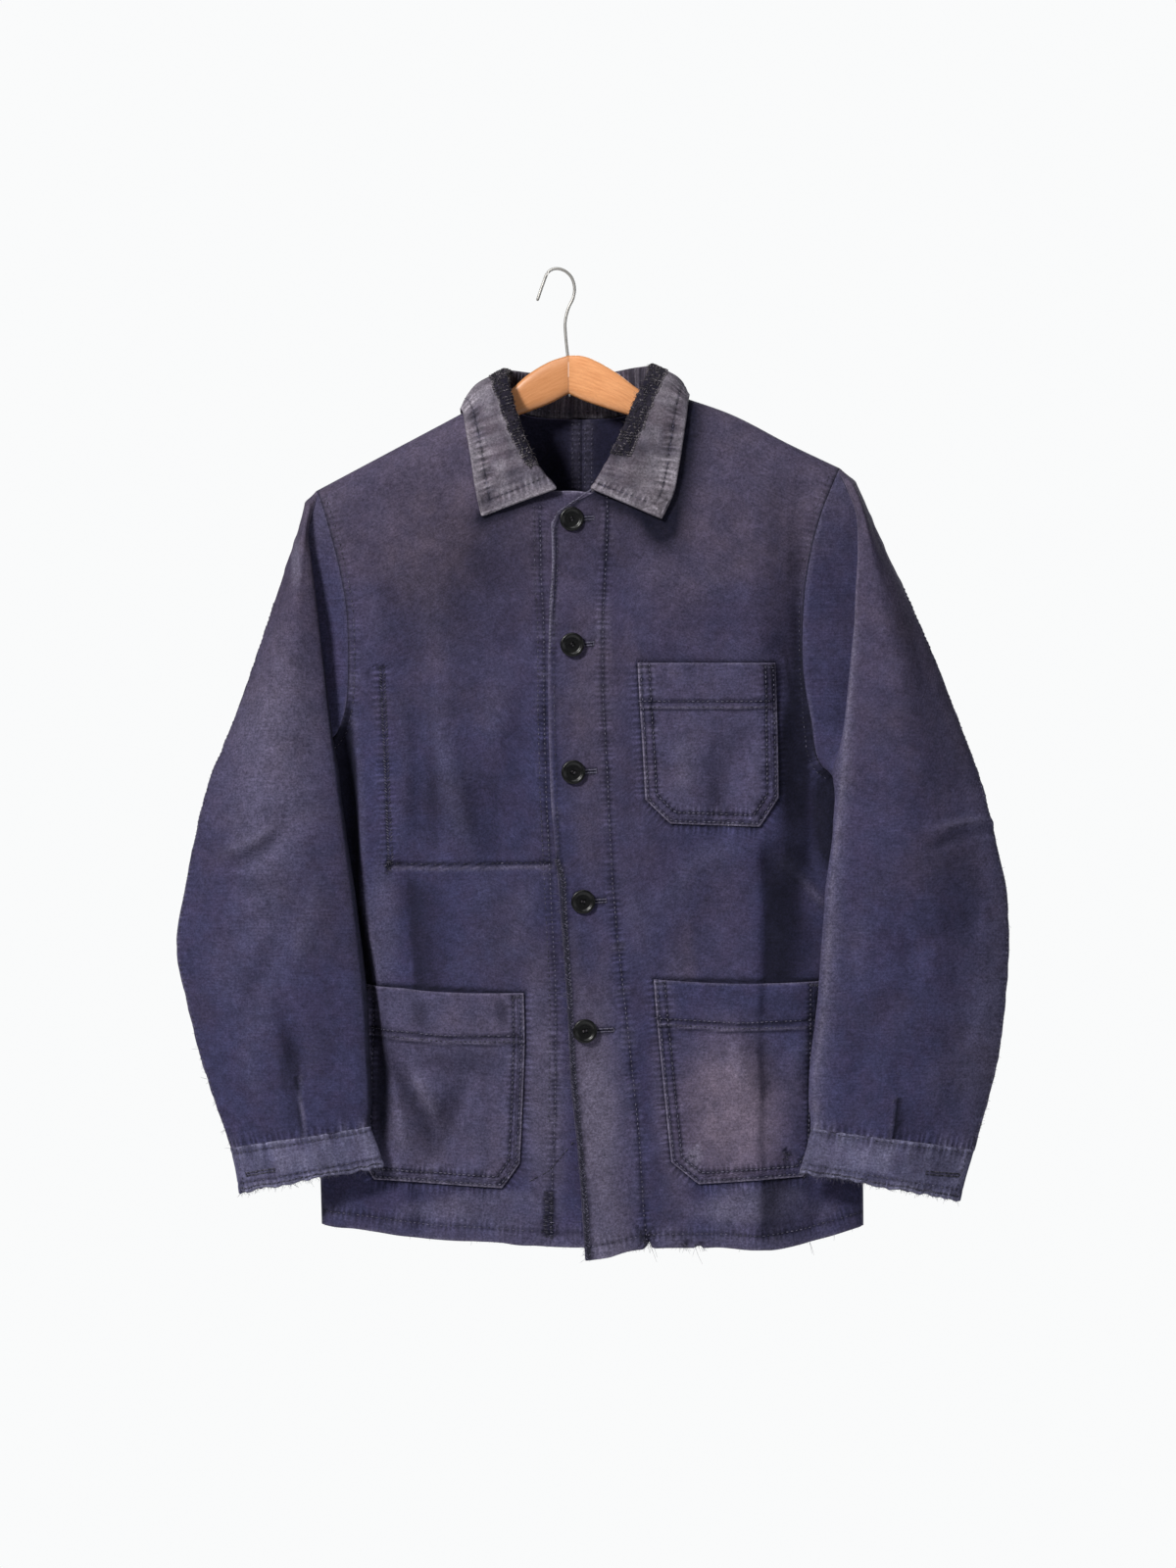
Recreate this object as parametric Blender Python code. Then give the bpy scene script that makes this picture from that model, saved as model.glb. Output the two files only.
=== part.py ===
"""Chore jacket of cotton moleskin, hanging buttoned on a wooden hanger.

Frame: metres, +Z up, the wearer faces -Y, the wearer's right is on -X. The origin is the inside top of the hook.
The jacket is a set of cloth walls. The body is one flattened tube, given by body_surface(), and the fronts, backs,
pockets and collar are cut from it. Each sleeve is lofted through sections from its armhole to its cuff.
"""
import math

import bpy
import numpy as np

# Cloth
CLOTH = 0.0018           # wall of the body, sleeves and pockets
COLLAR_CLOTH = 0.0022    # wall of the collar
CUFF_CLOTH = 0.0026      # wall of the cuffs
SEAM_HALF = 0.00015      # half of the gap left at a seam
LAY_GAP = 0.0014         # air under a piece that lies on a curved panel
LAP = 0.0028             # how far the top front stands in front of the under front
LAP_REACH = 0.100        # half width in which it does so
LAP_TOP_Z = -0.120       # height at which the fronts part
LAP_BLEND = 0.060

# Body tube
SIDE_POWER = 2.2         # roundness of the tube's section across
SHOULDER_ROLL = 0.028    # drop below the shoulder line in which the cloth turns over the hanger
SWEEP = 0.012            # how far the shoulder ends stand forward of the middle
SWEEP_HALF_SPAN = 0.220
SHOULDER_Z = -0.190
HEM_Z = -0.850
HEM_SWEEP = 0.35         # share of the sweep that is left at the hem
CENTRE_BACK_X = 0.0238
FOLD_FULL_DEPTH = 0.020  # half depth of the tube from which a fold has its whole depth
NORMAL_STEP = 0.0004     # distance over which a slope of the tube is taken

# Shoulder line, seen from the front: x and z
SHOULDER_LINE = (
    (-0.2066, -0.1930),
    (-0.1400, -0.1572),
    (-0.0782, -0.1241),
    (-0.0459, -0.1063),
    (0.0200, -0.1010),
    (0.0833, -0.1020),
    (0.1148, -0.1125),
    (0.1530, -0.1262),
    (0.2049, -0.1530),
    (0.2474, -0.1734),
)
RIGHT_NECK_X = -0.0520
LEFT_NECK_X = 0.0880
RIGHT_TIP_X = -0.2066
LEFT_TIP_X = 0.2474

# Body tube: height, x of its two sides, half depth to the front and to the back
BODY_SECTIONS = (
    (-0.090, -0.250, 0.292, 0.020, 0.024),
    (-0.150, -0.248, 0.290, 0.024, 0.028),
    (-0.210, -0.240, 0.284, 0.027, 0.029),
    (-0.300, -0.224, 0.272, 0.030, 0.030),
    (-0.380, -0.211, 0.265, 0.031, 0.030),
    (-0.450, -0.206, 0.262, 0.032, 0.030),
    (-0.600, -0.205, 0.264, 0.031, 0.029),
    (-0.750, -0.204, 0.267, 0.030, 0.028),
    (-0.860, -0.201, 0.268, 0.029, 0.027),
)

# Largest folds of the fronts and back: face, x and z of both ends, half width, depth (+ is a trough)
FOLDS = (
    ("front", -0.120, -0.345, -0.108, -0.500, 0.020, 0.0055),
    ("front", -0.088, -0.395, -0.048, -0.515, 0.017, 0.0050),
    ("front", -0.098, -0.300, -0.080, -0.460, 0.018, -0.0030),
    ("front", -0.131, -0.520, -0.129, -0.610, 0.013, 0.0030),
    ("front", -0.141, -0.700, -0.105, -0.760, 0.016, 0.0040),
    ("front", -0.105, -0.765, -0.080, -0.700, 0.014, 0.0035),
    ("front", -0.117, -0.790, -0.114, -0.850, 0.014, 0.0045),
    ("front", 0.205, -0.200, 0.196, -0.370, 0.016, 0.0060),
    ("front", 0.146, -0.420, 0.140, -0.500, 0.018, 0.0035),
    ("front", 0.190, -0.515, 0.232, -0.585, 0.015, 0.0050),
    ("front", 0.172, -0.655, 0.190, -0.715, 0.016, 0.0035),
    ("front", 0.178, -0.775, 0.180, -0.850, 0.015, -0.0035),
    ("front", 0.075, -0.560, 0.090, -0.850, 0.024, 0.0030),
    ("front", 0.235, -0.790, 0.232, -0.850, 0.014, 0.0030),
    ("back", -0.120, -0.260, -0.070, -0.560, 0.026, 0.0060),
    ("back", -0.030, -0.330, -0.010, -0.850, 0.028, 0.0045),
    ("back", 0.075, -0.300, 0.060, -0.620, 0.024, 0.0050),
    ("back", 0.165, -0.250, 0.130, -0.560, 0.026, 0.0060),
    ("back", 0.120, -0.620, 0.150, -0.850, 0.026, 0.0055),
    ("back", -0.110, -0.640, -0.135, -0.850, 0.026, 0.0050),
)

# Neck edges and front edges, x and z, from the front corner up to the neck point or down to the hem
RIGHT_NECK = (
    (0.0400, -0.1965),
    (0.0180, -0.1935),
    (-0.0030, -0.1930),
    (-0.0140, -0.1850),
    (-0.0265, -0.1700),
    (-0.0365, -0.1500),
    (-0.0438, -0.1280),
    (-0.0520, -0.1092),
)
LEFT_NECK = (
    (-0.0026, -0.2200),
    (0.0119, -0.2060),
    (0.0345, -0.1945),
    (0.0450, -0.1840),
    (0.0560, -0.1700),
    (0.0683, -0.1500),
    (0.0775, -0.1280),
    (0.0880, -0.1033),
)
RIGHT_EDGE = (
    (0.0400, -0.1965),
    (0.0405, -0.2600),
    (0.0390, -0.4000),
    (0.0450, -0.5300),
    (0.0520, -0.7000),
    (0.0580, -0.8475),
)
LEFT_EDGE = (
    (-0.0026, -0.2200),
    (-0.0020, -0.2550),
    (-0.0048, -0.3200),
    (-0.0046, -0.4000),
    (-0.0020, -0.4700),
    (0.0030, -0.5250),
    (0.0070, -0.5750),
    (0.0115, -0.6400),
    (0.0150, -0.7100),
    (0.0205, -0.7650),
    (0.0272, -0.8594),
)
RIGHT_HEM = (
    (0.0580, -0.8475),
    (0.0026, -0.8483),
    (-0.0570, -0.8441),
    (-0.1105, -0.8415),
    (-0.1640, -0.8339),
    (-0.2015, -0.8296),
)
LEFT_HEM = (
    (0.0272, -0.8594),
    (0.0500, -0.8560),
    (0.0808, -0.8492),
    (0.1437, -0.8492),
    (0.1794, -0.8517),
    (0.2151, -0.8458),
    (0.2678, -0.8305),
)
BACK_NECK_Z = -0.1292
BACK_NECK_SHAPE = 4      # power of the back neck edge's rise from the centre back
BACK_HEM_Z = -0.8450

# Sleeves from the armhole to the armpit. seam is the front armhole seam, back_x the back one at the same
# height, fold the front fold, out the outer edge; rise is the fold's height over the seam, dip the depth of the
# hollow between them and tuck how far outside the fold that hollow lies; back_y is behind the middle plane.
CAP_COLUMNS = ("seam_x", "seam_z", "back_x", "fold_x", "fold_z", "rise", "dip", "tuck", "out_x", "out_z", "back_y")
RIGHT_CAP = (
    (-0.2040, -0.1990, -0.2042, 0, 0, 0, 0, 0, 0, 0, 0),
    (-0.1992, -0.2140, -0.2000, -0.2110, -0.2120, 0.0010, 0.0000, -0.002, -0.2166, -0.2030, 0.012),
    (-0.1940, -0.2320, -0.1960, -0.2142, -0.2310, 0.0050, 0.0020, 0.000, -0.2216, -0.2230, 0.016),
    (-0.1866, -0.2620, -0.1915, -0.2106, -0.2620, 0.0095, 0.0050, 0.002, -0.2335, -0.2600, 0.020),
    (-0.1803, -0.3018, -0.1880, -0.2057, -0.3018, 0.0125, 0.0060, 0.003, -0.2465, -0.3000, 0.023),
    (-0.1794, -0.3528, -0.1880, -0.2006, -0.3540, 0.0140, 0.0060, 0.003, -0.2645, -0.3530, 0.025),
    (-0.1822, -0.3840, -0.1905, -0.1972, -0.3880, 0.0150, 0.0025, 0.003, -0.2768, -0.3870, 0.025),
    (-0.1915, -0.4070, -0.1965, -0.1944, -0.4150, 0.0180, -0.0050, 0.004, -0.2885, -0.4150, 0.024),
    (-0.2052, -0.4200, -0.2052, -0.1915, -0.4390, 0.0000, 0.0000, 0.000, -0.2980, -0.4390, 0.022),
)
LEFT_CAP = (
    (0.2440, -0.1805, 0.2442, 0, 0, 0, 0, 0, 0, 0, 0),
    (0.2388, -0.1930, 0.2400, 0.2540, -0.1905, 0.0010, 0.0000, -0.002, 0.2612, -0.1850, 0.012),
    (0.2312, -0.2130, 0.2345, 0.2618, -0.2130, 0.0050, 0.0020, 0.000, 0.2715, -0.2080, 0.016),
    (0.2228, -0.2450, 0.2290, 0.2630, -0.2450, 0.0090, 0.0030, 0.003, 0.2882, -0.2470, 0.020),
    (0.2165, -0.2880, 0.2255, 0.2606, -0.2880, 0.0110, 0.0030, 0.004, 0.3076, -0.2880, 0.023),
    (0.2158, -0.3430, 0.2260, 0.2580, -0.3440, 0.0130, 0.0030, 0.004, 0.3317, -0.3430, 0.025),
    (0.2228, -0.3920, 0.2310, 0.2534, -0.3980, 0.0150, 0.0030, 0.005, 0.3530, -0.3980, 0.025),
    (0.2310, -0.4300, 0.2400, 0.2500, -0.4380, 0.0190, -0.0100, -0.009, 0.3680, -0.4380, 0.024),
    (0.2600, -0.4470, 0.2600, 0.2477, -0.4640, 0.0000, 0.0000, 0.000, 0.3755, -0.4650, 0.022),
)
CAP_FRONT_BULGE = 0.009  # front of the sleeve head in front of its fold
INNER_REACH = 0.053      # width of sleeve over which its back turns in to the back armhole seam
INNER_SHARE = 0.3        # share of that width at which the back leaves the seam
INNER_DEPTH = 0.65       # share of the way there from the seam's depth to the back's
INNER_DROP = 0.4         # share of the way there from the seam's height to the fold's
CAP_ROUND_ROWS = 4       # sections over which the head rounds out from the shoulder tip
ARMPIT_HOLLOW = (0.005, 0.012, 0.008)    # hollow at the armpit: outside, behind and above the fold
ARMPIT_INNER = (0.016, 0.010)            # back at the armpit: outside the seam, above the fold
ARM_HOLLOW = (-0.0022, 0.0008)           # hollow below the armpit: outside and behind the middle of its seam
ARM_INNER_SHARE = 0.25                   # where the back turns in below the armpit, from fold to outer edge
ARM_INNER_OUT = 0.004
ARMPIT_SPACE = 0.0042    # sleeve seam outside the top of the side seam
ARMPIT_LIFT = 0.0020
ARMPIT_REACH = 0.030     # length of seam over which the sleeve leaves the body's surface

# Sleeves below the armpit: fold and outer edge; the last two rows are the top and the hem of the cuff
ARM_COLUMNS = ("fold_x", "fold_z", "out_x", "out_z")
RIGHT_ARM = (
    (-0.1862, -0.4780, -0.3088, -0.4800),
    (-0.1780, -0.5400, -0.3208, -0.5400),
    (-0.1726, -0.5880, -0.3273, -0.5880),
    (-0.1683, -0.6310, -0.3200, -0.6310),
    (-0.1650, -0.6880, -0.3055, -0.6890),
    (-0.1632, -0.7230, -0.2925, -0.7280),
    (-0.1632, -0.7445, -0.2805, -0.7633),
    (-0.1522, -0.7778, -0.2729, -0.8007),
)
LEFT_ARM = (
    (0.2440, -0.5000, 0.3830, -0.4980),
    (0.2398, -0.5415, 0.3915, -0.5400),
    (0.2370, -0.5870, 0.3936, -0.5870),
    (0.2340, -0.6300, 0.3915, -0.6250),
    (0.2277, -0.6850, 0.3850, -0.6800),
    (0.2253, -0.7200, 0.3745, -0.7250),
    (0.2270, -0.7463, 0.3630, -0.7650),
    (0.2176, -0.7837, 0.3510, -0.8070),
)
# Depths of the same rows: fold, front, outer edge, back, back near the body, and the underarm seam's
# distance outside the fold and behind it
ARM_DEPTH_COLUMNS = ("fold_y", "front_y", "out_y", "back_y", "inner_y", "seam_out", "seam_back")
ARMPIT_DEPTHS = (-0.0400, -0.0500, -0.0150, 0.0100, 0.0050, 0.0, 0.0)
ARM_DEPTHS = (
    (-0.0420, -0.0530, -0.0180, 0.0060, -0.0030, 0.0190, 0.0200),
    (-0.0430, -0.0550, -0.0200, 0.0030, -0.0080, 0.0110, 0.0110),
    (-0.0430, -0.0550, -0.0210, 0.0010, -0.0110, 0.0100, 0.0095),
    (-0.0430, -0.0550, -0.0210, 0.0000, -0.0120, 0.0100, 0.0090),
    (-0.0430, -0.0540, -0.0220, -0.0020, -0.0130, 0.0100, 0.0085),
    (-0.0430, -0.0530, -0.0230, -0.0040, -0.0150, 0.0100, 0.0080),
    (-0.0430, -0.0510, -0.0260, -0.0090, -0.0180, 0.0100, 0.0075),
    (-0.0430, -0.0500, -0.0270, -0.0110, -0.0200, 0.0100, 0.0075),
)
# Folds of the sleeves, on their front: sleeve, x and z of both ends, half width, depth
SLEEVE_FOLDS = (
    ("right", -0.290, -0.520, -0.230, -0.480, 0.014, 0.0045),
    ("right", -0.310, -0.600, -0.235, -0.560, 0.013, 0.0050),
    ("right", -0.250, -0.620, -0.215, -0.700, 0.013, 0.0035),
    ("right", -0.300, -0.700, -0.270, -0.680, 0.012, 0.0035),
    ("left", 0.385, -0.485, 0.320, -0.478, 0.013, 0.0050),
    ("left", 0.385, -0.560, 0.310, -0.590, 0.014, 0.0045),
    ("left", 0.290, -0.640, 0.262, -0.720, 0.013, 0.0035),
    ("left", 0.370, -0.660, 0.320, -0.690, 0.013, 0.0035),
)
ACROSS = (2, 2, 3, 2, 2, 2, 2, 1, 2)  # columns of the mesh between the section's points
HIND_POINT = 5                     # point of the section where the top sleeve meets the under sleeve
CAP_ROWS = 2                       # rows of the mesh between cap sections
TIP_ROUND = 0.0015                 # roundness of the first of them at the shoulder tip
ARM_ROWS = 2                       # rows between arm sections
CUFF_ROWS = 1
TIP_SHARES = (0.0, 0.12, 0.45)     # places between the shoulder tip and the first cap section
TIP_ROWS = len(TIP_SHARES)
SEAM_INSIDE = (0.004, -0.001)      # from a point of an armhole seam to one inside the body
# Places of a sleeve section's points between fold and outer edge, and of their depths between two others
FRONT_PLACE = 0.48
NEAR_OUT_PLACE = 0.86
NEAR_OUT_DEPTH = 0.45
BEHIND_OUT_PLACE = 0.90
BEHIND_OUT_DEPTH = 0.55
BACK_PLACE = 0.55
SIDE_ROWS = 9                      # rows of the body between armpit and hem
EDGE_STEPS = 4                     # points between named points of a neck edge or hem
NECK_STEPS = 9                     # points of a back's neck edge
BACK_WAIST_Z = -0.500              # middle point of the centre back seam
BACK_HEM_RISE = 0.001              # the back's hem is this much higher halfway to the side
NECK_CROWDING = 1.5                # how much the columns crowd towards the neck point
FRONT_COLUMNS = (7, 6)             # columns along the neck edge and along the shoulder
BACK_COLUMNS = (5, 6)

# Collar, from its right front end round the back to its left front end: the fold, the outer edge with the face
# of the body that it lies on and its lift off that face, how far the leaf puffs out, and x of the neck seam
COLLAR_COLUMNS = (
    "fold_x", "fold_y", "fold_z", "edge_x", "edge_z", "face", "lift", "puff", "neck_x",
)
COLLAR = (
    (0.0005, -0.0345, -0.1900, -0.0629, -0.2142, "front", 0.0040, 0.0005, -0.0030),
    (-0.0085, -0.0350, -0.1795, -0.0655, -0.2030, "front", 0.0040, 0.0010, -0.0140),
    (-0.0179, -0.0350, -0.1666, -0.0690, -0.1850, "front", 0.0040, 0.0015, -0.0265),
    (-0.0270, -0.0325, -0.1480, -0.0724, -0.1620, "front", 0.0040, 0.0020, -0.0365),
    (-0.0345, -0.0270, -0.1250, -0.0757, -0.1420, "front", 0.0038, 0.0035, -0.0438),
    (-0.0410, -0.0160, -0.0990, -0.0775, -0.1275, "front", 0.0036, 0.0060, -0.0478),
    (-0.0435, 0.0010, -0.0890, -0.0795, -0.1248, "back", 0.0030, 0.0080, -0.0520),
    (-0.0400, 0.0170, -0.0880, -0.0765, -0.1350, "back", 0.0034, 0.0060, -0.0450),
    (-0.0240, 0.0300, -0.0895, -0.0620, -0.1540, "back", 0.0038, 0.0040, -0.0330),
    (-0.0030, 0.0360, -0.0915, -0.0260, -0.1650, "back", 0.0040, 0.0030, -0.0080),
    (0.0210, 0.0370, -0.0930, 0.0210, -0.1660, "back", 0.0040, 0.0030, 0.0210),
    (0.0450, 0.0355, -0.0900, 0.0680, -0.1610, "back", 0.0040, 0.0030, 0.0480),
    (0.0660, 0.0300, -0.0855, 0.0980, -0.1470, "back", 0.0038, 0.0040, 0.0690),
    (0.0815, 0.0170, -0.0840, 0.1110, -0.1270, "back", 0.0034, 0.0060, 0.0815),
    (0.0840, 0.0010, -0.0850, 0.1150, -0.1130, "back", 0.0030, 0.0070, 0.0880),
    (0.0790, -0.0150, -0.0980, 0.1142, -0.1180, "front", 0.0036, 0.0050, 0.0835),
    (0.0690, -0.0265, -0.1190, 0.1130, -0.1320, "front", 0.0038, 0.0035, 0.0775),
    (0.0585, -0.0330, -0.1450, 0.1105, -0.1500, "front", 0.0040, 0.0020, 0.0683),
    (0.0470, -0.0360, -0.1660, 0.1065, -0.1750, "front", 0.0040, 0.0015, 0.0560),
    (0.0400, -0.0370, -0.1790, 0.1020, -0.1960, "front", 0.0040, 0.0010, 0.0450),
    (0.0323, -0.0370, -0.1900, 0.0925, -0.2165, "front", 0.0040, 0.0005, 0.0345),
)
COLLAR_AXIS = (0.020, 0.0, -0.110)   # a point inside the neck
COLLAR_TURN = 0.0042                 # how far from the fold the turned cloth is drawn through a point
STAND_TURN = (0.85, 0.35)            # the turn below the fold: shares along the stand and away from the leaf
LEAF_TURN = (0.70, 0.60)             # the turn over the fold: shares along the leaf and away from the stand
COLLAR_GAP = 0.0010                  # between the neck seam of the body and the stand
COLLAR_ROWS = 2
COLLAR_ACROSS = (1, 2, 1, 1, 2, 2)

# Patch pockets, top edge to bottom edge: z at the front end, x there, z at the side end, x there
POCKET_CHEST = (
    (-0.3426, 0.0723, -0.3426, 0.1913),
    (-0.3817, 0.0745, -0.3817, 0.1925),
    (-0.4210, 0.0770, -0.4210, 0.1935),
    (-0.4607, 0.0791, -0.4590, 0.1940),
    (-0.4811, 0.1003, -0.4837, 0.1777),
)
POCKET_LOWER_LEFT = (
    (-0.6171, 0.0867, -0.6188, 0.2304),
    (-0.6562, 0.0900, -0.6545, 0.2304),
    (-0.7166, 0.0961, -0.7120, 0.2300),
    (-0.7752, 0.1020, -0.7680, 0.2285),
    (-0.7939, 0.1250, -0.7875, 0.2150),
)
POCKET_LOWER_RIGHT = (
    (-0.6290, -0.0272, -0.6214, -0.1668),
    (-0.6724, -0.0264, -0.6650, -0.1672),
    (-0.7200, -0.0281, -0.7150, -0.1680),
    (-0.7761, -0.0306, -0.7700, -0.1680),
    (-0.7973, -0.0459, -0.7897, -0.1564),
)
POCKET_ACROSS = 8
POCKET_ROWS = 3
CORNER_SHARES = (0.5, 1.0)         # rows over a pocket's cut corners
POCKET_BAND = 0.0008     # extra thickness of the turned top edge

# Buttons
BUTTON_RADIUS = 0.0105
BUTTON_RIM_RADIUS = 0.0086
BUTTON_DISH_RADIUS = 0.0072
BUTTON_THICK = 0.0036
BUTTON_DISH = 0.0010
BUTTON_SIDES = 16
BUTTON_GAP = 0.0007      # thread between button and cloth
FRONT_BUTTONS = ((0.0149, -0.2176), (0.0153, -0.3264), (0.0162, -0.4369), (0.0247, -0.5491), (0.0264, -0.6613))
CUFF_BUTTON_RADIUS = 0.0075
CUFF_BUTTON_COLUMN = 2   # columns of the sleeve's mesh behind the outer edge

# Hanger: x, top z, bottom z, half thickness; it follows the sweep of the shoulders
HANGER_GAP = 0.00015
HANGER_MIDDLE = 0.0119
HANGER_RIGHT = (
    (0.0119, -0.0740, -0.1075, 0.0062),
    (-0.0055, -0.0799, -0.1165, 0.0062),
    (-0.0238, -0.0910, -0.1235, 0.0062),
    (-0.0394, -0.1050, -0.1300, 0.0061),
    (-0.0600, -0.1205, -0.1440, 0.0060),
    (-0.0950, -0.1390, -0.1610, 0.0058),
    (-0.1350, -0.1600, -0.1815, 0.0055),
    (-0.1700, -0.1790, -0.1995, 0.0052),
    (-0.1900, -0.1900, -0.2080, 0.0048),
    (-0.1975, -0.1975, -0.2070, 0.0034),
)
HANGER_LEFT = (
    (0.0119, -0.0740, -0.1075, 0.0062),
    (0.0240, -0.0745, -0.1130, 0.0062),
    (0.0366, -0.0791, -0.1175, 0.0062),
    (0.0553, -0.0901, -0.1235, 0.0062),
    (0.0740, -0.1040, -0.1290, 0.0061),
    (0.0950, -0.1130, -0.1350, 0.0060),
    (0.1300, -0.1240, -0.1460, 0.0058),
    (0.1700, -0.1400, -0.1610, 0.0055),
    (0.2100, -0.1605, -0.1805, 0.0052),
    (0.2310, -0.1720, -0.1900, 0.0048),
    (0.2390, -0.1800, -0.1890, 0.0034),
)
HANGER_STEPS = 2         # rings of an arm between its sections
HANGER_SIDES = 12
HANGER_SQUARE = 3.2      # power of the section's outline, 2 is an ellipse

# Hook: route of the wire's middle, x and z
HOOK_WIRE = 0.0013
HOOK_ROUTE = (
    (0.0112, -0.0737),
    (0.0094, -0.0560),
    (0.0092, -0.0440),
    (0.0118, -0.0330),
    (0.0160, -0.0240),
    (0.0172, -0.0150),
    (0.0145, -0.0060),
    (0.0080, 0.0000),
    (0.0000, 0.0015),
    (-0.0062, -0.0020),
    (-0.0100, -0.0110),
    (-0.0128, -0.0190),
    (-0.0153, -0.0264),
)
HOOK_SPAN = 2            # points of the wire between points of its route
HOOK_ROUNDING = 2        # more sides of the wire for each quarter turn

# Colours, linear
MOLESKIN = (0.066, 0.058, 0.094, 1.0)
COLLAR_COLOUR = (0.130, 0.115, 0.145, 1.0)
BUTTON_COLOUR = (0.006, 0.006, 0.008, 1.0)
WOOD = (0.690, 0.330, 0.130, 1.0)
STEEL = (0.420, 0.420, 0.440, 1.0)


def curve_at(table, values, key=0, column=1):
    """Smooth curve through a table's column, read at values of its key column."""
    rows = np.array([[row[key], row[column]] for row in table], float)
    if rows[0, 0] > rows[-1, 0]:
        rows = rows[::-1]
    xs, ys = rows[:, 0], rows[:, 1]
    slopes = np.gradient(ys, xs)
    at = np.asarray(values, float)
    inside = np.clip(at, xs[0], xs[-1])
    k = np.clip(np.searchsorted(xs, inside, side="right") - 1, 0, len(xs) - 2)
    span = xs[k + 1] - xs[k]
    t = (inside - xs[k]) / span
    value = (
        (2 * t**3 - 3 * t**2 + 1) * ys[k]
        + (t**3 - 2 * t**2 + t) * span * slopes[k]
        + (-2 * t**3 + 3 * t**2) * ys[k + 1]
        + (t**3 - t**2) * span * slopes[k + 1]
    )
    return value + (at - inside) * np.where(at < inside, slopes[0], slopes[-1])


def spline(points, counts):
    """Points along a smooth curve through the first axis of points, with counts[i] steps in each span."""
    points = np.asarray(points, float)
    p = np.concatenate([2 * points[:1] - points[1:2], points, 2 * points[-1:] - points[-2:-1]])
    out = []
    for i, count in enumerate(counts):
        a, b, c, d = p[i], p[i + 1], p[i + 2], p[i + 3]
        for step in range(count):
            t = step / count
            out.append(0.5 * (2 * b + (c - a) * t + (2 * a - 5 * b + 4 * c - d) * t**2 + (3 * b - a - 3 * c + d) * t**3))
    out.append(points[-1])
    return np.array(out)


def along(points, fractions):
    """Points at fractions of the length of a polyline."""
    points = np.asarray(points, float)
    steps = np.linalg.norm(np.diff(points, axis=0), axis=1)
    length = np.concatenate([[0.0], np.cumsum(steps)])
    at = np.asarray(fractions) * length[-1]
    return np.stack([np.interp(at, length, points[:, k]) for k in range(points.shape[1])], axis=1)


def unit(vectors):
    size = np.linalg.norm(vectors, axis=-1, keepdims=True)
    return vectors / np.maximum(size, 1e-12)


def tangents(grid, axis):
    """Unit directions of a grid's lines at its points, each the mean of the two steps that meet there."""
    steps = unit(np.diff(grid, axis=axis))
    first = np.take(steps, [0], axis=axis)
    last = np.take(steps, [-1], axis=axis)
    return unit(np.concatenate([first, steps], axis=axis) + np.concatenate([steps, last], axis=axis))


def smooth(t):
    t = np.clip(t, 0.0, 1.0)
    return t * t * (3 - 2 * t)


def fold_depth(table, face, x, z):
    """Sum of the soft troughs and ridges of one face at x, z."""
    total = np.zeros_like(np.asarray(x, float) + np.asarray(z, float))
    for name, x0, z0, x1, z1, width, depth in table:
        if name != face:
            continue
        run = np.array([x1 - x0, z1 - z0])
        length = np.hypot(*run)
        share = ((x - x0) * run[0] + (z - z0) * run[1]) / length**2
        near = np.clip(share, 0.0, 1.0)
        away = np.hypot(x - x0 - near * run[0], z - z0 - near * run[1])
        total = total + depth * np.exp(-((away / width) ** 2))
    return total


def middle_plane(x, z):
    """y of the plane between front and back, which sweeps forward to the sides."""
    x = np.asarray(x, float)
    z = np.asarray(z, float)
    down = np.clip((SHOULDER_Z - z) / (SHOULDER_Z - HEM_Z), 0.0, 1.0)
    share = 1.0 - (1.0 - HEM_SWEEP) * down
    sweep = -SWEEP * ((x - CENTRE_BACK_X) / SWEEP_HALF_SPAN) ** 2 * share
    return sweep


def body_extent(face, x, z):
    """Square of the half depth of the body tube at x, z: nothing at its sides and at the shoulder line."""
    right = curve_at(BODY_SECTIONS, z, 0, 1)
    left = curve_at(BODY_SECTIONS, z, 0, 2)
    half_depth = curve_at(BODY_SECTIONS, z, 0, 3 if face == "front" else 4)
    u = (2 * x - right - left) / (left - right)
    below = curve_at(SHOULDER_LINE, x) - z
    roll = np.clip(below / SHOULDER_ROLL, -1.0, 1.0)
    return half_depth**2 * (1 - np.abs(u) ** SIDE_POWER) * (1 - (1 - roll) ** 2)


def body_surface(face, x, z, out=0.0):
    """Point on the middle of the front's or back's wall, moved out along its normal, and that normal."""
    x = np.asarray(x, float)
    z = np.asarray(z, float)
    side = -1.0 if face == "front" else 1.0
    extent = np.maximum(body_extent(face, x, z), 0.0)
    step = NORMAL_STEP
    half = np.sqrt(extent)

    def shift(xs, zs):
        fade = np.sqrt(np.clip(body_extent(face, xs, zs), 0.0, None)) / FOLD_FULL_DEPTH
        return middle_plane(xs, zs) - side * fold_depth(FOLDS, face, xs, zs) * np.clip(fade, 0.0, 1.0)

    y = shift(x, z) + side * half
    extent_x = (body_extent(face, x + step, z) - body_extent(face, x - step, z)) / (2 * step)
    extent_z = (body_extent(face, x, z + step) - body_extent(face, x, z - step)) / (2 * step)
    shift_x = (shift(x + step, z) - shift(x - step, z)) / (2 * step)
    shift_z = (shift(x, z + step) - shift(x, z - step)) / (2 * step)
    half_side = side * half
    normal = unit(
        np.stack([-2 * half_side * shift_x - extent_x, 2 * half_side, -2 * half_side * shift_z - extent_z], axis=-1)
    )
    point = np.stack([x, y, z], axis=-1)
    return point + normal * out, normal


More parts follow.
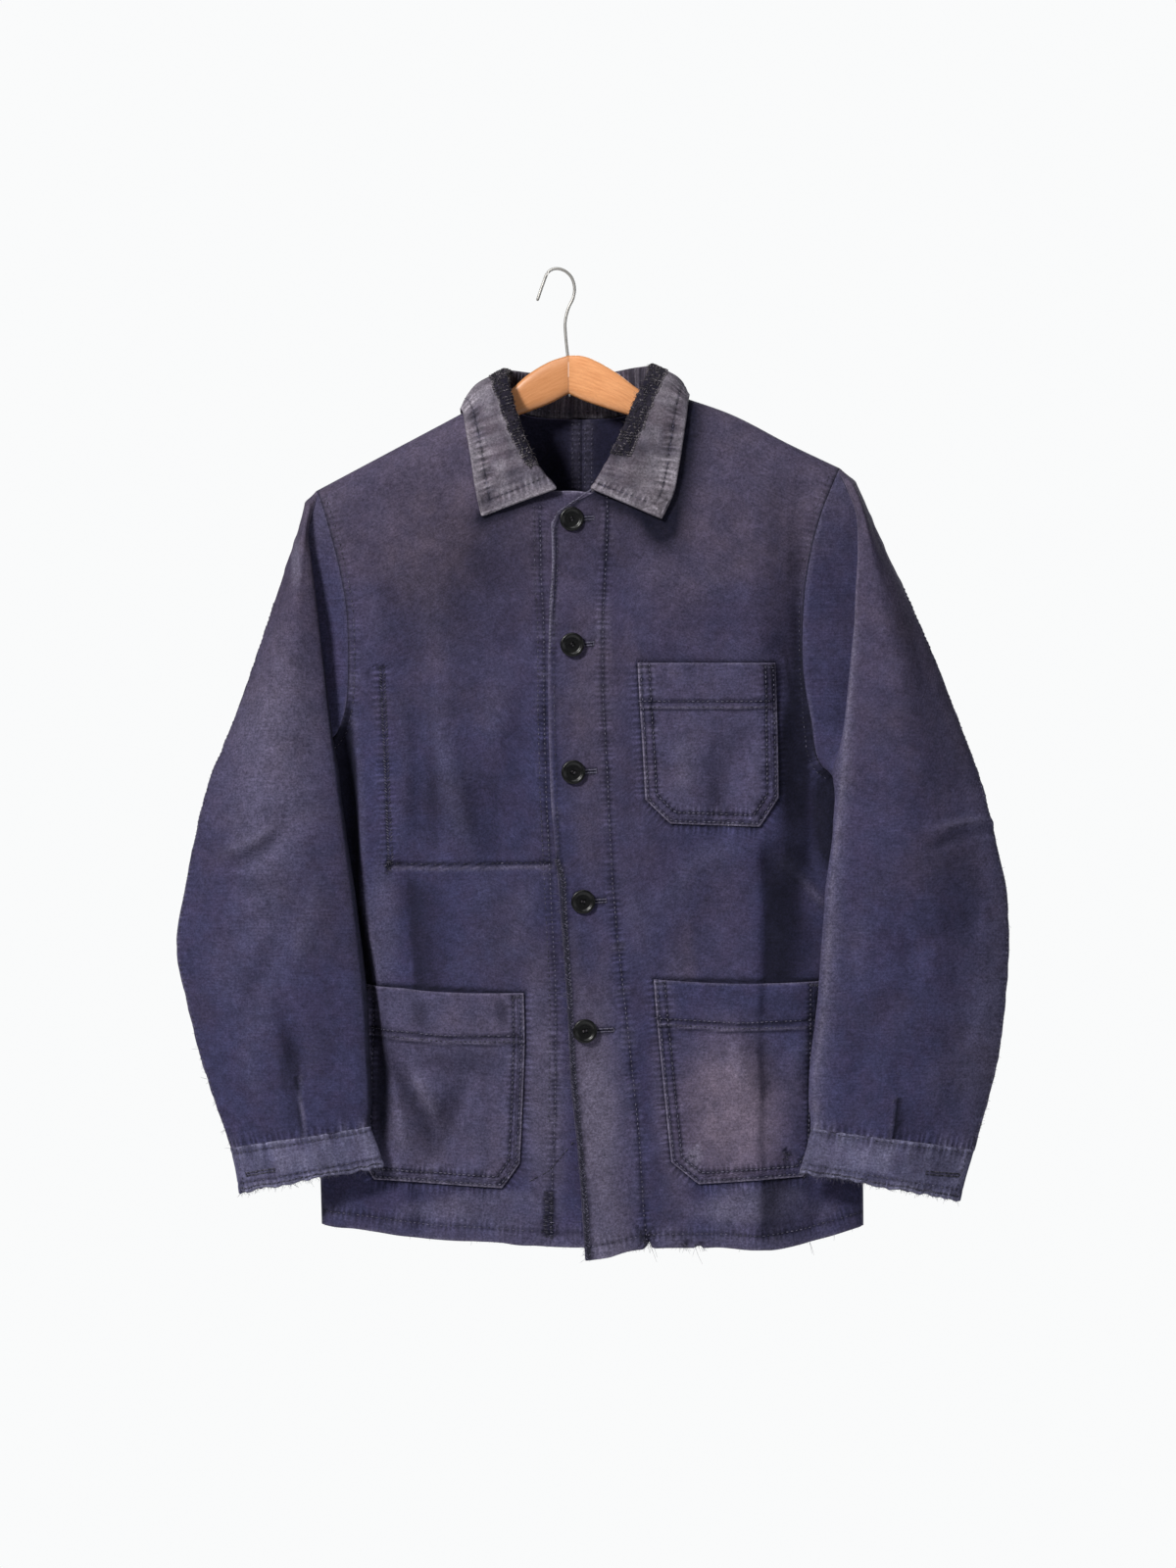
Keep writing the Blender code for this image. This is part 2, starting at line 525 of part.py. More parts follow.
def seam_points(cap):
    """Front and back armhole seam from the shoulder tip to the armpit, as polylines of x and z."""
    rows = np.array(cap)
    tip_x = RIGHT_TIP_X if rows[0, 0] < 0 else LEFT_TIP_X
    tip = np.array([[tip_x, curve_at(SHOULDER_LINE, tip_x)]])
    lines = []
    for column in (0, 2):
        seam = np.stack([rows[:, column], rows[:, 1]], axis=1)
        lower = spline(seam, [CAP_ROWS] * (len(seam) - 1))
        upper = np.array([tip[0] + (seam[0] - tip[0]) * share for share in TIP_SHARES])
        lines.append(np.concatenate([upper, lower]))
    return lines


def patch(top, bottom, start, end, share):
    """Grid of x and z inside four edges; rows go from top to bottom, columns from start to end."""
    u = np.linspace(0.0, 1.0, len(top))[None, :, None]
    v = share[:, None, None]
    rows = (1 - v) * top[None] + v * bottom[None]
    columns = (1 - u) * start[:, None] + u * end[:, None]
    corners = (1 - v) * ((1 - u) * top[0] + u * top[-1]) + v * ((1 - u) * bottom[0] + u * bottom[-1])
    return rows + columns - corners


def side_edge(cap, face, hem_point):
    """Armhole and side seam of a panel, x and z, with the number of armhole points."""
    seam = seam_points(cap)[0 if face == "front" else 1]
    column = 1 if hem_point[0] < 0 else 2
    heights = np.linspace(seam[-1, 1], hem_point[1], SIDE_ROWS + 1)[1:]
    side = np.stack([curve_at(BODY_SECTIONS, heights, 0, column), heights], axis=1)
    return np.concatenate([seam, side]), len(seam)


def lap_out(x, z):
    """How far the top front stands in front of the body tube."""
    near_edge = smooth((LAP_REACH - np.abs(x - CENTRE_BACK_X)) / LAP_BLEND)
    return LAP * near_edge * smooth((LAP_TOP_Z - z) / LAP_BLEND)


def panel(face, cap, neck, edge, hem, across):
    """Points and normals of one front or back, cut from the body tube; the left front is the top one."""
    tip_x = RIGHT_TIP_X if cap[0][0] < 0 else LEFT_TIP_X
    neck_x = neck[-1][0]
    neck_count, shoulder_count = across
    shoulder_x = np.linspace(neck_x, tip_x, shoulder_count + 1)[1:]
    shoulder = np.stack([shoulder_x, curve_at(SHOULDER_LINE, shoulder_x)], axis=1)
    neck_line = spline(neck, [EDGE_STEPS] * (len(neck) - 1))
    crowded = 1 - (1 - np.linspace(0, 1, neck_count + 1)) ** NECK_CROWDING
    top = np.concatenate([along(neck_line, crowded), shoulder])
    hem_line = spline(hem, [EDGE_STEPS] * (len(hem) - 1))
    bottom = along(hem_line, np.linspace(0, 1, len(top)))
    end, armhole = side_edge(cap, face, hem[-1])
    share = (end[0, 1] - end[:, 1]) / (end[0, 1] - end[-1, 1])
    edge_z = edge[0][1] + (edge[-1][1] - edge[0][1]) * share
    start = np.stack([curve_at(edge, edge_z, 1, 0), edge_z], axis=1)
    grid = patch(top, bottom, start, end, share)
    side = -1.0 if face == "front" else 1.0
    points, normals = body_surface(face, grid[..., 0], grid[..., 1])
    if face == "front" and tip_x > 0:
        points = points + normals * lap_out(grid[..., 0], grid[..., 1])[..., None]
    first_shoulder = neck_count
    points[0, first_shoulder:, 1] += side * SEAM_HALF
    points[armhole:, -1, 1] += side * SEAM_HALF
    seam_way = seam_direction(points[:armhole, -1], normals[:armhole, -1], points[:armhole, -2])
    points[:armhole, -1] -= seam_way * SEAM_HALF
    if face == "back":
        inward = 1.0 if cap[0][0] > 0 else -1.0
        points[:, 0, 0] += inward * SEAM_HALF
    return points, normals


def seam_direction(line, normals, inside):
    """Unit vectors in the cloth, across a seam, that point away from the panel."""
    way = unit(np.cross(normals, np.gradient(line, axis=0)))
    flip = np.sum(way * (line - inside), axis=1) < 0
    way[flip] *= -1
    return way


def section_normals(grid, wrap_from):
    """Normals of a sleeve's grid; rows from wrap_from on are closed rings."""
    across = tangents(grid, 1)
    joined = unit(across[wrap_from:, 0] + across[wrap_from:, -1])
    across[wrap_from:, 0] = joined
    across[wrap_from:, -1] = joined
    return unit(np.cross(across, tangents(grid, 0)))


def sleeve(side):
    """Points and normals of a whole sleeve and its cuff, from the armhole to the cuff's hem.

    Columns start at the front armhole seam or underarm seam, cross the fold, the front, the outer edge and the
    back, and end at the back armhole seam or underarm seam.
    """
    cap = RIGHT_CAP if side == "right" else LEFT_CAP
    arm = RIGHT_ARM if side == "right" else LEFT_ARM
    outward = -1.0 if side == "right" else 1.0
    front_line, back_line = seam_points(cap)
    tip_count = TIP_ROWS + 1
    edges = []
    for face, line in (("front", front_line), ("back", back_line)):
        points, normals = body_surface(face, line[:, 0], line[:, 1])
        inside, _ = body_surface(face, line[:, 0] - outward * SEAM_INSIDE[0], line[:, 1] + SEAM_INSIDE[1])
        way = seam_direction(points, normals, inside)
        length = np.concatenate([np.cumsum(np.linalg.norm(np.diff(points[::-1], axis=0), axis=1))[::-1], [0.0]])
        leave = smooth(1 - length / ARMPIT_REACH)[:, None]
        space = np.array([outward * ARMPIT_SPACE, 0.0, ARMPIT_LIFT])
        edges.append((points + way * SEAM_HALF + leave * space, normals, leave))
    (front_edge, front_normals, front_leave), (back_edge, back_normals, back_leave) = edges

    columns = sum(ACROSS) + 1
    net = []
    heights = len(cap) - 1
    for row in range(1, heights + 1):
        data = dict(zip(CAP_COLUMNS, cap[row]))
        seam_front = front_edge[TIP_ROWS + CAP_ROWS * row]
        seam_back = back_edge[TIP_ROWS + CAP_ROWS * row]
        plane = float(middle_plane(data["seam_x"], data["out_z"]))
        if row < heights:
            fold_y = seam_front[1] - data["rise"]
            hollow = np.array([
                data["fold_x"] + outward * data["tuck"],
                seam_front[1] + data["dip"],
                0.5 * (data["seam_z"] + data["fold_z"]),
            ])
            front_y = fold_y - CAP_FRONT_BULGE * min(1.0, row / CAP_ROUND_ROWS)
            out_y = plane
            back_y = plane + data["back_y"]
            inner = np.array([
                seam_back[0] + INNER_SHARE * np.clip(data["out_x"] - seam_back[0], -INNER_REACH, INNER_REACH),
                seam_back[1] + INNER_DEPTH * (back_y - seam_back[1]),
                seam_back[2] + INNER_DROP * (data["fold_z"] - seam_back[2]),
            ])
        else:
            depth = dict(zip(ARM_DEPTH_COLUMNS, ARMPIT_DEPTHS))
            fold_y = depth["fold_y"]
            aside, behind, above = ARMPIT_HOLLOW
            hollow = np.array([data["fold_x"] + outward * aside, fold_y + behind, data["fold_z"] + above])
            front_y, out_y, back_y = depth["front_y"], depth["out_y"], depth["back_y"]
            aside, above = ARMPIT_INNER
            inner = np.array([seam_back[0] + outward * aside, depth["inner_y"], data["fold_z"] + above])
        net.append(section(data, seam_front, hollow, fold_y, front_y, out_y, back_y, inner, seam_back))
    for row, numbers in enumerate(arm):
        data = dict(zip(ARM_COLUMNS, numbers))
        depth = dict(zip(ARM_DEPTH_COLUMNS, ARM_DEPTHS[row]))
        fold = np.array([data["fold_x"], depth["fold_y"], data["fold_z"]])
        seam = fold + np.array([outward * depth["seam_out"], depth["seam_back"], 0.0])
        hollow = 0.5 * (fold + seam) + np.array([outward * ARM_HOLLOW[0], ARM_HOLLOW[1], 0.0])
        inner = np.array([
            data["fold_x"] + (data["out_x"] - data["fold_x"]) * ARM_INNER_SHARE + outward * ARM_INNER_OUT,
            depth["inner_y"],
            data["fold_z"] + (data["out_z"] - data["fold_z"]) * ARM_INNER_SHARE,
        ])
        net.append(
            section(data, seam, hollow, fold[1], depth["front_y"], depth["out_y"], depth["back_y"], inner, seam)
        )
    net = np.array(net)

    rows = np.array([spline(section_points, ACROSS) for section_points in net])
    counts = [CAP_ROWS] * (heights - 1) + [ARM_ROWS] * (len(arm) - 1) + [CUFF_ROWS]
    body = spline(rows, counts)
    # The first row runs along the seam over the shoulder tip, the second is spline to it
    over_tip = np.concatenate([front_edge[TIP_ROWS::-1], back_edge[1:tip_count]])
    over_normals = np.concatenate([front_normals[TIP_ROWS::-1], back_normals[1:tip_count]])
    steps = np.linalg.norm(np.diff(over_tip, axis=0), axis=1)
    length = np.concatenate([[0.0], np.cumsum(steps)])
    first = along(over_tip, np.linspace(0, 1, columns))
    at = np.linspace(0, 1, columns) * length[-1]
    first_normals = unit(np.stack([np.interp(at, length, over_normals[:, k]) for k in range(3)], axis=1))
    between = []
    for step in range(1, CAP_ROWS):
        t = step / CAP_ROWS
        rounded = math.sin(t * math.pi / 2)
        between.append(first * (1 - t) + body[0] * t + first_normals * TIP_ROUND * (rounded - t))
    grid = np.concatenate([first[None], np.array(between), body])
    armpit_row = CAP_ROWS * heights
    for row in range(armpit_row + 1):
        grid[row, 0] = front_edge[TIP_ROWS + row]
        grid[row, -1] = back_edge[TIP_ROWS + row]
    underarm = 0.5 * (grid[armpit_row + 1:, 0] + grid[armpit_row + 1:, -1])
    grid[armpit_row + 1:, 0] = underarm
    grid[armpit_row + 1:, -1] = underarm

    front_part = sum(ACROSS[:4])
    weight = np.zeros(columns)
    weight[: front_part + 1] = np.sin(np.linspace(0, math.pi, front_part + 1)) ** 0.5
    trough = fold_depth(SLEEVE_FOLDS, side, grid[..., 0], grid[..., 2]) * weight[None]
    grid[..., 1] += trough

    normals = section_normals(grid, armpit_row + 1)
    if side == "left":
        normals = -normals
    for column, edge_normals, leave in ((0, front_normals, front_leave), (-1, back_normals, back_leave)):
        own = normals[: armpit_row + 1, column]
        kept = leave[TIP_ROWS: TIP_ROWS + armpit_row + 1]
        normals[: armpit_row + 1, column] = unit(
            edge_normals[TIP_ROWS: TIP_ROWS + armpit_row + 1] * (1 - kept) + own * kept
        )
    normals[0] = first_normals
    return grid, normals, armpit_row


def section(data, seam_front, hollow, fold_y, front_y, out_y, back_y, inner, seam_back):
    """The nine points that a sleeve's section is drawn through."""
    fold = np.array([data["fold_x"], fold_y, data["fold_z"]])
    out = np.array([data["out_x"], out_y, data["out_z"]])
    front = fold + (out - fold) * FRONT_PLACE
    front[1] = front_y
    near_out = fold + (out - fold) * NEAR_OUT_PLACE
    near_out[1] = out_y + (front_y - out_y) * NEAR_OUT_DEPTH
    behind_out = fold + (out - fold) * BEHIND_OUT_PLACE
    behind_out[1] = out_y + (back_y - out_y) * BEHIND_OUT_DEPTH
    back = fold + (out - fold) * BACK_PLACE
    back[1] = back_y
    return [seam_front, hollow, fold, front, near_out, out, behind_out, back, inner, seam_back]


def wall(name, points, normals, thickness, material):
    """Closed solid of one sheet of cloth; thickness may vary over the grid."""
    half = np.broadcast_to(np.asarray(thickness, float) / 2, points.shape[:2])[..., None]
    outer = points + normals * half
    inner = points - normals * half
    rows, columns = points.shape[:2]
    vertices = np.concatenate([outer.reshape(-1, 3), inner.reshape(-1, 3)])
    layer = rows * columns

    def at(row, column, side):
        return side * layer + row * columns + column

    faces = []
    for row in range(rows - 1):
        for column in range(columns - 1):
            corners = []
            for r, c in ((row, column), (row, column + 1), (row + 1, column + 1), (row + 1, column)):
                corners.append(np.append(points[r, c], [r, c]))
            for triangle in half_quads(*corners):
                spots = [(int(corner[3]), int(corner[4])) for corner in triangle]
                faces.append([at(r, c, 0) for r, c in spots])
                faces.append([at(r, c, 1) for r, c in reversed(spots)])
    for column in range(columns - 1):
        for row in (0, rows - 1):
            strip = [at(row, column, 0), at(row, column + 1, 0), at(row, column + 1, 1), at(row, column, 1)]
            faces.append(strip if row else strip[::-1])
    for row in range(rows - 1):
        for column in (0, columns - 1):
            strip = [at(row, column, 0), at(row + 1, column, 0), at(row + 1, column, 1), at(row, column, 1)]
            faces.append(strip[::-1] if column else strip)
    return solid(name, vertices, faces, material)


def solid(name, vertices, faces, material, sharp=40):
    """Mesh object whose faces point out; edges over sharp degrees are shaded flat."""
    mesh = bpy.data.meshes.new(name)
    mesh.from_pydata([tuple(map(float, v)) for v in vertices], [], faces)
    mesh.validate()
    volume = 0.0
    for face in faces:
        for k in range(1, len(face) - 1):
            volume += np.dot(vertices[face[0]], np.cross(vertices[face[k]], vertices[face[k + 1]]))
    if volume < 0:
        mesh.flip_normals()
    mesh.shade_smooth()
    mesh.set_sharp_from_angle(angle=math.radians(sharp))
    mesh.materials.append(material)
    thing = bpy.data.objects.new(name, mesh)
    bpy.context.scene.collection.objects.link(thing)
    return thing


def make_material(name, colour, roughness, metallic=0.0):
    material = bpy.data.materials.new(name)
    material.use_nodes = True
    shader = material.node_tree.nodes["Principled BSDF"]
    shader.inputs["Base Color"].default_value = colour
    shader.inputs["Roughness"].default_value = roughness
    shader.inputs["Metallic"].default_value = metallic
    return material


def front_panel(side):
    """Points and normals of one front; the left one laps over the right one."""
    if side == "right":
        return panel("front", RIGHT_CAP, RIGHT_NECK, RIGHT_EDGE, RIGHT_HEM, FRONT_COLUMNS)
    return panel("front", LEFT_CAP, LEFT_NECK, LEFT_EDGE, LEFT_HEM, FRONT_COLUMNS)


def make_body(cloth):
    """The two fronts and the two backs."""
    for side in ("right", "left"):
        points, normals = front_panel(side)
        wall(f"front_{side}", points, normals, CLOTH, cloth)
    for name, cap, hem, tip_x in (
        ("back_right", RIGHT_CAP, RIGHT_HEM, RIGHT_NECK_X),
        ("back_left", LEFT_CAP, LEFT_HEM, LEFT_NECK_X),
    ):
        neck = back_neck(tip_x)
        edge = ((CENTRE_BACK_X, BACK_NECK_Z), (CENTRE_BACK_X, BACK_WAIST_Z), (CENTRE_BACK_X, BACK_HEM_Z))
        halfway = 0.5 * (CENTRE_BACK_X + hem[-1][0])
        low = ((CENTRE_BACK_X, BACK_HEM_Z), (halfway, BACK_HEM_Z + BACK_HEM_RISE), hem[-1])
        points, normals = panel("back", cap, neck, edge, low, BACK_COLUMNS)
        wall(name, points, normals, CLOTH, cloth)


def neck_height(face, x):
    """Height of the neck edge of a front or of the back at x."""
    if face == "front":
        return curve_at(LEFT_NECK if x > CENTRE_BACK_X else RIGHT_NECK, x)
    end_x = LEFT_NECK_X if x > CENTRE_BACK_X else RIGHT_NECK_X
    reach = (x - CENTRE_BACK_X) / (end_x - CENTRE_BACK_X)
    return BACK_NECK_Z + (curve_at(SHOULDER_LINE, end_x) - BACK_NECK_Z) * reach**BACK_NECK_SHAPE


def back_neck(end_x):
    """Back neck edge, x and z, from the centre back up to a neck point."""
    return [(x, neck_height("back", x)) for x in np.linspace(CENTRE_BACK_X, end_x, NECK_STEPS)]


def make_sleeves(cloth):
    """Top sleeves and under sleeves, each parted below the armpit, and open cuffs."""
    for side in ("right", "left"):
        grid, normals, armpit = sleeve(side)
        hind = sum(ACROSS[:HIND_POINT])
        cuff_row = len(grid) - 1 - CUFF_ROWS
        parting = armpit + ARM_ROWS
        grid_top = grid[: cuff_row + 1, : hind + 1].copy()
        grid_under = grid[: cuff_row + 1, hind:].copy()
        across = tangents(grid, 1)[: cuff_row + 1]
        grid_top[:, -1] -= across[:, hind] * SEAM_HALF
        grid_under[:, 0] += across[:, hind] * SEAM_HALF
        grid_top[armpit + 1:, 0] += across[armpit + 1:, 0] * SEAM_HALF
        grid_under[armpit + 1:, -1] -= across[armpit + 1:, -1] * SEAM_HALF
        down = tangents(grid, 0)
        grid_top[-1] -= down[cuff_row, : hind + 1] * SEAM_HALF
        grid_under[-1] -= down[cuff_row, hind:] * SEAM_HALF
        halves = (
            ("top", grid_top, slice(None, hind + 1)),
            ("under", grid_under, slice(hind, None)),
        )
        for half, points, columns in halves:
            upper, lower = points[: parting + 1].copy(), points[parting:].copy()
            upper[-1] -= down[parting, columns] * SEAM_HALF
            lower[0] += down[parting, columns] * SEAM_HALF
            wall(f"sleeve_{side}_{half}_upper", upper, normals[: parting + 1, columns], CLOTH, cloth)
            wall(f"sleeve_{side}_{half}_lower", lower, normals[parting: cuff_row + 1, columns], CLOTH, cloth)

        cuff = grid[cuff_row:].copy()
        cuff[0] += down[cuff_row] * SEAM_HALF
        order = list(range(hind + 1, grid.shape[1] - 1)) + list(range(0, hind))
        wall(f"cuff_{side}", cuff[:, order], normals[cuff_row:][:, order], CUFF_CLOTH, cloth)


def make_pockets(cloth):
    """Patch pockets made from the points of the front under them, moved out."""
    tables = {
        "pocket_chest": POCKET_CHEST,
        "pocket_lower_left": POCKET_LOWER_LEFT,
        "pocket_lower_right": POCKET_LOWER_RIGHT,
    }
    for name, table in tables.items():
        panel_points, panel_normals = front_panel("right" if name.endswith("right") else "left")
        rows = np.array(table)
        ends = spline(rows[:4], [POCKET_ROWS, POCKET_ROWS, POCKET_ROWS])
        corner = np.array([rows[3] + (rows[4] - rows[3]) * share for share in CORNER_SHARES])
        ends = np.concatenate([ends, corner])
        share = np.linspace(0, 1, POCKET_ACROSS + 1)[None, :]
        x = ends[:, 1:2] * (1 - share) + ends[:, 3:4] * share
        z = ends[:, 0:1] * (1 - share) + ends[:, 2:3] * share
        points, normals = on_sheet(panel_points, panel_normals, x, z)
        band = np.zeros(x.shape)
        band[: POCKET_ROWS + 1] = POCKET_BAND
        out = CLOTH + LAY_GAP + band / 2
        wall(name, points + normals * out[..., None], normals, CLOTH + band, cloth)


def on_sheet(points, normals, x, z):
    """Points and normals of a panel's own flat faces at x, z."""
    point_and_normal = 6
    found = np.full(x.shape + (point_and_normal,), np.nan)
    rows, columns = points.shape[:2]
    values = np.concatenate([points, normals], axis=-1)
    for row in range(rows - 1):
        for column in range(columns - 1):
            a, b, c, d = (values[row, column], values[row, column + 1], values[row + 1, column + 1],
                          values[row + 1, column])
            for p, q, r in half_quads(a, b, c, d):
                first = (q[0] - p[0], q[2] - p[2])
                second = (r[0] - p[0], r[2] - p[2])
                area = first[0] * second[1] - first[1] * second[0]
                if abs(area) < 1e-12:
                    continue
                s = ((x - p[0]) * second[1] - (z - p[2]) * second[0]) / area
                t = (first[0] * (z - p[2]) - first[1] * (x - p[0])) / area
                inside = (s >= -1e-6) & (t >= -1e-6) & (s + t <= 1 + 1e-6)
                found[inside] = (p + s[..., None] * (q - p) + t[..., None] * (r - p))[inside]
    return found[..., :3], unit(found[..., 3:])


def half_quads(a, b, c, d):
    """The two triangles of a quad, cut along its shorter diagonal."""
    if np.linalg.norm(a[:3] - c[:3]) < np.linalg.norm(b[:3] - d[:3]):
        return ((a, b, c), (a, c, d))
    return ((a, b, d), (b, c, d))


def collar_points():
    """Grid of the collar: rows go round the neck, columns from the neck seam over the fold to the outer edge."""
    stations = [dict(zip(COLLAR_COLUMNS, numbers)) for numbers in COLLAR]
    seams = []
    for data in stations:
        neck_z = neck_height(data["face"], data["neck_x"])
        data["lap"] = 0.0
        if data["face"] == "front" and data["neck_x"] > CENTRE_BACK_X:
            data["lap"] = float(lap_out(data["edge_x"], data["edge_z"]))
            seams.append(body_surface("front", data["neck_x"], neck_z, lap_out(data["neck_x"], neck_z)))
        else:
            seams.append(body_surface(data["face"], data["neck_x"], neck_z))
    run = tangents(np.array([point for point, _ in seams]), 0)
    axis = np.array(COLLAR_AXIS)
    net = []
    for data, (neck, neck_normal), way in zip(stations, seams, run):
        out = CLOTH / 2 + data["lift"] + data["lap"]
        edge, _ = body_surface(data["face"], data["edge_x"], data["edge_z"], out)
        fold = np.array([data["fold_x"], data["fold_y"], data["fold_z"]])
        inward = unit(np.cross(neck_normal, way))
        inward *= math.copysign(1.0, np.dot(inward, axis - neck))
        start = neck + inward * (COLLAR_CLOTH / 2 + COLLAR_GAP) + neck_normal * (CLOTH / 2 + COLLAR_GAP)
        rise = unit(fold - start)
        fall = unit(edge - fold)
        apart = unit(np.cross(way, fall - rise))
        apart *= math.copysign(1.0, np.dot(apart, 0.5 * (edge + fold) - axis))
        stand_top = fold - unit(STAND_TURN[0] * rise + STAND_TURN[1] * apart) * COLLAR_TURN
        leaf_top = fold + unit(LEAF_TURN[0] * fall + LEAF_TURN[1] * apart) * COLLAR_TURN
        leaf = 0.5 * (fold + edge) + apart * data["puff"]
        net.append([start, 0.5 * (start + stand_top), stand_top, fold, leaf_top, leaf, edge])
    across = np.array([spline(row, COLLAR_ACROSS) for row in net])
    return spline(across, [COLLAR_ROWS] * (len(net) - 1))


def make_collar(cloth):
    grid = collar_points()
    normals = unit(np.cross(tangents(grid, 0), tangents(grid, 1)))
    wall("collar", grid, normals, COLLAR_CLOTH, cloth)


def make_button(name, place, normal, radius, material):
    """Round button with a raised rim and a dished middle, its back on place."""
    scale = radius / BUTTON_RADIUS
    thick = BUTTON_THICK * scale
    profile = (
        (0.0, 0.0),
        (radius * 0.80, 0.0),
        (radius, thick * 0.45),
        (radius * 0.96, thick * 0.85),
        (BUTTON_RIM_RADIUS * scale, thick),
        (BUTTON_DISH_RADIUS * scale, thick - BUTTON_DISH * scale),
        (0.0, thick - BUTTON_DISH * scale),
    )
    normal = unit(np.asarray(normal, float))
    first = unit(np.cross(normal, [0.0, 0.0, 1.0]))
    second = np.cross(normal, first)
    vertices = [place]
    for reach, height in profile[1:-1]:
        for step in range(BUTTON_SIDES):
            angle = 2 * math.pi * step / BUTTON_SIDES
            ring = first * math.cos(angle) + second * math.sin(angle)
            vertices.append(place + ring * reach + normal * height)
    vertices.append(place + normal * profile[-1][1])
    rings = len(profile) - 2
    faces = []
    for step in range(BUTTON_SIDES):
        following = (step + 1) % BUTTON_SIDES
        faces.append([0, 1 + following, 1 + step])
        for ring in range(rings - 1):
            low = 1 + ring * BUTTON_SIDES
            high = low + BUTTON_SIDES
            faces.append([low + step, low + following, high + following, high + step])
        last = 1 + (rings - 1) * BUTTON_SIDES
        faces.append([last + step, last + following, len(vertices) - 1])
    solid(name, np.array(vertices), faces, material)


def make_buttons(material):
    for number, (x, z) in enumerate(FRONT_BUTTONS, 1):
        out = LAP + CLOTH / 2 + BUTTON_GAP
        place, normal = body_surface("front", x, z, out)
        make_button(f"button_front_{number}", place, normal, BUTTON_RADIUS, material)
    for side in ("right", "left"):
        grid, normals, _ = sleeve(side)
        column = sum(ACROSS[:HIND_POINT]) + CUFF_BUTTON_COLUMN
        place = 0.5 * (grid[-1, column] + grid[-1 - CUFF_ROWS, column])
        normal = unit(normals[-1, column] + normals[-1 - CUFF_ROWS, column])
        place = place + normal * (CUFF_CLOTH / 2 + BUTTON_GAP)
        make_button(f"button_cuff_{side}", place, normal, CUFF_BUTTON_RADIUS, material)


def loft(name, sections, material):
    """Closed solid through rings of points, with flat ends."""
    rings = np.array(sections)
    count, sides = rings.shape[:2]
    faces = [list(range(sides))[::-1], [(count - 1) * sides + k for k in range(sides)]]
    for ring in range(count - 1):
        for k in range(sides):
            following = (k + 1) % sides
            low, high = ring * sides, (ring + 1) * sides
            faces.append([low + k, low + following, high + following, high + k])
    solid(name, rings.reshape(-1, 3), faces, material, 50)


def make_hanger(material):
    """Two curved arms that meet at a glued joint in the middle."""
    for name, table, away in (("hanger_right", HANGER_RIGHT, -1.0), ("hanger_left", HANGER_LEFT, 1.0)):
        rows = np.array(table, float)
        rows[0, 0] += away * HANGER_GAP
        rows = spline(rows, [HANGER_STEPS] * (len(rows) - 1))
        rings = []
        for x, top, bottom, half in rows:
            ring = []
            for k in range(HANGER_SIDES):
                angle = 2 * math.pi * (k + 0.5) / HANGER_SIDES
                c, s = math.cos(angle), math.sin(angle)
                y = half * math.copysign(abs(c) ** (2 / HANGER_SQUARE), c)
                z = 0.5 * (top - bottom) * math.copysign(abs(s) ** (2 / HANGER_SQUARE), s)
                height = 0.5 * (top + bottom) + z
                ring.append((x, y + float(middle_plane(x, height)), height))
            rings.append(ring)
        loft(name, rings, material)


def make_hook(material):
    route = spline(HOOK_ROUTE, [HOOK_SPAN] * (len(HOOK_ROUTE) - 1))
    curve = bpy.data.curves.new("hook", "CURVE")
    curve.dimensions = "3D"
    curve.bevel_depth = HOOK_WIRE
    curve.bevel_resolution = HOOK_ROUNDING
    curve.use_fill_caps = True
    line = curve.splines.new("POLY")
    line.points.add(len(route) - 1)
    for point, (x, z) in zip(line.points, route):
        point.co = (x, 0.0, z, 1.0)
    curve.materials.append(material)
    thing = bpy.data.objects.new("hook", curve)
    bpy.context.scene.collection.objects.link(thing)


def main():
    for thing in list(bpy.data.objects):
        bpy.data.objects.remove(thing, do_unlink=True)
    cloth = make_material("moleskin", MOLESKIN, 0.9)
    collar_cloth = make_material("collar_moleskin", COLLAR_COLOUR, 0.9)
    button = make_material("button_plastic", BUTTON_COLOUR, 0.25)
    wood = make_material("hanger_wood", WOOD, 0.45)
    steel = make_material("hook_steel", STEEL, 0.35, 1.0)
    make_body(cloth)
    make_sleeves(cloth)
    make_pockets(cloth)
    make_collar(collar_cloth)
    make_buttons(button)
    make_hanger(wood)
    make_hook(steel)


main()
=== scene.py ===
"""Chore jacket on a wooden hanger: thin cloth with folds, seams, stitches and wear.

Metres, +Z up. The front faces -Y, the wearer's right is on -X, and the origin is the inside top of the hook.
The first half repeats the jacket's own geometry at a finer mesh; the second half adds what a seamstress and
years of wear add: topstitching, puckers, creases, darning, frayed edges and faded cloth. It also paints shade
and highlights into the colours: in folds, seams and puckers, beside the sleeves, under the collar, and on the
hanger's underside and right arm.
"""
import math

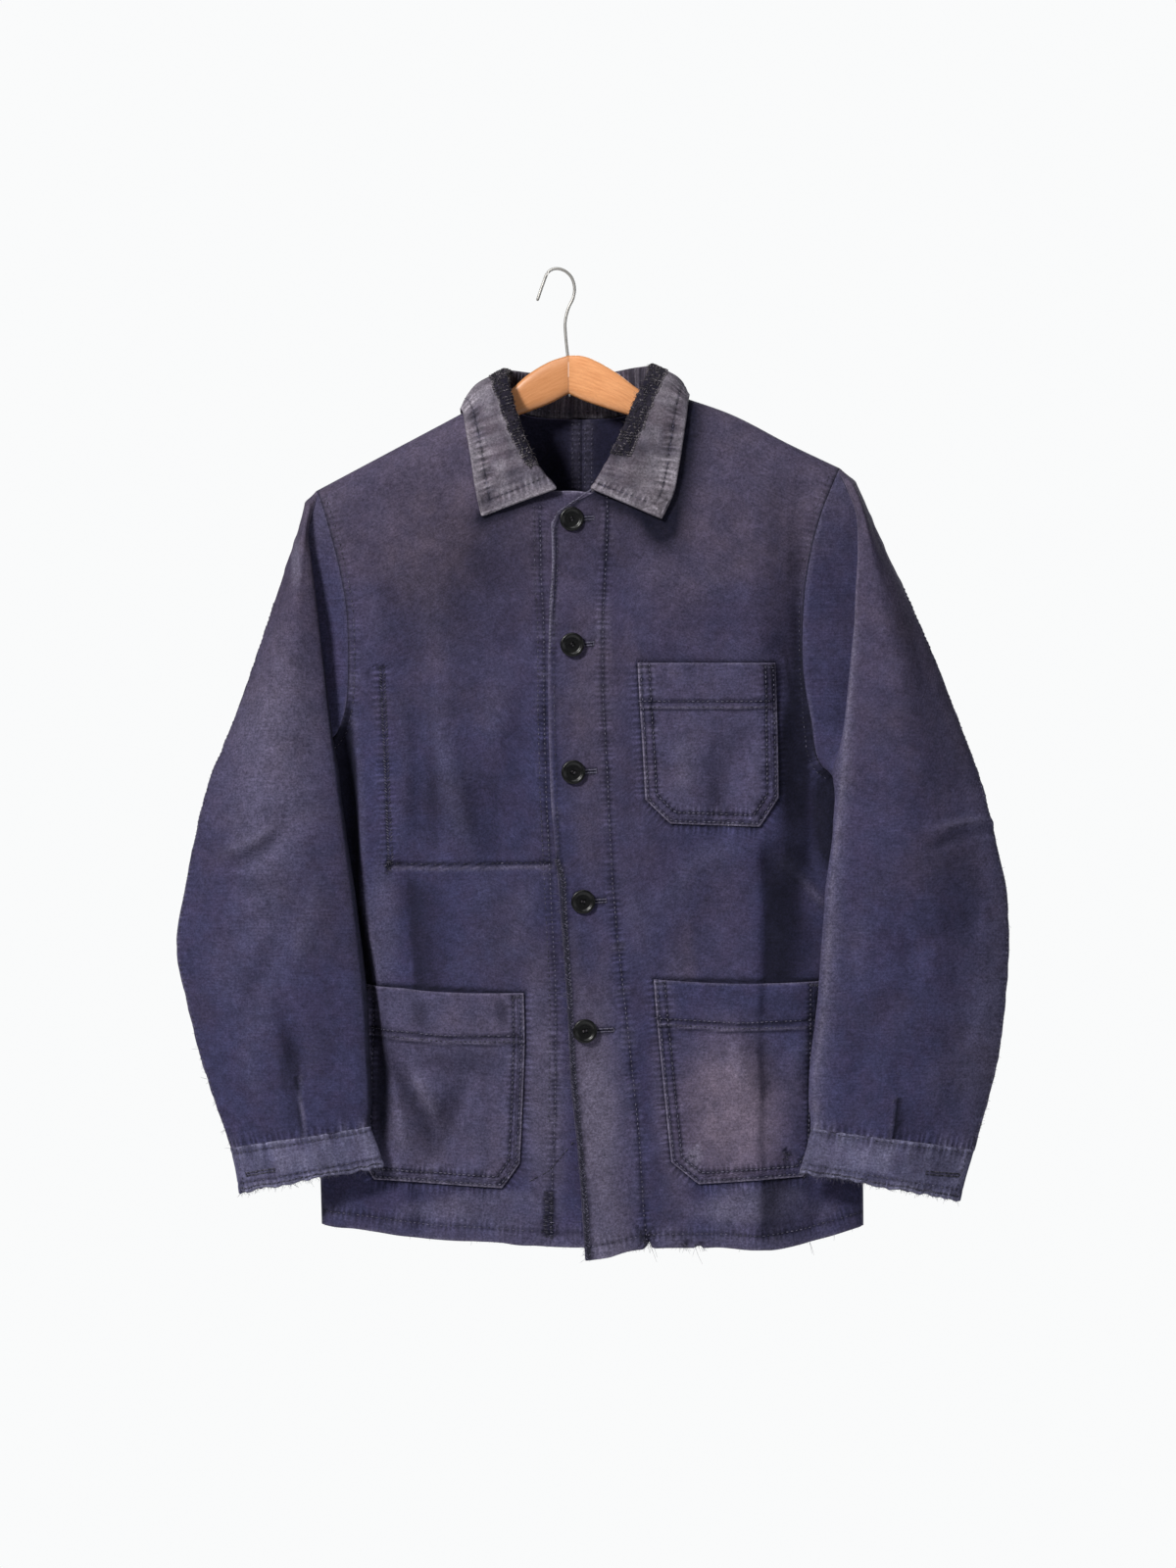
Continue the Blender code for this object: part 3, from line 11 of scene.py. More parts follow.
import bmesh
import bpy
import numpy as np
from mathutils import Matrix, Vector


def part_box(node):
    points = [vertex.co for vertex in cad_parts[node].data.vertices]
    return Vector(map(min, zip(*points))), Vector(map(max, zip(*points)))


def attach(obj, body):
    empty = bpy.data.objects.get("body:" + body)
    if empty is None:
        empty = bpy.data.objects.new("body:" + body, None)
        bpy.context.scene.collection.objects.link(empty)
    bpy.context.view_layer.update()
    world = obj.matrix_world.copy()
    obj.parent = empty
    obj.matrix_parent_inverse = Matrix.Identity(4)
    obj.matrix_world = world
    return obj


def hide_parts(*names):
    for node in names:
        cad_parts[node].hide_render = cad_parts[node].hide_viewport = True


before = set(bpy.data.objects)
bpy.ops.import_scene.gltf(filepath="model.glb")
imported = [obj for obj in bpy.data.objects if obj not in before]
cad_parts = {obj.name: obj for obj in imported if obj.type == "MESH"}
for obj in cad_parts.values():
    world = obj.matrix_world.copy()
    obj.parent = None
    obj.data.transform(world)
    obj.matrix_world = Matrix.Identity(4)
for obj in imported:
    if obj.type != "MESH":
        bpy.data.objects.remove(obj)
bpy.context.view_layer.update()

# Cloth
CLOTH = 0.0018           # wall of the body, sleeves and pockets
COLLAR_CLOTH = 0.0022    # wall of the collar
CUFF_CLOTH = 0.0026      # wall of the cuffs
SEAM_HALF = 0.00015      # half of the gap left at a seam
LAP = 0.0028             # how far the top front stands in front of the under front
LAP_REACH = 0.100        # half width in which it does so
LAP_TOP_Z = -0.120       # height at which the fronts part
LAP_BLEND = 0.060

# Body tube
SIDE_POWER = 2.2         # roundness of the tube's section across
SHOULDER_ROLL = 0.028    # drop below the shoulder line in which the cloth turns over the hanger
SWEEP = 0.012            # how far the shoulder ends stand forward of the middle
SWEEP_HALF_SPAN = 0.220
SHOULDER_Z = -0.190
HEM_Z = -0.850
HEM_SWEEP = 0.35         # share of the sweep that is left at the hem
CENTRE_BACK_X = 0.0238
FOLD_FULL_DEPTH = 0.020  # half depth of the tube from which a fold has its whole depth
NORMAL_STEP = 0.0004     # distance over which a slope of the tube is taken

# Shoulder line, seen from the front: x and z
SHOULDER_LINE = (
    (-0.2066, -0.1930),
    (-0.1400, -0.1572),
    (-0.0782, -0.1241),
    (-0.0459, -0.1063),
    (0.0200, -0.1010),
    (0.0833, -0.1020),
    (0.1148, -0.1125),
    (0.1530, -0.1262),
    (0.2049, -0.1530),
    (0.2474, -0.1734),
)
RIGHT_NECK_X = -0.0520
LEFT_NECK_X = 0.0880
RIGHT_TIP_X = -0.2066
LEFT_TIP_X = 0.2474

# Body tube: height, x of its two sides, half depth to the front and to the back
BODY_SECTIONS = (
    (-0.090, -0.250, 0.292, 0.020, 0.024),
    (-0.150, -0.248, 0.290, 0.024, 0.028),
    (-0.210, -0.240, 0.284, 0.027, 0.029),
    (-0.300, -0.224, 0.272, 0.030, 0.030),
    (-0.380, -0.211, 0.265, 0.031, 0.030),
    (-0.450, -0.206, 0.262, 0.032, 0.030),
    (-0.600, -0.205, 0.264, 0.031, 0.029),
    (-0.750, -0.204, 0.267, 0.030, 0.028),
    (-0.860, -0.201, 0.268, 0.029, 0.027),
)

# Largest folds of the fronts and back: face, x and z of both ends, half width, depth (+ is a trough)
FOLDS = (
    ("front", -0.120, -0.345, -0.108, -0.500, 0.020, 0.0055),
    ("front", -0.088, -0.395, -0.048, -0.515, 0.017, 0.0050),
    ("front", -0.098, -0.300, -0.080, -0.460, 0.018, -0.0030),
    ("front", -0.131, -0.520, -0.129, -0.610, 0.013, 0.0030),
    ("front", -0.141, -0.700, -0.105, -0.760, 0.016, 0.0040),
    ("front", -0.105, -0.765, -0.080, -0.700, 0.014, 0.0035),
    ("front", -0.117, -0.790, -0.114, -0.850, 0.014, 0.0045),
    ("front", 0.205, -0.200, 0.196, -0.370, 0.016, 0.0060),
    ("front", 0.146, -0.420, 0.140, -0.500, 0.018, 0.0035),
    ("front", 0.190, -0.515, 0.232, -0.585, 0.015, 0.0050),
    ("front", 0.172, -0.655, 0.190, -0.715, 0.016, 0.0035),
    ("front", 0.178, -0.775, 0.180, -0.850, 0.015, -0.0035),
    ("front", 0.075, -0.560, 0.090, -0.850, 0.024, 0.0030),
    ("front", 0.235, -0.790, 0.232, -0.850, 0.014, 0.0030),
    ("back", -0.120, -0.260, -0.070, -0.560, 0.026, 0.0060),
    ("back", -0.030, -0.330, -0.010, -0.850, 0.028, 0.0045),
    ("back", 0.075, -0.300, 0.060, -0.620, 0.024, 0.0050),
    ("back", 0.165, -0.250, 0.130, -0.560, 0.026, 0.0060),
    ("back", 0.120, -0.620, 0.150, -0.850, 0.026, 0.0055),
    ("back", -0.110, -0.640, -0.135, -0.850, 0.026, 0.0050),
)

# Neck edges and front edges, x and z, from the front corner up to the neck point or down to the hem
RIGHT_NECK = (
    (0.0400, -0.1965),
    (0.0180, -0.1935),
    (-0.0030, -0.1930),
    (-0.0140, -0.1850),
    (-0.0265, -0.1700),
    (-0.0365, -0.1500),
    (-0.0438, -0.1280),
    (-0.0520, -0.1092),
)
LEFT_NECK = (
    (-0.0026, -0.2200),
    (0.0119, -0.2060),
    (0.0345, -0.1945),
    (0.0450, -0.1840),
    (0.0560, -0.1700),
    (0.0683, -0.1500),
    (0.0775, -0.1280),
    (0.0880, -0.1033),
)
RIGHT_EDGE = (
    (0.0400, -0.1965),
    (0.0405, -0.2600),
    (0.0390, -0.4000),
    (0.0450, -0.5300),
    (0.0520, -0.7000),
    (0.0580, -0.8475),
)
LEFT_EDGE = (
    (-0.0026, -0.2200),
    (-0.0020, -0.2550),
    (-0.0048, -0.3200),
    (-0.0046, -0.4000),
    (-0.0020, -0.4700),
    (0.0030, -0.5250),
    (0.0070, -0.5750),
    (0.0115, -0.6400),
    (0.0150, -0.7100),
    (0.0205, -0.7650),
    (0.0272, -0.8594),
)
RIGHT_HEM = (
    (0.0580, -0.8475),
    (0.0026, -0.8483),
    (-0.0570, -0.8441),
    (-0.1105, -0.8415),
    (-0.1640, -0.8339),
    (-0.2015, -0.8296),
)
LEFT_HEM = (
    (0.0272, -0.8594),
    (0.0500, -0.8560),
    (0.0808, -0.8492),
    (0.1437, -0.8492),
    (0.1794, -0.8517),
    (0.2151, -0.8458),
    (0.2678, -0.8305),
)
BACK_NECK_Z = -0.1292
BACK_NECK_SHAPE = 4      # power of the back neck edge's rise from the centre back
BACK_HEM_Z = -0.8450

# Sleeves from the armhole to the armpit. seam is the front armhole seam, back_x the back one at the same
# height, fold the front fold, out the outer edge. rise is the fold's height over the seam, dip the depth
# of the hollow between them, and tuck is how far outside the fold that hollow lies. back_y is behind the
# middle plane.
CAP_COLUMNS = (
    "seam_x", "seam_z", "back_x", "fold_x", "fold_z", "rise", "dip", "tuck", "out_x", "out_z", "back_y",
)
RIGHT_CAP = (
    (-0.2040, -0.1990, -0.2042, 0, 0, 0, 0, 0, 0, 0, 0),
    (-0.1992, -0.2140, -0.2000, -0.2110, -0.2120, 0.0010, 0.0000, -0.002, -0.2166, -0.2030, 0.012),
    (-0.1940, -0.2320, -0.1960, -0.2142, -0.2310, 0.0050, 0.0020, 0.000, -0.2216, -0.2230, 0.016),
    (-0.1866, -0.2620, -0.1915, -0.2106, -0.2620, 0.0095, 0.0050, 0.002, -0.2335, -0.2600, 0.020),
    (-0.1803, -0.3018, -0.1880, -0.2057, -0.3018, 0.0125, 0.0060, 0.003, -0.2465, -0.3000, 0.023),
    (-0.1794, -0.3528, -0.1880, -0.2006, -0.3540, 0.0140, 0.0060, 0.003, -0.2645, -0.3530, 0.025),
    (-0.1822, -0.3840, -0.1905, -0.1972, -0.3880, 0.0150, 0.0025, 0.003, -0.2768, -0.3870, 0.025),
    (-0.1915, -0.4070, -0.1965, -0.1944, -0.4150, 0.0180, -0.0050, 0.004, -0.2885, -0.4150, 0.024),
    (-0.2052, -0.4200, -0.2052, -0.1915, -0.4390, 0.0000, 0.0000, 0.000, -0.2980, -0.4390, 0.022),
)
LEFT_CAP = (
    (0.2440, -0.1805, 0.2442, 0, 0, 0, 0, 0, 0, 0, 0),
    (0.2388, -0.1930, 0.2400, 0.2540, -0.1905, 0.0010, 0.0000, -0.002, 0.2612, -0.1850, 0.012),
    (0.2312, -0.2130, 0.2345, 0.2618, -0.2130, 0.0050, 0.0020, 0.000, 0.2715, -0.2080, 0.016),
    (0.2228, -0.2450, 0.2290, 0.2630, -0.2450, 0.0090, 0.0030, 0.003, 0.2882, -0.2470, 0.020),
    (0.2165, -0.2880, 0.2255, 0.2606, -0.2880, 0.0110, 0.0030, 0.004, 0.3076, -0.2880, 0.023),
    (0.2158, -0.3430, 0.2260, 0.2580, -0.3440, 0.0130, 0.0030, 0.004, 0.3317, -0.3430, 0.025),
    (0.2228, -0.3920, 0.2310, 0.2534, -0.3980, 0.0150, 0.0030, 0.005, 0.3530, -0.3980, 0.025),
    (0.2310, -0.4300, 0.2400, 0.2500, -0.4380, 0.0190, -0.0100, -0.009, 0.3680, -0.4380, 0.024),
    (0.2600, -0.4470, 0.2600, 0.2477, -0.4640, 0.0000, 0.0000, 0.000, 0.3755, -0.4650, 0.022),
)
CAPS = {"right": RIGHT_CAP, "left": LEFT_CAP}
OUTWARD = {"right": -1.0, "left": 1.0}  # way from the body to a side, along x
CAP_FRONT_BULGE = 0.009  # front of the sleeve head in front of its fold
INNER_REACH = 0.053      # width of sleeve over which its back turns in to the back armhole seam
ARMPIT_SPACE = 0.0042    # sleeve seam outside the top of the side seam
ARMPIT_LIFT = 0.0020
ARMPIT_REACH = 0.030     # length of seam over which the sleeve leaves the body's surface
INSIDE_X = 0.004         # from the seam to a point inside the panel, along x and down
INSIDE_Z = 0.001
BULGE_ROWS = 4           # sections below the tip over which the head's bulge grows
INNER_SHARE = 0.25       # where the back near the body lies between the fold and the outer edge

# Sleeves below the armpit: fold and outer edge; the last two rows are the top and the hem of the cuff
ARM_COLUMNS = ("fold_x", "fold_z", "out_x", "out_z")
RIGHT_ARM = (
    (-0.1862, -0.4780, -0.3088, -0.4800),
    (-0.1780, -0.5400, -0.3208, -0.5400),
    (-0.1726, -0.5880, -0.3273, -0.5880),
    (-0.1683, -0.6310, -0.3200, -0.6310),
    (-0.1650, -0.6880, -0.3055, -0.6890),
    (-0.1632, -0.7230, -0.2925, -0.7280),
    (-0.1632, -0.7445, -0.2805, -0.7633),
    (-0.1522, -0.7778, -0.2729, -0.8007),
)
LEFT_ARM = (
    (0.2440, -0.5000, 0.3830, -0.4980),
    (0.2398, -0.5415, 0.3915, -0.5400),
    (0.2370, -0.5870, 0.3936, -0.5870),
    (0.2340, -0.6300, 0.3915, -0.6250),
    (0.2277, -0.6850, 0.3850, -0.6800),
    (0.2253, -0.7200, 0.3745, -0.7250),
    (0.2270, -0.7463, 0.3630, -0.7650),
    (0.2176, -0.7837, 0.3510, -0.8070),
)
# Depths (y) of the same rows: fold, front, outer edge, back, back near the body, and the underarm seam's
# distance outside the fold and behind it
ARMPIT_DEPTHS = (-0.0400, -0.0500, -0.0150, 0.0100, 0.0050, 0.0, 0.0)
ARM_DEPTHS = (
    (-0.0420, -0.0530, -0.0180, 0.0060, -0.0030, 0.0190, 0.0200),
    (-0.0430, -0.0550, -0.0200, 0.0030, -0.0080, 0.0110, 0.0110),
    (-0.0430, -0.0550, -0.0210, 0.0010, -0.0110, 0.0100, 0.0095),
    (-0.0430, -0.0550, -0.0210, 0.0000, -0.0120, 0.0100, 0.0090),
    (-0.0430, -0.0540, -0.0220, -0.0020, -0.0130, 0.0100, 0.0085),
    (-0.0430, -0.0530, -0.0230, -0.0040, -0.0150, 0.0100, 0.0080),
    (-0.0430, -0.0510, -0.0260, -0.0090, -0.0180, 0.0100, 0.0075),
    (-0.0430, -0.0500, -0.0270, -0.0110, -0.0200, 0.0100, 0.0075),
)
# Folds of the sleeves, on their front: sleeve, x and z of both ends, half width, depth
SLEEVE_FOLDS = (
    ("right", -0.290, -0.520, -0.230, -0.480, 0.014, 0.0045),
    ("right", -0.310, -0.600, -0.235, -0.560, 0.013, 0.0050),
    ("right", -0.250, -0.620, -0.215, -0.700, 0.013, 0.0035),
    ("right", -0.300, -0.700, -0.270, -0.680, 0.012, 0.0035),
    ("left", 0.385, -0.485, 0.320, -0.478, 0.013, 0.0050),
    ("left", 0.385, -0.560, 0.310, -0.590, 0.014, 0.0045),
    ("left", 0.290, -0.640, 0.262, -0.720, 0.013, 0.0035),
    ("left", 0.370, -0.660, 0.320, -0.690, 0.013, 0.0035),
)
ACROSS = (10, 12, 20, 14, 12, 12, 12, 8, 12)  # columns of the mesh between the section's points
HIND_POINT = 5                     # point of the section where the top sleeve meets the under sleeve
CAP_ROWS = 16                      # rows of the mesh between cap sections
TIP_ROUND = 0.0015                 # roundness of the first of them at the shoulder tip
ARM_ROWS = 14                      # rows between arm sections
CUFF_ROWS = 16
TIP_ROWS = 3                       # rows between the shoulder tip and the first cap section
SIDE_ROWS = 172                    # rows of the body between armpit and hem
NECK_CROWDING = 1.2                # how much the columns crowd towards the neck point
FRONT_COLUMNS = (38, 50)           # columns along the neck edge and along the shoulder
BACK_COLUMNS = (16, 25)

# Collar, from its right front end round the back to its left front end: the fold, the outer edge with the
# face of the body that it lies on and its lift off that face, how far the leaf puffs out, and x of the
# neck seam
COLLAR_COLUMNS = (
    "fold_x", "fold_y", "fold_z", "edge_x", "edge_z", "face", "lift", "puff", "neck_x",
)
COLLAR = (
    (0.0005, -0.0345, -0.1900, -0.0629, -0.2142, "front", 0.0040, 0.0005, -0.0030),
    (-0.0085, -0.0350, -0.1795, -0.0655, -0.2030, "front", 0.0040, 0.0010, -0.0140),
    (-0.0179, -0.0350, -0.1666, -0.0690, -0.1850, "front", 0.0040, 0.0015, -0.0265),
    (-0.0270, -0.0325, -0.1480, -0.0724, -0.1620, "front", 0.0040, 0.0020, -0.0365),
    (-0.0345, -0.0270, -0.1250, -0.0757, -0.1420, "front", 0.0038, 0.0035, -0.0438),
    (-0.0410, -0.0160, -0.0990, -0.0775, -0.1275, "front", 0.0036, 0.0060, -0.0478),
    (-0.0435, 0.0010, -0.0890, -0.0795, -0.1248, "back", 0.0030, 0.0080, -0.0520),
    (-0.0400, 0.0170, -0.0880, -0.0765, -0.1350, "back", 0.0034, 0.0060, -0.0450),
    (-0.0240, 0.0300, -0.0895, -0.0620, -0.1540, "back", 0.0038, 0.0040, -0.0330),
    (-0.0030, 0.0360, -0.0915, -0.0260, -0.1650, "back", 0.0040, 0.0030, -0.0080),
    (0.0210, 0.0370, -0.0930, 0.0210, -0.1660, "back", 0.0040, 0.0030, 0.0210),
    (0.0450, 0.0355, -0.0900, 0.0680, -0.1610, "back", 0.0040, 0.0030, 0.0480),
    (0.0660, 0.0300, -0.0855, 0.0980, -0.1470, "back", 0.0038, 0.0040, 0.0690),
    (0.0815, 0.0170, -0.0840, 0.1110, -0.1270, "back", 0.0034, 0.0060, 0.0815),
    (0.0840, 0.0010, -0.0850, 0.1150, -0.1130, "back", 0.0030, 0.0070, 0.0880),
    (0.0790, -0.0150, -0.0980, 0.1142, -0.1180, "front", 0.0036, 0.0050, 0.0835),
    (0.0690, -0.0265, -0.1190, 0.1130, -0.1320, "front", 0.0038, 0.0035, 0.0775),
    (0.0585, -0.0330, -0.1450, 0.1105, -0.1500, "front", 0.0040, 0.0020, 0.0683),
    (0.0470, -0.0360, -0.1660, 0.1065, -0.1750, "front", 0.0040, 0.0015, 0.0560),
    (0.0400, -0.0370, -0.1790, 0.1020, -0.1960, "front", 0.0040, 0.0010, 0.0450),
    (0.0323, -0.0370, -0.1900, 0.0925, -0.2165, "front", 0.0040, 0.0005, 0.0345),
)
COLLAR_AXIS = (0.020, 0.0, -0.110)   # a point inside the neck
COLLAR_TURN = 0.0042                 # how far from the fold the turned cloth is drawn through a point
COLLAR_GAP = 0.0010                  # between the neck seam of the body and the stand
COLLAR_ROWS = 10
COLLAR_ACROSS = (6, 10, 6, 6, 16, 16)

# Patch pockets, top edge to bottom edge: z at the front end, x there, z at the side end, x there
POCKET_CHEST = (
    (-0.3426, 0.0723, -0.3426, 0.1913),
    (-0.3817, 0.0745, -0.3817, 0.1925),
    (-0.4210, 0.0770, -0.4210, 0.1935),
    (-0.4607, 0.0791, -0.4590, 0.1940),
    (-0.4811, 0.1003, -0.4837, 0.1777),
)
POCKET_LOWER_LEFT = (
    (-0.6171, 0.0867, -0.6188, 0.2304),
    (-0.6562, 0.0900, -0.6545, 0.2304),
    (-0.7166, 0.0961, -0.7120, 0.2300),
    (-0.7752, 0.1020, -0.7680, 0.2285),
    (-0.7939, 0.1250, -0.7875, 0.2150),
)
POCKET_LOWER_RIGHT = (
    (-0.6290, -0.0272, -0.6214, -0.1668),
    (-0.6724, -0.0264, -0.6650, -0.1672),
    (-0.7200, -0.0281, -0.7150, -0.1680),
    (-0.7761, -0.0306, -0.7700, -0.1680),
    (-0.7973, -0.0459, -0.7897, -0.1564),
)

# Buttons
BUTTON_RADIUS = 0.0105
BUTTON_THICK = 0.0036
BUTTON_GAP = 0.0007      # thread between button and cloth
FRONT_BUTTONS = (
    (0.0149, -0.2176), (0.0153, -0.3264), (0.0162, -0.4369), (0.0247, -0.5491), (0.0264, -0.6613),
)
CUFF_BUTTON_RADIUS = 0.0075

# Hanger: x, top z, bottom z, half thickness; it follows the sweep of the shoulders
HANGER_GAP = 0.00015
HANGER_RIGHT = (
    (0.0119, -0.0740, -0.1075, 0.0062),
    (-0.0055, -0.0799, -0.1165, 0.0062),
    (-0.0238, -0.0910, -0.1235, 0.0062),
    (-0.0394, -0.1050, -0.1300, 0.0061),
    (-0.0600, -0.1205, -0.1440, 0.0060),
    (-0.0950, -0.1390, -0.1610, 0.0058),
    (-0.1350, -0.1600, -0.1815, 0.0055),
    (-0.1700, -0.1790, -0.1995, 0.0052),
    (-0.1900, -0.1900, -0.2080, 0.0048),
    (-0.1975, -0.1975, -0.2070, 0.0034),
)
HANGER_LEFT = (
    (0.0119, -0.0740, -0.1075, 0.0062),
    (0.0240, -0.0745, -0.1130, 0.0062),
    (0.0366, -0.0791, -0.1175, 0.0062),
    (0.0553, -0.0901, -0.1235, 0.0062),
    (0.0740, -0.1040, -0.1290, 0.0061),
    (0.0950, -0.1130, -0.1350, 0.0060),
    (0.1300, -0.1240, -0.1460, 0.0058),
    (0.1700, -0.1400, -0.1610, 0.0055),
    (0.2100, -0.1605, -0.1805, 0.0052),
    (0.2310, -0.1720, -0.1900, 0.0048),
    (0.2390, -0.1800, -0.1890, 0.0034),
)
HANGER_SIDES = 56
HANGER_SQUARE = 3.2      # power of the section's outline, 2 is an ellipse

# Hook: route of the wire's middle, x and z
HOOK_WIRE = 0.0013
HOOK_ROUTE = (
    (0.0112, -0.0737),
    (0.0094, -0.0560),
    (0.0092, -0.0440),
    (0.0118, -0.0330),
    (0.0160, -0.0240),
    (0.0172, -0.0150),
    (0.0145, -0.0060),
    (0.0080, 0.0000),
    (0.0000, 0.0015),
    (-0.0062, -0.0020),
    (-0.0100, -0.0110),
    (-0.0128, -0.0190),
    (-0.0153, -0.0264),
)
HOOK_SPAN = 8            # points of the wire between points of its route


def curve_at(table, values, key=0, column=1):
    """Smooth curve through a table's column, read at values of its key column."""
    rows = np.array([[row[key], row[column]] for row in table], float)
    if rows[0, 0] > rows[-1, 0]:
        rows = rows[::-1]
    xs, ys = rows[:, 0], rows[:, 1]
    slopes = np.gradient(ys, xs)
    at = np.asarray(values, float)
    inside = np.clip(at, xs[0], xs[-1])
    k = np.clip(np.searchsorted(xs, inside, side="right") - 1, 0, len(xs) - 2)
    span = xs[k + 1] - xs[k]
    t = (inside - xs[k]) / span
    value = (
        (2 * t**3 - 3 * t**2 + 1) * ys[k]
        + (t**3 - 2 * t**2 + t) * span * slopes[k]
        + (-2 * t**3 + 3 * t**2) * ys[k + 1]
        + (t**3 - t**2) * span * slopes[k + 1]
    )
    return value + (at - inside) * np.where(at < inside, slopes[0], slopes[-1])


def spline(points, counts):
    """Points along a smooth curve through the first axis of points, with counts[i] steps in each span."""
    points = np.asarray(points, float)
    p = np.concatenate([2 * points[:1] - points[1:2], points, 2 * points[-1:] - points[-2:-1]])
    out = []
    for i, count in enumerate(counts):
        a, b, c, d = p[i], p[i + 1], p[i + 2], p[i + 3]
        for step in range(count):
            t = step / count
            square, cube = 2 * a - 5 * b + 4 * c - d, 3 * b - a - 3 * c + d
            out.append(0.5 * (2 * b + (c - a) * t + square * t**2 + cube * t**3))
    out.append(points[-1])
    return np.array(out)


def lengths(points):
    """Length along a polyline up to each of its points."""
    return np.concatenate([[0.0], np.cumsum(np.linalg.norm(np.diff(points, axis=0), axis=1))])


def read(values, length, where):
    """Rows of values, which lie at length along a line, read where asked."""
    return np.stack([np.interp(where, length, column) for column in np.transpose(values)], axis=1)


def along(points, fractions):
    """Points at fractions of the length of a polyline."""
    points = np.asarray(points, float)
    length = lengths(points)
    return read(points, length, np.asarray(fractions) * length[-1])


def unit(vectors):
    size = np.linalg.norm(vectors, axis=-1, keepdims=True)
    return vectors / np.maximum(size, 1e-12)


def tangents(grid, axis):
    """Unit directions of a grid's lines at its points, each the mean of the two steps that meet there."""
    steps = unit(np.diff(grid, axis=axis))
    first = np.take(steps, [0], axis=axis)
    last = np.take(steps, [-1], axis=axis)
    return unit(np.concatenate([first, steps], axis=axis) + np.concatenate([steps, last], axis=axis))


def smooth(t):
    """Soft step from 0 at t = 0 to 1 at t = 1."""
    t = np.clip(t, 0.0, 1.0)
    return t * t * (3 - 2 * t)


def bell(distance, width):
    """Soft bump: 1 at distance 0 and a third at one width."""
    return np.exp(-((distance / width) ** 2))


def fold_depth(table, face, x, z):
    """Sum of the soft troughs and ridges of one face at x, z."""
    total = np.zeros(np.shape(x))
    for name, x0, z0, x1, z1, width, depth in table:
        if name != face:
            continue
        run = np.array([x1 - x0, z1 - z0])
        length = np.hypot(*run)
        share = ((x - x0) * run[0] + (z - z0) * run[1]) / length**2
        near = np.clip(share, 0.0, 1.0)
        away = np.hypot(x - x0 - near * run[0], z - z0 - near * run[1])
        total = total + depth * bell(away, width)
    return total


def middle_plane(x, z):
    """y of the plane between front and back, which sweeps forward to the sides."""
    x = np.asarray(x, float)
    z = np.asarray(z, float)
    down = np.clip((SHOULDER_Z - z) / (SHOULDER_Z - HEM_Z), 0.0, 1.0)
    share = 1.0 - (1.0 - HEM_SWEEP) * down
    return -SWEEP * ((x - CENTRE_BACK_X) / SWEEP_HALF_SPAN) ** 2 * share


def body_extent(face, x, z):
    """Square of the half depth of the body tube at x, z: nothing at its sides and at the shoulder line."""
    right = curve_at(BODY_SECTIONS, z, 0, 1)
    left = curve_at(BODY_SECTIONS, z, 0, 2)
    half_depth = curve_at(BODY_SECTIONS, z, 0, 3 if face == "front" else 4)
    u = (2 * x - right - left) / (left - right)
    below = curve_at(SHOULDER_LINE, x) - z
    roll = np.clip(below / SHOULDER_ROLL, -1.0, 1.0)
    return half_depth**2 * (1 - np.abs(u) ** SIDE_POWER) * (1 - (1 - roll) ** 2)


def body_surface(face, x, z, out=0.0):
    """Point on the middle of the front's or back's wall, moved out along its normal, and that normal."""
    x = np.asarray(x, float)
    z = np.asarray(z, float)
    side = -1.0 if face == "front" else 1.0
    extent = np.maximum(body_extent(face, x, z), 0.0)
    step = NORMAL_STEP
    half = np.sqrt(extent)

    def shift(xs, zs):
        fade = np.sqrt(np.clip(body_extent(face, xs, zs), 0.0, None)) / FOLD_FULL_DEPTH
        return middle_plane(xs, zs) - side * fold_depth(FOLDS, face, xs, zs) * np.clip(fade, 0.0, 1.0)

    y = shift(x, z) + side * half
    extent_x = (body_extent(face, x + step, z) - body_extent(face, x - step, z)) / (2 * step)
    extent_z = (body_extent(face, x, z + step) - body_extent(face, x, z - step)) / (2 * step)
    shift_x = (shift(x + step, z) - shift(x - step, z)) / (2 * step)
    shift_z = (shift(x, z + step) - shift(x, z - step)) / (2 * step)
    half_side = side * half
    slope_x = -2 * half_side * shift_x - extent_x
    slope_z = -2 * half_side * shift_z - extent_z
    normal = unit(np.stack([slope_x, 2 * half_side, slope_z], axis=-1))
    point = np.stack([x, y, z], axis=-1)
    return point + normal * out, normal


def seam_points(cap):
    """Front and back armhole seam from the shoulder tip to the armpit, as polylines of x and z."""
    rows = np.array(cap)
    tip_x = RIGHT_TIP_X if rows[0, 0] < 0 else LEFT_TIP_X
    tip = np.array([[tip_x, curve_at(SHOULDER_LINE, tip_x)]])
    lines = []
    for column in (0, 2):
        seam = np.stack([rows[:, column], rows[:, 1]], axis=1)
        lower = spline(seam, [CAP_ROWS] * (len(seam) - 1))
        upper = np.array([tip[0] + (seam[0] - tip[0]) * share for share in (0.0, 0.12, 0.45)])
        lines.append(np.concatenate([upper, lower]))
    return lines


def patch(top, bottom, start, end, share):
    """Grid of x and z inside four edges; rows go from top to bottom, columns from start to end."""
    u = np.linspace(0.0, 1.0, len(top))[None, :, None]
    v = share[:, None, None]
    rows = (1 - v) * top[None] + v * bottom[None]
    columns = (1 - u) * start[:, None] + u * end[:, None]
    corners = (1 - v) * ((1 - u) * top[0] + u * top[-1]) + v * ((1 - u) * bottom[0] + u * bottom[-1])
    return rows + columns - corners


def side_edge(cap, face, hem_point):
    """Armhole and side seam of a panel, x and z, with the number of armhole points."""
    seam = seam_points(cap)[0 if face == "front" else 1]
    column = 1 if hem_point[0] < 0 else 2
    heights = np.linspace(seam[-1, 1], hem_point[1], SIDE_ROWS + 1)[1:]
    side = np.stack([curve_at(BODY_SECTIONS, heights, 0, column), heights], axis=1)
    return np.concatenate([seam, side]), len(seam)


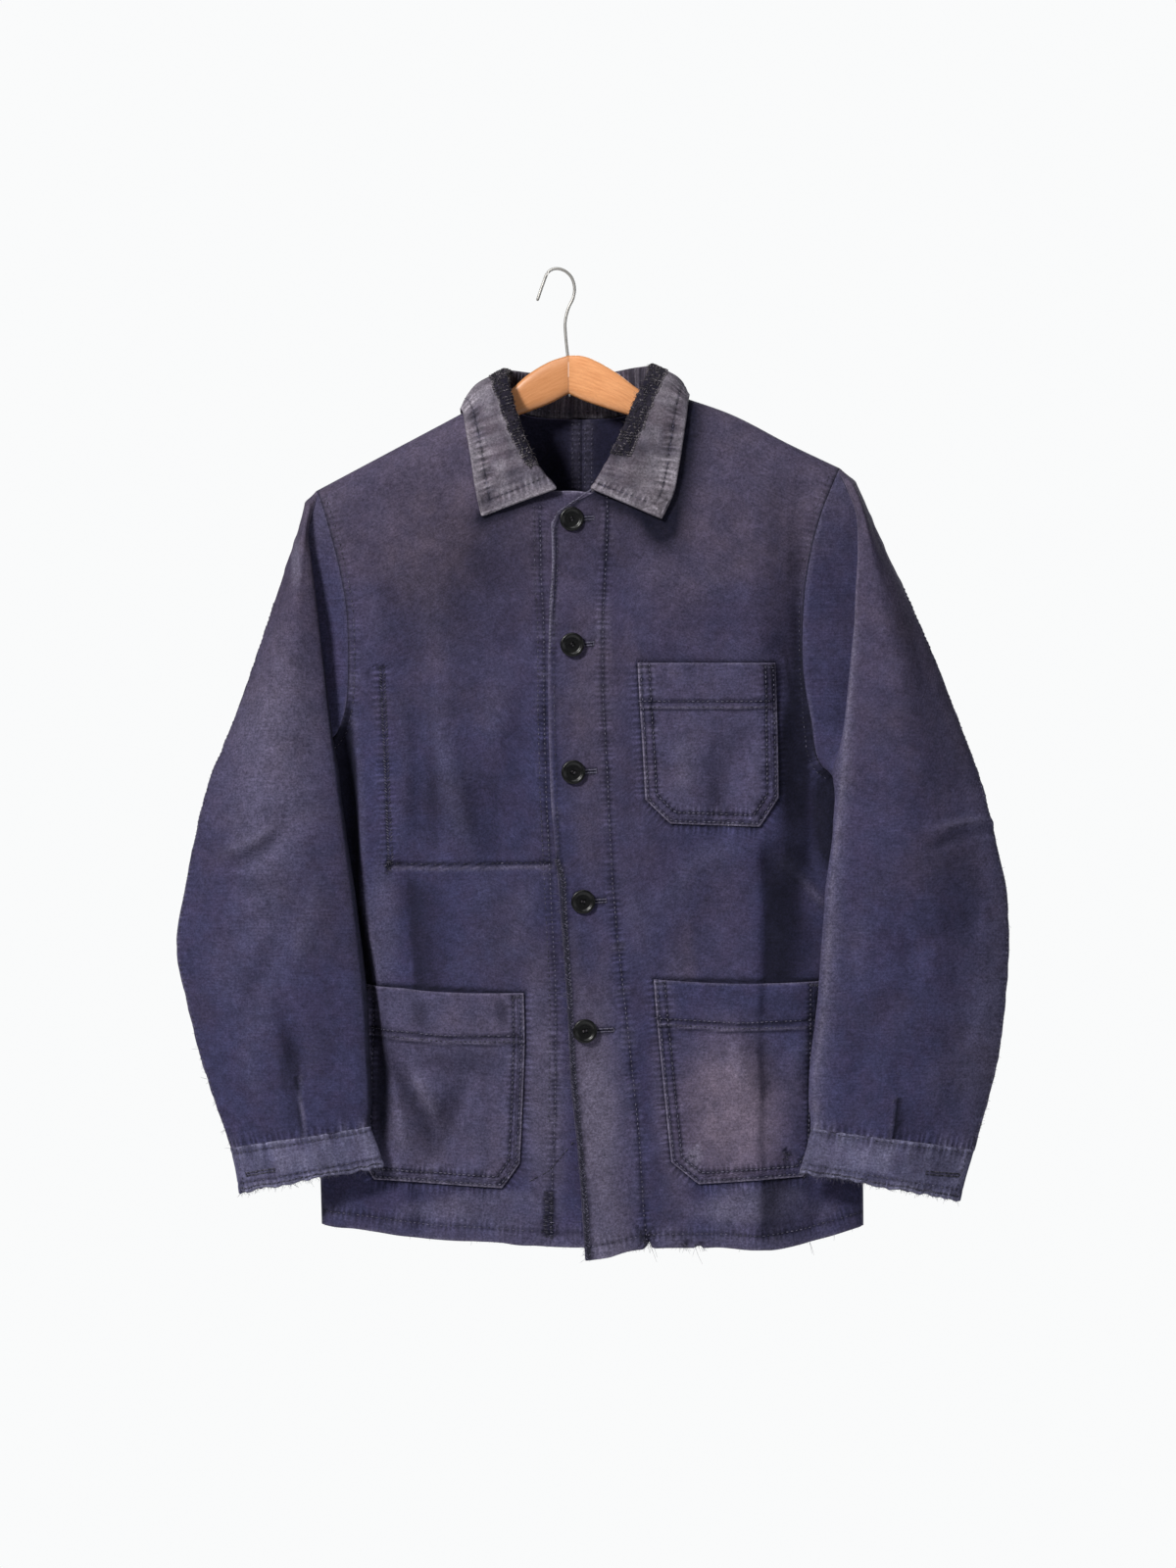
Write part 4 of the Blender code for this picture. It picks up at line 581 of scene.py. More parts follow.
def lap_out(x, z):
    """How far the top front stands in front of the body tube."""
    near_edge = smooth((LAP_REACH - np.abs(x - CENTRE_BACK_X)) / LAP_BLEND)
    return LAP * near_edge * smooth((LAP_TOP_Z - z) / LAP_BLEND)


def panel(face, cap, neck, edge, hem, across):
    """Points and normals of one front or back, cut from the body tube; the left front is the top one."""
    tip_x = RIGHT_TIP_X if cap[0][0] < 0 else LEFT_TIP_X
    neck_x = neck[-1][0]
    neck_count, shoulder_count = across
    shoulder_x = np.linspace(neck_x, tip_x, shoulder_count + 1)[1:]
    shoulder = np.stack([shoulder_x, curve_at(SHOULDER_LINE, shoulder_x)], axis=1)
    neck_line = spline(neck, [4] * (len(neck) - 1))
    crowded = 1 - (1 - np.linspace(0, 1, neck_count + 1)) ** NECK_CROWDING
    top = np.concatenate([along(neck_line, crowded), shoulder])
    hem_line = spline(hem, [4] * (len(hem) - 1))
    bottom = along(hem_line, np.linspace(0, 1, len(top)))
    end, armhole = side_edge(cap, face, hem[-1])
    share = (end[0, 1] - end[:, 1]) / (end[0, 1] - end[-1, 1])
    edge_z = edge[0][1] + (edge[-1][1] - edge[0][1]) * share
    start = np.stack([curve_at(edge, edge_z, 1, 0), edge_z], axis=1)
    grid = patch(top, bottom, start, end, share)
    side = -1.0 if face == "front" else 1.0
    points, normals = body_surface(face, grid[..., 0], grid[..., 1])
    if face == "front" and tip_x > 0:
        points = points + normals * lap_out(grid[..., 0], grid[..., 1])[..., None]
    points[0, neck_count:, 1] += side * SEAM_HALF
    points[armhole:, -1, 1] += side * SEAM_HALF
    seam_way = seam_direction(points[:armhole, -1], normals[:armhole, -1], points[:armhole, -2])
    points[:armhole, -1] -= seam_way * SEAM_HALF
    if face == "back":
        inward = 1.0 if cap[0][0] > 0 else -1.0
        points[:, 0, 0] += inward * SEAM_HALF
    return points, normals


def seam_direction(line, normals, inside):
    """Unit vectors in the cloth, across a seam, that point away from the panel."""
    way = unit(np.cross(normals, np.gradient(line, axis=0)))
    flip = np.sum(way * (line - inside), axis=1) < 0
    way[flip] *= -1
    return way


def section_normals(grid, wrap_from):
    """Normals of a sleeve's grid; rows from wrap_from on are closed rings."""
    across = tangents(grid, 1)
    joined = unit(across[wrap_from:, 0] + across[wrap_from:, -1])
    across[wrap_from:, 0] = joined
    across[wrap_from:, -1] = joined
    return unit(np.cross(across, tangents(grid, 0)))


def armhole_edges(side):
    """A sleeve's edge at the front and back armhole seam: points, normals and how far it left the body."""
    space = np.array([OUTWARD[side] * ARMPIT_SPACE, 0.0, ARMPIT_LIFT])
    edges = []
    for face, line in zip(("front", "back"), seam_points(CAPS[side])):
        points, normals = body_surface(face, line[:, 0], line[:, 1])
        inside, _ = body_surface(face, line[:, 0] - OUTWARD[side] * INSIDE_X, line[:, 1] - INSIDE_Z)
        way = seam_direction(points, normals, inside)
        leave = smooth(1 - lengths(points[::-1])[::-1] / ARMPIT_REACH)[:, None]
        edges.append((points + way * SEAM_HALF + leave * space, normals, leave))
    return edges


def cap_section(side, row, data, seam_front, seam_back):
    """Points of a section above the armpit."""
    plane = float(middle_plane(data["seam_x"], data["out_z"]))
    fold_y = seam_front[1] - data["rise"]
    hollow = np.array([
        data["fold_x"] + OUTWARD[side] * data["tuck"],
        seam_front[1] + data["dip"],
        0.5 * (data["seam_z"] + data["fold_z"]),
    ])
    front_y = fold_y - CAP_FRONT_BULGE * min(1.0, row / BULGE_ROWS)
    back_y = plane + data["back_y"]
    inner = np.array([
        seam_back[0] + 0.3 * np.clip(data["out_x"] - seam_back[0], -INNER_REACH, INNER_REACH),
        0.35 * seam_back[1] + 0.65 * back_y,
        0.6 * seam_back[2] + 0.4 * data["fold_z"],
    ])
    return section(data, seam_front, hollow, fold_y, front_y, plane, back_y, inner, seam_back)


def armpit_section(side, data, seam_front, seam_back):
    """Points of the section at the armpit."""
    fold_y, front_y, out_y, back_y, inner_y, _, _ = ARMPIT_DEPTHS
    hollow = np.array([data["fold_x"] + OUTWARD[side] * 0.005, fold_y + 0.012, data["fold_z"] + 0.008])
    inner = np.array([seam_back[0] + OUTWARD[side] * 0.016, inner_y, data["fold_z"] + 0.010])
    return section(data, seam_front, hollow, fold_y, front_y, out_y, back_y, inner, seam_back)


def arm_section(side, data, depths):
    """Points of a section below the armpit, a closed ring from the underarm seam round to itself."""
    outward = OUTWARD[side]
    fold_y, front_y, out_y, back_y, inner_y, seam_out, seam_back = depths
    fold = np.array([data["fold_x"], fold_y, data["fold_z"]])
    seam = fold + np.array([outward * seam_out, seam_back, 0.0])
    hollow = 0.5 * (fold + seam) + np.array([-outward * 0.0022, 0.0008, 0.0])
    inner = np.array([
        data["fold_x"] + (data["out_x"] - data["fold_x"]) * INNER_SHARE + outward * 0.004,
        inner_y,
        data["fold_z"] + (data["out_z"] - data["fold_z"]) * INNER_SHARE,
    ])
    return section(data, seam, hollow, fold_y, front_y, out_y, back_y, inner, seam)


def over_tip(edges, columns):
    """A sleeve's first row, along the armhole seam over the shoulder tip, and its normals."""
    (front_edge, front_normals, _), (back_edge, back_normals, _) = edges
    line = np.concatenate([front_edge[TIP_ROWS::-1], back_edge[1: TIP_ROWS + 1]])
    normals = np.concatenate([front_normals[TIP_ROWS::-1], back_normals[1: TIP_ROWS + 1]])
    length = lengths(line)
    where = np.linspace(0, 1, columns) * length[-1]
    return read(line, length, where), unit(read(normals, length, where))


def sleeve(side):
    """Points and normals of a whole sleeve and its cuff, from the armhole to the cuff's hem.

    Columns start at the front armhole seam or underarm seam, cross the fold, the front, the outer edge and
    the back, and end at the back armhole seam or underarm seam.
    """
    cap = CAPS[side]
    arm = RIGHT_ARM if side == "right" else LEFT_ARM
    edges = armhole_edges(side)
    columns = sum(ACROSS) + 1
    heights = len(cap) - 1
    net = []
    for row in range(1, heights + 1):
        data = dict(zip(CAP_COLUMNS, cap[row]))
        seams = [points[TIP_ROWS + CAP_ROWS * row] for points, _, _ in edges]
        if row < heights:
            net.append(cap_section(side, row, data, *seams))
        else:
            net.append(armpit_section(side, data, *seams))
    for numbers, depths in zip(arm, ARM_DEPTHS):
        net.append(arm_section(side, dict(zip(ARM_COLUMNS, numbers)), depths))
    rows = np.array([spline(section_points, ACROSS) for section_points in np.array(net)])
    counts = [CAP_ROWS] * (heights - 1) + [ARM_ROWS] * (len(arm) - 1) + [CUFF_ROWS]
    body = spline(rows, counts)
    first, first_normals = over_tip(edges, columns)
    between = []
    for step in range(1, CAP_ROWS):
        t = step / CAP_ROWS
        rounded = math.sin(t * math.pi / 2)
        between.append(first * (1 - t) + body[0] * t + first_normals * TIP_ROUND * (rounded - t))
    grid = np.concatenate([first[None], np.array(between), body])
    armpit_row = CAP_ROWS * heights
    seam_rows = slice(TIP_ROWS, TIP_ROWS + armpit_row + 1)
    for column, (points, _, _) in zip((0, -1), edges):
        grid[: armpit_row + 1, column] = points[seam_rows]
    underarm = 0.5 * (grid[armpit_row + 1:, 0] + grid[armpit_row + 1:, -1])
    grid[armpit_row + 1:, 0] = underarm
    grid[armpit_row + 1:, -1] = underarm

    front_part = sum(ACROSS[:4])
    weight = np.zeros(columns)
    weight[: front_part + 1] = np.sin(np.linspace(0, math.pi, front_part + 1)) ** 0.5
    grid[..., 1] += fold_depth(SLEEVE_FOLDS, side, grid[..., 0], grid[..., 2]) * weight[None]

    normals = section_normals(grid, armpit_row + 1)
    if side == "left":
        normals = -normals
    for column, (_, edge_normals, leave) in zip((0, -1), edges):
        kept = leave[seam_rows]
        own = normals[: armpit_row + 1, column]
        normals[: armpit_row + 1, column] = unit(edge_normals[seam_rows] * (1 - kept) + own * kept)
    normals[0] = first_normals
    return grid, normals


def section(data, seam_front, hollow, fold_y, front_y, out_y, back_y, inner, seam_back):
    """The nine points that a sleeve's section is drawn through."""
    fold = np.array([data["fold_x"], fold_y, data["fold_z"]])
    out = np.array([data["out_x"], out_y, data["out_z"]])
    front = 0.52 * fold + 0.48 * out
    front[1] = front_y
    near_out = 0.14 * fold + 0.86 * out
    near_out[1] = 0.45 * front_y + 0.55 * out_y
    behind_out = 0.10 * fold + 0.90 * out
    behind_out[1] = 0.55 * back_y + 0.45 * out_y
    back = 0.45 * fold + 0.55 * out
    back[1] = back_y
    return [seam_front, hollow, fold, front, near_out, out, behind_out, back, inner, seam_back]


def neck_height(face, x):
    """Height of the neck edge of a front or of the back at x."""
    if face == "front":
        return curve_at(LEFT_NECK if x > CENTRE_BACK_X else RIGHT_NECK, x)
    end_x = LEFT_NECK_X if x > CENTRE_BACK_X else RIGHT_NECK_X
    reach = (x - CENTRE_BACK_X) / (end_x - CENTRE_BACK_X)
    return BACK_NECK_Z + (curve_at(SHOULDER_LINE, end_x) - BACK_NECK_Z) * reach**BACK_NECK_SHAPE


def back_neck(end_x):
    """Back neck edge, x and z, from the centre back up to a neck point."""
    return [(x, neck_height("back", x)) for x in np.linspace(CENTRE_BACK_X, end_x, 9)]


def collar_points():
    """Grid of the collar: rows go round the neck, columns from the neck seam to the outer edge."""
    stations = [dict(zip(COLLAR_COLUMNS, numbers)) for numbers in COLLAR]
    seams = []
    for data in stations:
        neck_z = neck_height(data["face"], data["neck_x"])
        data["lap"] = 0.0
        if data["face"] == "front" and data["neck_x"] > CENTRE_BACK_X:
            data["lap"] = float(lap_out(data["edge_x"], data["edge_z"]))
            seams.append(body_surface("front", data["neck_x"], neck_z, lap_out(data["neck_x"], neck_z)))
        else:
            seams.append(body_surface(data["face"], data["neck_x"], neck_z))
    run = tangents(np.array([point for point, _ in seams]), 0)
    axis = np.array(COLLAR_AXIS)
    net = []
    for data, (neck, neck_normal), way in zip(stations, seams, run):
        out = CLOTH / 2 + data["lift"] + data["lap"]
        edge, _ = body_surface(data["face"], data["edge_x"], data["edge_z"], out)
        fold = np.array([data["fold_x"], data["fold_y"], data["fold_z"]])
        inward = unit(np.cross(neck_normal, way))
        inward *= math.copysign(1.0, np.dot(inward, axis - neck))
        start = neck + inward * (COLLAR_CLOTH / 2 + COLLAR_GAP) + neck_normal * (CLOTH / 2 + COLLAR_GAP)
        rise = unit(fold - start)
        fall = unit(edge - fold)
        apart = unit(np.cross(way, fall - rise))
        apart *= math.copysign(1.0, np.dot(apart, 0.5 * (edge + fold) - axis))
        stand_top = fold - unit(0.85 * rise + 0.35 * apart) * COLLAR_TURN
        leaf_top = fold + unit(0.70 * fall + 0.60 * apart) * COLLAR_TURN
        leaf = 0.5 * (fold + edge) + apart * data["puff"]
        net.append([start, 0.5 * (start + stand_top), stand_top, fold, leaf_top, leaf, edge])
    across = np.array([spline(row, COLLAR_ACROSS) for row in net])
    return spline(across, [COLLAR_ROWS] * (len(net) - 1))


# ----------------------------------------------------------------------------------------------------
# Cloth as seen: positions are on the front view's grid, 0.85 mm a step, u across and v down

GRID = 0.00085
HOOK_U = 566
HOOK_V = 274
THIN = 0.0016            # shell of a single cloth
THIN_COLLAR = 0.0026
THIN_CUFF = 0.0026
THIN_POCKET = 0.0015
EDGE_ROUND = 0.45        # how far a cut edge rounds out, in thicknesses
CREASE = 2.0             # height of all creases over what the tables below name
PUCKER = 1.6             # height of all coarse puckers
PUCKER_CELL = 1.1        # their length, both over what the seams below name
COARSE_SHADE = 0.35      # how strongly their crests turn pale (wear and painted highlight) and their hollows take painted shade
GATHER = 0.0052          # length of a fine pucker, which the material draws
SEAM_FADE = 0.006        # distance over which a panel's relief fades at the armhole
SIDE_FADE = 0.018        # and at the side seam
STITCH_LENGTH = 0.0026
STITCH_PITCH = 0.0042
STITCH_RADIUS = 0.00038
STITCH_JITTER = 0.00012  # how far its ends wander
HAIR_RADIUS = 0.00013


def at(u, v):
    return np.array([(u - HOOK_U) * GRID, (HOOK_V - v) * GRID])


def route(*pairs):
    return np.array([at(u, v) for u, v in pairs])


def noise(x, y, seed):
    """Smooth random field between -1 and 1 whose cells are one unit across."""
    xi, yi = np.floor(x), np.floor(y)
    u, v = x - xi, y - yi
    u, v = u * u * u * (u * (u * 6 - 15) + 10), v * v * v * (v * (v * 6 - 15) + 10)

    def corner(i, j):
        h = np.sin(i * 127.1 + j * 311.7 + seed * 74.7) * 43758.5453
        return 2 * (h - np.floor(h)) - 1

    low = corner(xi, yi) * (1 - u) + corner(xi + 1, yi) * u
    high = corner(xi, yi + 1) * (1 - u) + corner(xi + 1, yi + 1) * u
    return low * (1 - v) + high * v


def from_line(line, x, z):
    """Signed distance from a polyline, length along it of the nearest point, and its whole length."""
    best = np.full(np.shape(x), np.inf)
    signed = np.zeros(np.shape(x))
    run = np.zeros(np.shape(x))
    gone = 0.0
    for a, b in zip(line[:-1], line[1:]):
        step = b - a
        length = max(float(np.hypot(*step)), 1e-9)
        t = np.clip(((x - a[0]) * step[0] + (z - a[1]) * step[1]) / length**2, 0, 1)
        dx, dz = x - a[0] - t * step[0], z - a[1] - t * step[1]
        away = np.hypot(dx, dz)
        side = np.sign(step[0] * dz - step[1] * dx)
        nearer = away < best
        best = np.where(nearer, away, best)
        signed = np.where(nearer, away * side, signed)
        run = np.where(nearer, gone + t * length, run)
        gone += length
    return signed, run, gone


class Relief:
    """Height off the smooth cloth and three kinds of colour change, summed over the features of one piece:
    dark is darker cloth and painted shade, the pale field is wear and painted highlight, and warm is faded
    dye.
    """

    def __init__(self, x, z):
        self.x, self.z = x, z
        for field in ("lift", "dark", "worn", "warm", "near", "run"):
            setattr(self, field, np.zeros(np.shape(x)))

    def gather(self, near, run):
        """Fine puckers of a row of stitches: how strong they are, and the length along the row."""
        stronger = near > self.near
        self.run = np.where(stronger, run, self.run)
        self.near = np.maximum(near, self.near)

    def crease(self, line, width, depth, shade=0.16):
        """Soft trough (depth below 0) or ridge along a line that fades at its ends; width and depth in mm.
        shade is the strength of the painted shade in a trough or the painted highlight on a ridge.
        """
        away, run, whole = from_line(line, self.x, self.z)
        ends = smooth(run / (0.3 * whole)) * smooth((whole - run) / (0.3 * whole))
        ends = 0.25 + 0.75 * ends
        form = bell(away, width / 1000) * ends
        self.lift += form * depth * CREASE / 1000
        # Painted shade in a trough, painted highlight on a ridge
        if depth < 0:
            self.dark += form * shade * min(1.0, -depth / 2)
        else:
            self.worn += form * shade * min(1.0, depth / 2)

    def ledge(self, line, width, depth, reach, shade=0.0, fade=0.25):
        """Cloth on the left of the line stands depth mm over the cloth on its right, fading over reach mm."""
        away, run, whole = from_line(line, self.x, self.z)
        ends = smooth(run / (fade * whole)) * smooth((whole - run) / (fade * whole))
        form = np.tanh(away / (width / 1000)) * bell(away, reach / 1000) * ends
        self.lift += form * depth / 2000
        # Painted shade on the lower cloth, right of the line
        self.dark += shade * np.clip(-form, 0, None)

    def seam(self, line, pucker=0.35, pitch=0.0085, reach=0.006, groove=0.35, seed=1, shade=0.75, fine=1.0):
        """Row of stitching: a fine groove with puckers across it; fine is the strength of the small ones. The
        puckers' crests turn pale, partly wear and partly painted highlight, their hollows take painted shade,
        and so does the groove.
        """
        away, run, whole = from_line(line, self.x, self.z)
        inside = (run > 1e-6) & (run < whole - 1e-6)
        cell = pitch * PUCKER_CELL
        wave = noise(run / cell, away / 0.02, seed) + 0.3 * noise(run / (0.6 * cell), away / 0.02, seed + 7)
        strength = 0.55 + 0.45 * noise(run / 0.05, 0.0, seed + 3)
        near = bell(away, reach) * inside
        self.lift += near * wave * strength * PUCKER * pucker / 1000
        self.lift -= bell(away, 0.0011) * inside * groove / 1000
        # Pale crests, partly wear and partly painted highlight, and painted shade in the hollows
        self.worn += near * np.clip(wave, 0, 1) * strength * shade * COARSE_SHADE
        self.dark += near * np.clip(-wave, 0, 1) * strength * shade * COARSE_SHADE
        self.gather(fine * np.exp(-np.abs(away / reach) ** 3) * inside * (0.45 + 0.9 * shade * strength), run)
        # Painted shade along the groove
        self.dark += bell(away, 0.0018) * inside * 1.9 * groove

    def layer(self, line, height, blend=0.0012):
        """Cloth on the left of the line is height mm thicker, as over a facing or a turned hem."""
        away, _, _ = from_line(line, self.x, self.z)
        self.lift += smooth(0.5 + away / (2 * blend)) * height / 1000

    def spot(self, centre, across, down, dark=0.0, worn=0.0, warm=0.0, depth=0.0, ragged=0.35, seed=5):
        """Soft-edged patch; across and down are half sizes in mm."""
        dx = (self.x - centre[0]) / (across / 1000)
        dz = (self.z - centre[1]) / (down / 1000)
        edge = np.hypot(dx, dz) + ragged * noise(dx * 1.7, dz * 1.7, seed)
        form = smooth(1.25 - edge)
        self.dark += form * dark
        self.worn += form * worn
        self.warm += form * warm
        self.lift += form * depth / 1000

    def spots(self, rows):
        """Spots from a table whose rows start with the centre's place on the front view's grid."""
        for u, v, *numbers in rows:
            self.spot(at(u, v), *numbers)

    def band(self, kind, line, width, strength):
        """More of one kind of colour change along a line, fading over width on both sides."""
        getattr(self, kind)[...] += strength * bell(from_line(line, self.x, self.z)[0], width)

    def softness(self, seed=11):
        """The slight unevenness of washed cloth that hangs: long and mostly upright."""
        x, z = self.x, self.z
        self.lift += 0.00180 * noise(x / 0.045, z / 0.100, seed)
        self.lift += 0.00075 * noise(x / 0.020, z / 0.042, seed + 1)
        self.lift += 0.00020 * noise(x / 0.008, z / 0.014, seed + 2)


# Fronts: seams, folds, wear, and painted shade and highlight. Lines run on the front view's grid.
TOP_EDGE = route(
    (604, 499), (580, 515), (567, 524), (563, 536), (564, 574), (561, 614), (560, 667), (561, 748),
    (563, 801), (565, 876), (572, 897), (574, 946), (579, 1018), (582, 1090), (589, 1161), (595, 1233),
    (598, 1285),
)
FACING_LINE = route(
    (619, 505), (620, 523), (619, 560), (615, 630), (615, 708), (619, 775), (622, 842), (625, 903),
    (630, 960), (638, 1032), (646, 1104), (652, 1161), (656, 1233), (661, 1275),
)
UNDER_LINE = route(
    (551, 515), (552, 587), (555, 641), (555, 721), (557, 801), (560, 868), (563, 932), (567, 1003),
    (567, 1090), (566, 1147), (563, 1219), (562, 1262),
)
UNDER_LINE_2 = UNDER_LINE - np.array([0.0052, 0.0])
INNER_POCKET_SIDE = route((388, 679), (391, 745), (394, 812), (397, 882))
INNER_POCKET_HEM = route((398, 881), (450, 882), (505, 881), (563, 880))
LEFT_HEM_LINE = route((598, 1273), (661, 1260), (735, 1259), (777, 1262), (819, 1255), (881, 1237))
RIGHT_HEM_LINE = route((329, 1236), (373, 1241), (436, 1250), (499, 1253), (569, 1258), (600, 1258))

BUTTONHOLES = (0.019, 0.0185, 0.0195, 0.0195, 0.0245)
# Creases: line, width and depth in mm, and the strength of their painted shade (troughs) or painted highlight
# (ridges) where it isn't the usual one
LEFT_CREASES = (
    (route((826, 500), (816, 584), (810, 690)), 9, -2.6),
    (route((816, 590), (818, 700), (820, 780), (818, 900)), 20, -6.0),
    (route((840, 780), (834, 850), (830, 900)), 9, -3.0),
    (route((770, 1055), (786, 1090), (796, 1130)), 8, -2.2),
    (route((735, 740), (733, 790), (737, 850)), 8, -1.5),
    (route((770, 860), (712, 880), (664, 940)), 12, 0.9),
    (route((790, 874), (820, 900), (852, 934)), 4.5, 2.2, 0.22),
    (route((806, 862), (858, 912)), 6, -1.6),
    (route((745, 900), (700, 985)), 16, -1.1),
    (route((640, 560), (700, 600), (760, 590)), 20, 0.8),
    (route((700, 610), (770, 640), (820, 690)), 14, -0.8),
    (route((640, 700), (648, 790), (642, 860)), 9, -0.9),
    (route((642, 905), (660, 985)), 10, 0.8),
    (route((655, 1060), (664, 1180)), 7, -0.8),
    (route((580, 585), (612, 590)), 4, -0.5),
    (route((564, 641), (620, 642)), 4, -0.8),
    (route((575, 700), (610, 712)), 6, 0.5),
    (route((572, 830), (616, 852)), 7, -0.6),
    (route((580, 960), (628, 985)), 8, -0.6),
    (route((600, 1110), (640, 1130)), 9, 0.6),
    (route((612, 1200), (645, 1215)), 7, -0.6),
    (route((690, 1215), (700, 1268)), 8, -0.8),
    (route((735, 1215), (742, 1272)), 9, 0.9),
    (route((830, 1205), (838, 1262)), 8, -1.2),
)
RIGHT_CREASES = (
    (route((420, 690), (428, 780), (436, 872)), 14, -2.2),
    (route((458, 720), (486, 810), (511, 880)), 12, -1.9),
    (route((444, 720), (462, 810), (480, 876)), 13, 1.8),
    (route((536, 700), (526, 790), (536, 872)), 13, -1.3),
    (route((512, 690), (500, 760)), 14, 1.1),
    (route((410, 700), (416, 790), (410, 860)), 8, 0.9),
    (route((340, 555), (374, 556)), 3, -0.6),
    (route((400, 560), (440, 620), (450, 690)), 22, 1.0),
    (route((480, 540), (520, 620), (536, 690)), 13, -1.3),
    (route((372, 600), (392, 660)), 12, 0.8),
    (route((440, 900), (470, 960), (520, 1000)), 16, -0.9),
    (route((540, 905), (528, 985)), 12, 0.9),
    (route((372, 900), (378, 990)), 9, 1.3),
    (route((343, 640), (350, 730), (356, 820), (359, 900), (366, 960), (378, 1030), (390, 1110),
           (398, 1200)), 8, -5.5),
    (route((355, 650), (358, 719), (366, 784), (369, 874), (370, 920), (381, 970), (390, 1033), (405, 1117),
           (411, 1180)), 4, 1.6),
    (route((426, 1208), (430, 1240), (432, 1264)), 6, -1.8),
    (route((470, 1215), (474, 1262)), 9, 0.8),
    (route((520, 1215), (514, 1262)), 7, -0.7),
    (route((350, 1212), (356, 1254)), 8, 0.8),
    (route((400, 1075), (424, 1130), (446, 1176)), 9, -2.6),
    (route((446, 1176), (462, 1140), (474, 1100)), 9, -2.0),
    (route((430, 1090), (446, 1140)), 11, 1.8),
    (route((385, 1080), (394, 1150)), 8, 1.0),
    (route((500, 1080), (508, 1170)), 10, -1.0),
)
FRONT_CREASES = {"left": LEFT_CREASES, "right": RIGHT_CREASES}
# Three points as x and z, width and depth in mm
BACK_CREASES = (
    ((-0.150, -0.230), (-0.105, -0.330), (-0.085, -0.470), 16, -1.8),
    ((-0.095, -0.260), (-0.060, -0.380), (-0.055, -0.520), 14, 1.4),
    ((-0.030, -0.300), (-0.018, -0.450), (-0.024, -0.640), 13, -1.2),
    ((0.060, -0.240), (0.072, -0.380), (0.062, -0.560), 15, -1.6),
    ((0.110, -0.300), (0.098, -0.430), (0.104, -0.590), 12, 1.2),
    ((0.200, -0.220), (0.160, -0.330), (0.140, -0.480), 15, -2.0),
    ((0.170, -0.560), (0.182, -0.700), (0.176, -0.840), 12, -1.4),
    ((0.110, -0.640), (0.122, -0.740), (0.116, -0.842), 11, 1.1),
    ((-0.120, -0.600), (-0.132, -0.720), (-0.124, -0.842), 12, -1.5),
    ((-0.060, -0.680), (-0.052, -0.760), (-0.058, -0.843), 10, 1.0),
    ((-0.170, -0.430), (-0.150, -0.530), (-0.156, -0.640), 11, -1.1),
    ((0.215, -0.440), (0.200, -0.540), (0.206, -0.650), 11, -1.0),
)


# What the fronts carry beside their creases. Seams: line, pucker, pitch, reach, groove, seed, shade, fine.
RIGHT_OF_EDGE = np.array([0.0042, 0.0])
FRONT_SEAMS = {
    "left": (
        (FACING_LINE, 0.42, 0.0085, 0.0062, 0.4, 21, 0.8, 0.85),
        (TOP_EDGE + RIGHT_OF_EDGE, 0.25, 0.0075, 0.0038, 0.3, 22, 0.7, 0.5),
        (LEFT_HEM_LINE, 0.35, 0.010, 0.007, 0.3, 23, 0.75, 0.6),
    ),
    "right": (
        (UNDER_LINE, 0.40, 0.0085, 0.0050, 0.4, 41, 0.75, 0.85),
        (UNDER_LINE_2, 0.25, 0.0085, 0.0030, 0.1, 42, 0.5, 0.5),
        (INNER_POCKET_SIDE, 0.50, 0.0065, 0.0075, 0.5, 43),
        (INNER_POCKET_HEM, 0.20, 0.0100, 0.0040, 0.5, 44, 0.5, 0.15),
        (RIGHT_HEM_LINE, 0.35, 0.010, 0.007, 0.3, 45, 0.75, 0.6),
    ),
}
# Layers of cloth under the surface: line with the thicker side on its left, height in mm
FRONT_LAYERS = {
    "left": ((FACING_LINE[::-1], 0.6), (LEFT_HEM_LINE[::-1], 0.5)),
    "right": ((INNER_POCKET_HEM, 0.5), (RIGHT_HEM_LINE[::-1], 0.5)),
}
# Long folds that hang from the chest: line, width, depth, reach, shade, share over which they fade
FRONT_LEDGES = {
    "left": (route((776, 1290), (777, 1120), (777, 990), (778, 905), (776, 846)), 2.4, 4.2, 38, 0.85, 0.09),
    "right": (route((422, 1040), (419, 980), (414, 925), (411, 878)), 3, 3.4, 26, 0.85),
}
# Bands along lines: kind, line, width in m, strength. On the left front the first two are painted shadow
# beside and under the collar's leaf and the third darkens the lower part of its edge; on the right front the
# dark one is painted shadow under the collar's leaf and the pale one lies along the under front's top edge.
FRONT_BANDS = {
    "left": (
        ("dark", route((697, 400), (699, 430), (694, 463), (687, 496), (680, 522), (676, 540)), 0.017, 1.25),
        ("dark", route((600, 500), (640, 516), (676, 534)), 0.009, 0.9),
        ("dark", TOP_EDGE[9:], 0.0042, 0.85),
    ),
    "right": (
        ("dark", route((492, 528), (530, 514), (566, 500)), 0.008, 0.8),
        ("worn", route((560, 500), (580, 501), (610, 502)), 0.0016, 0.7),
    ),
}
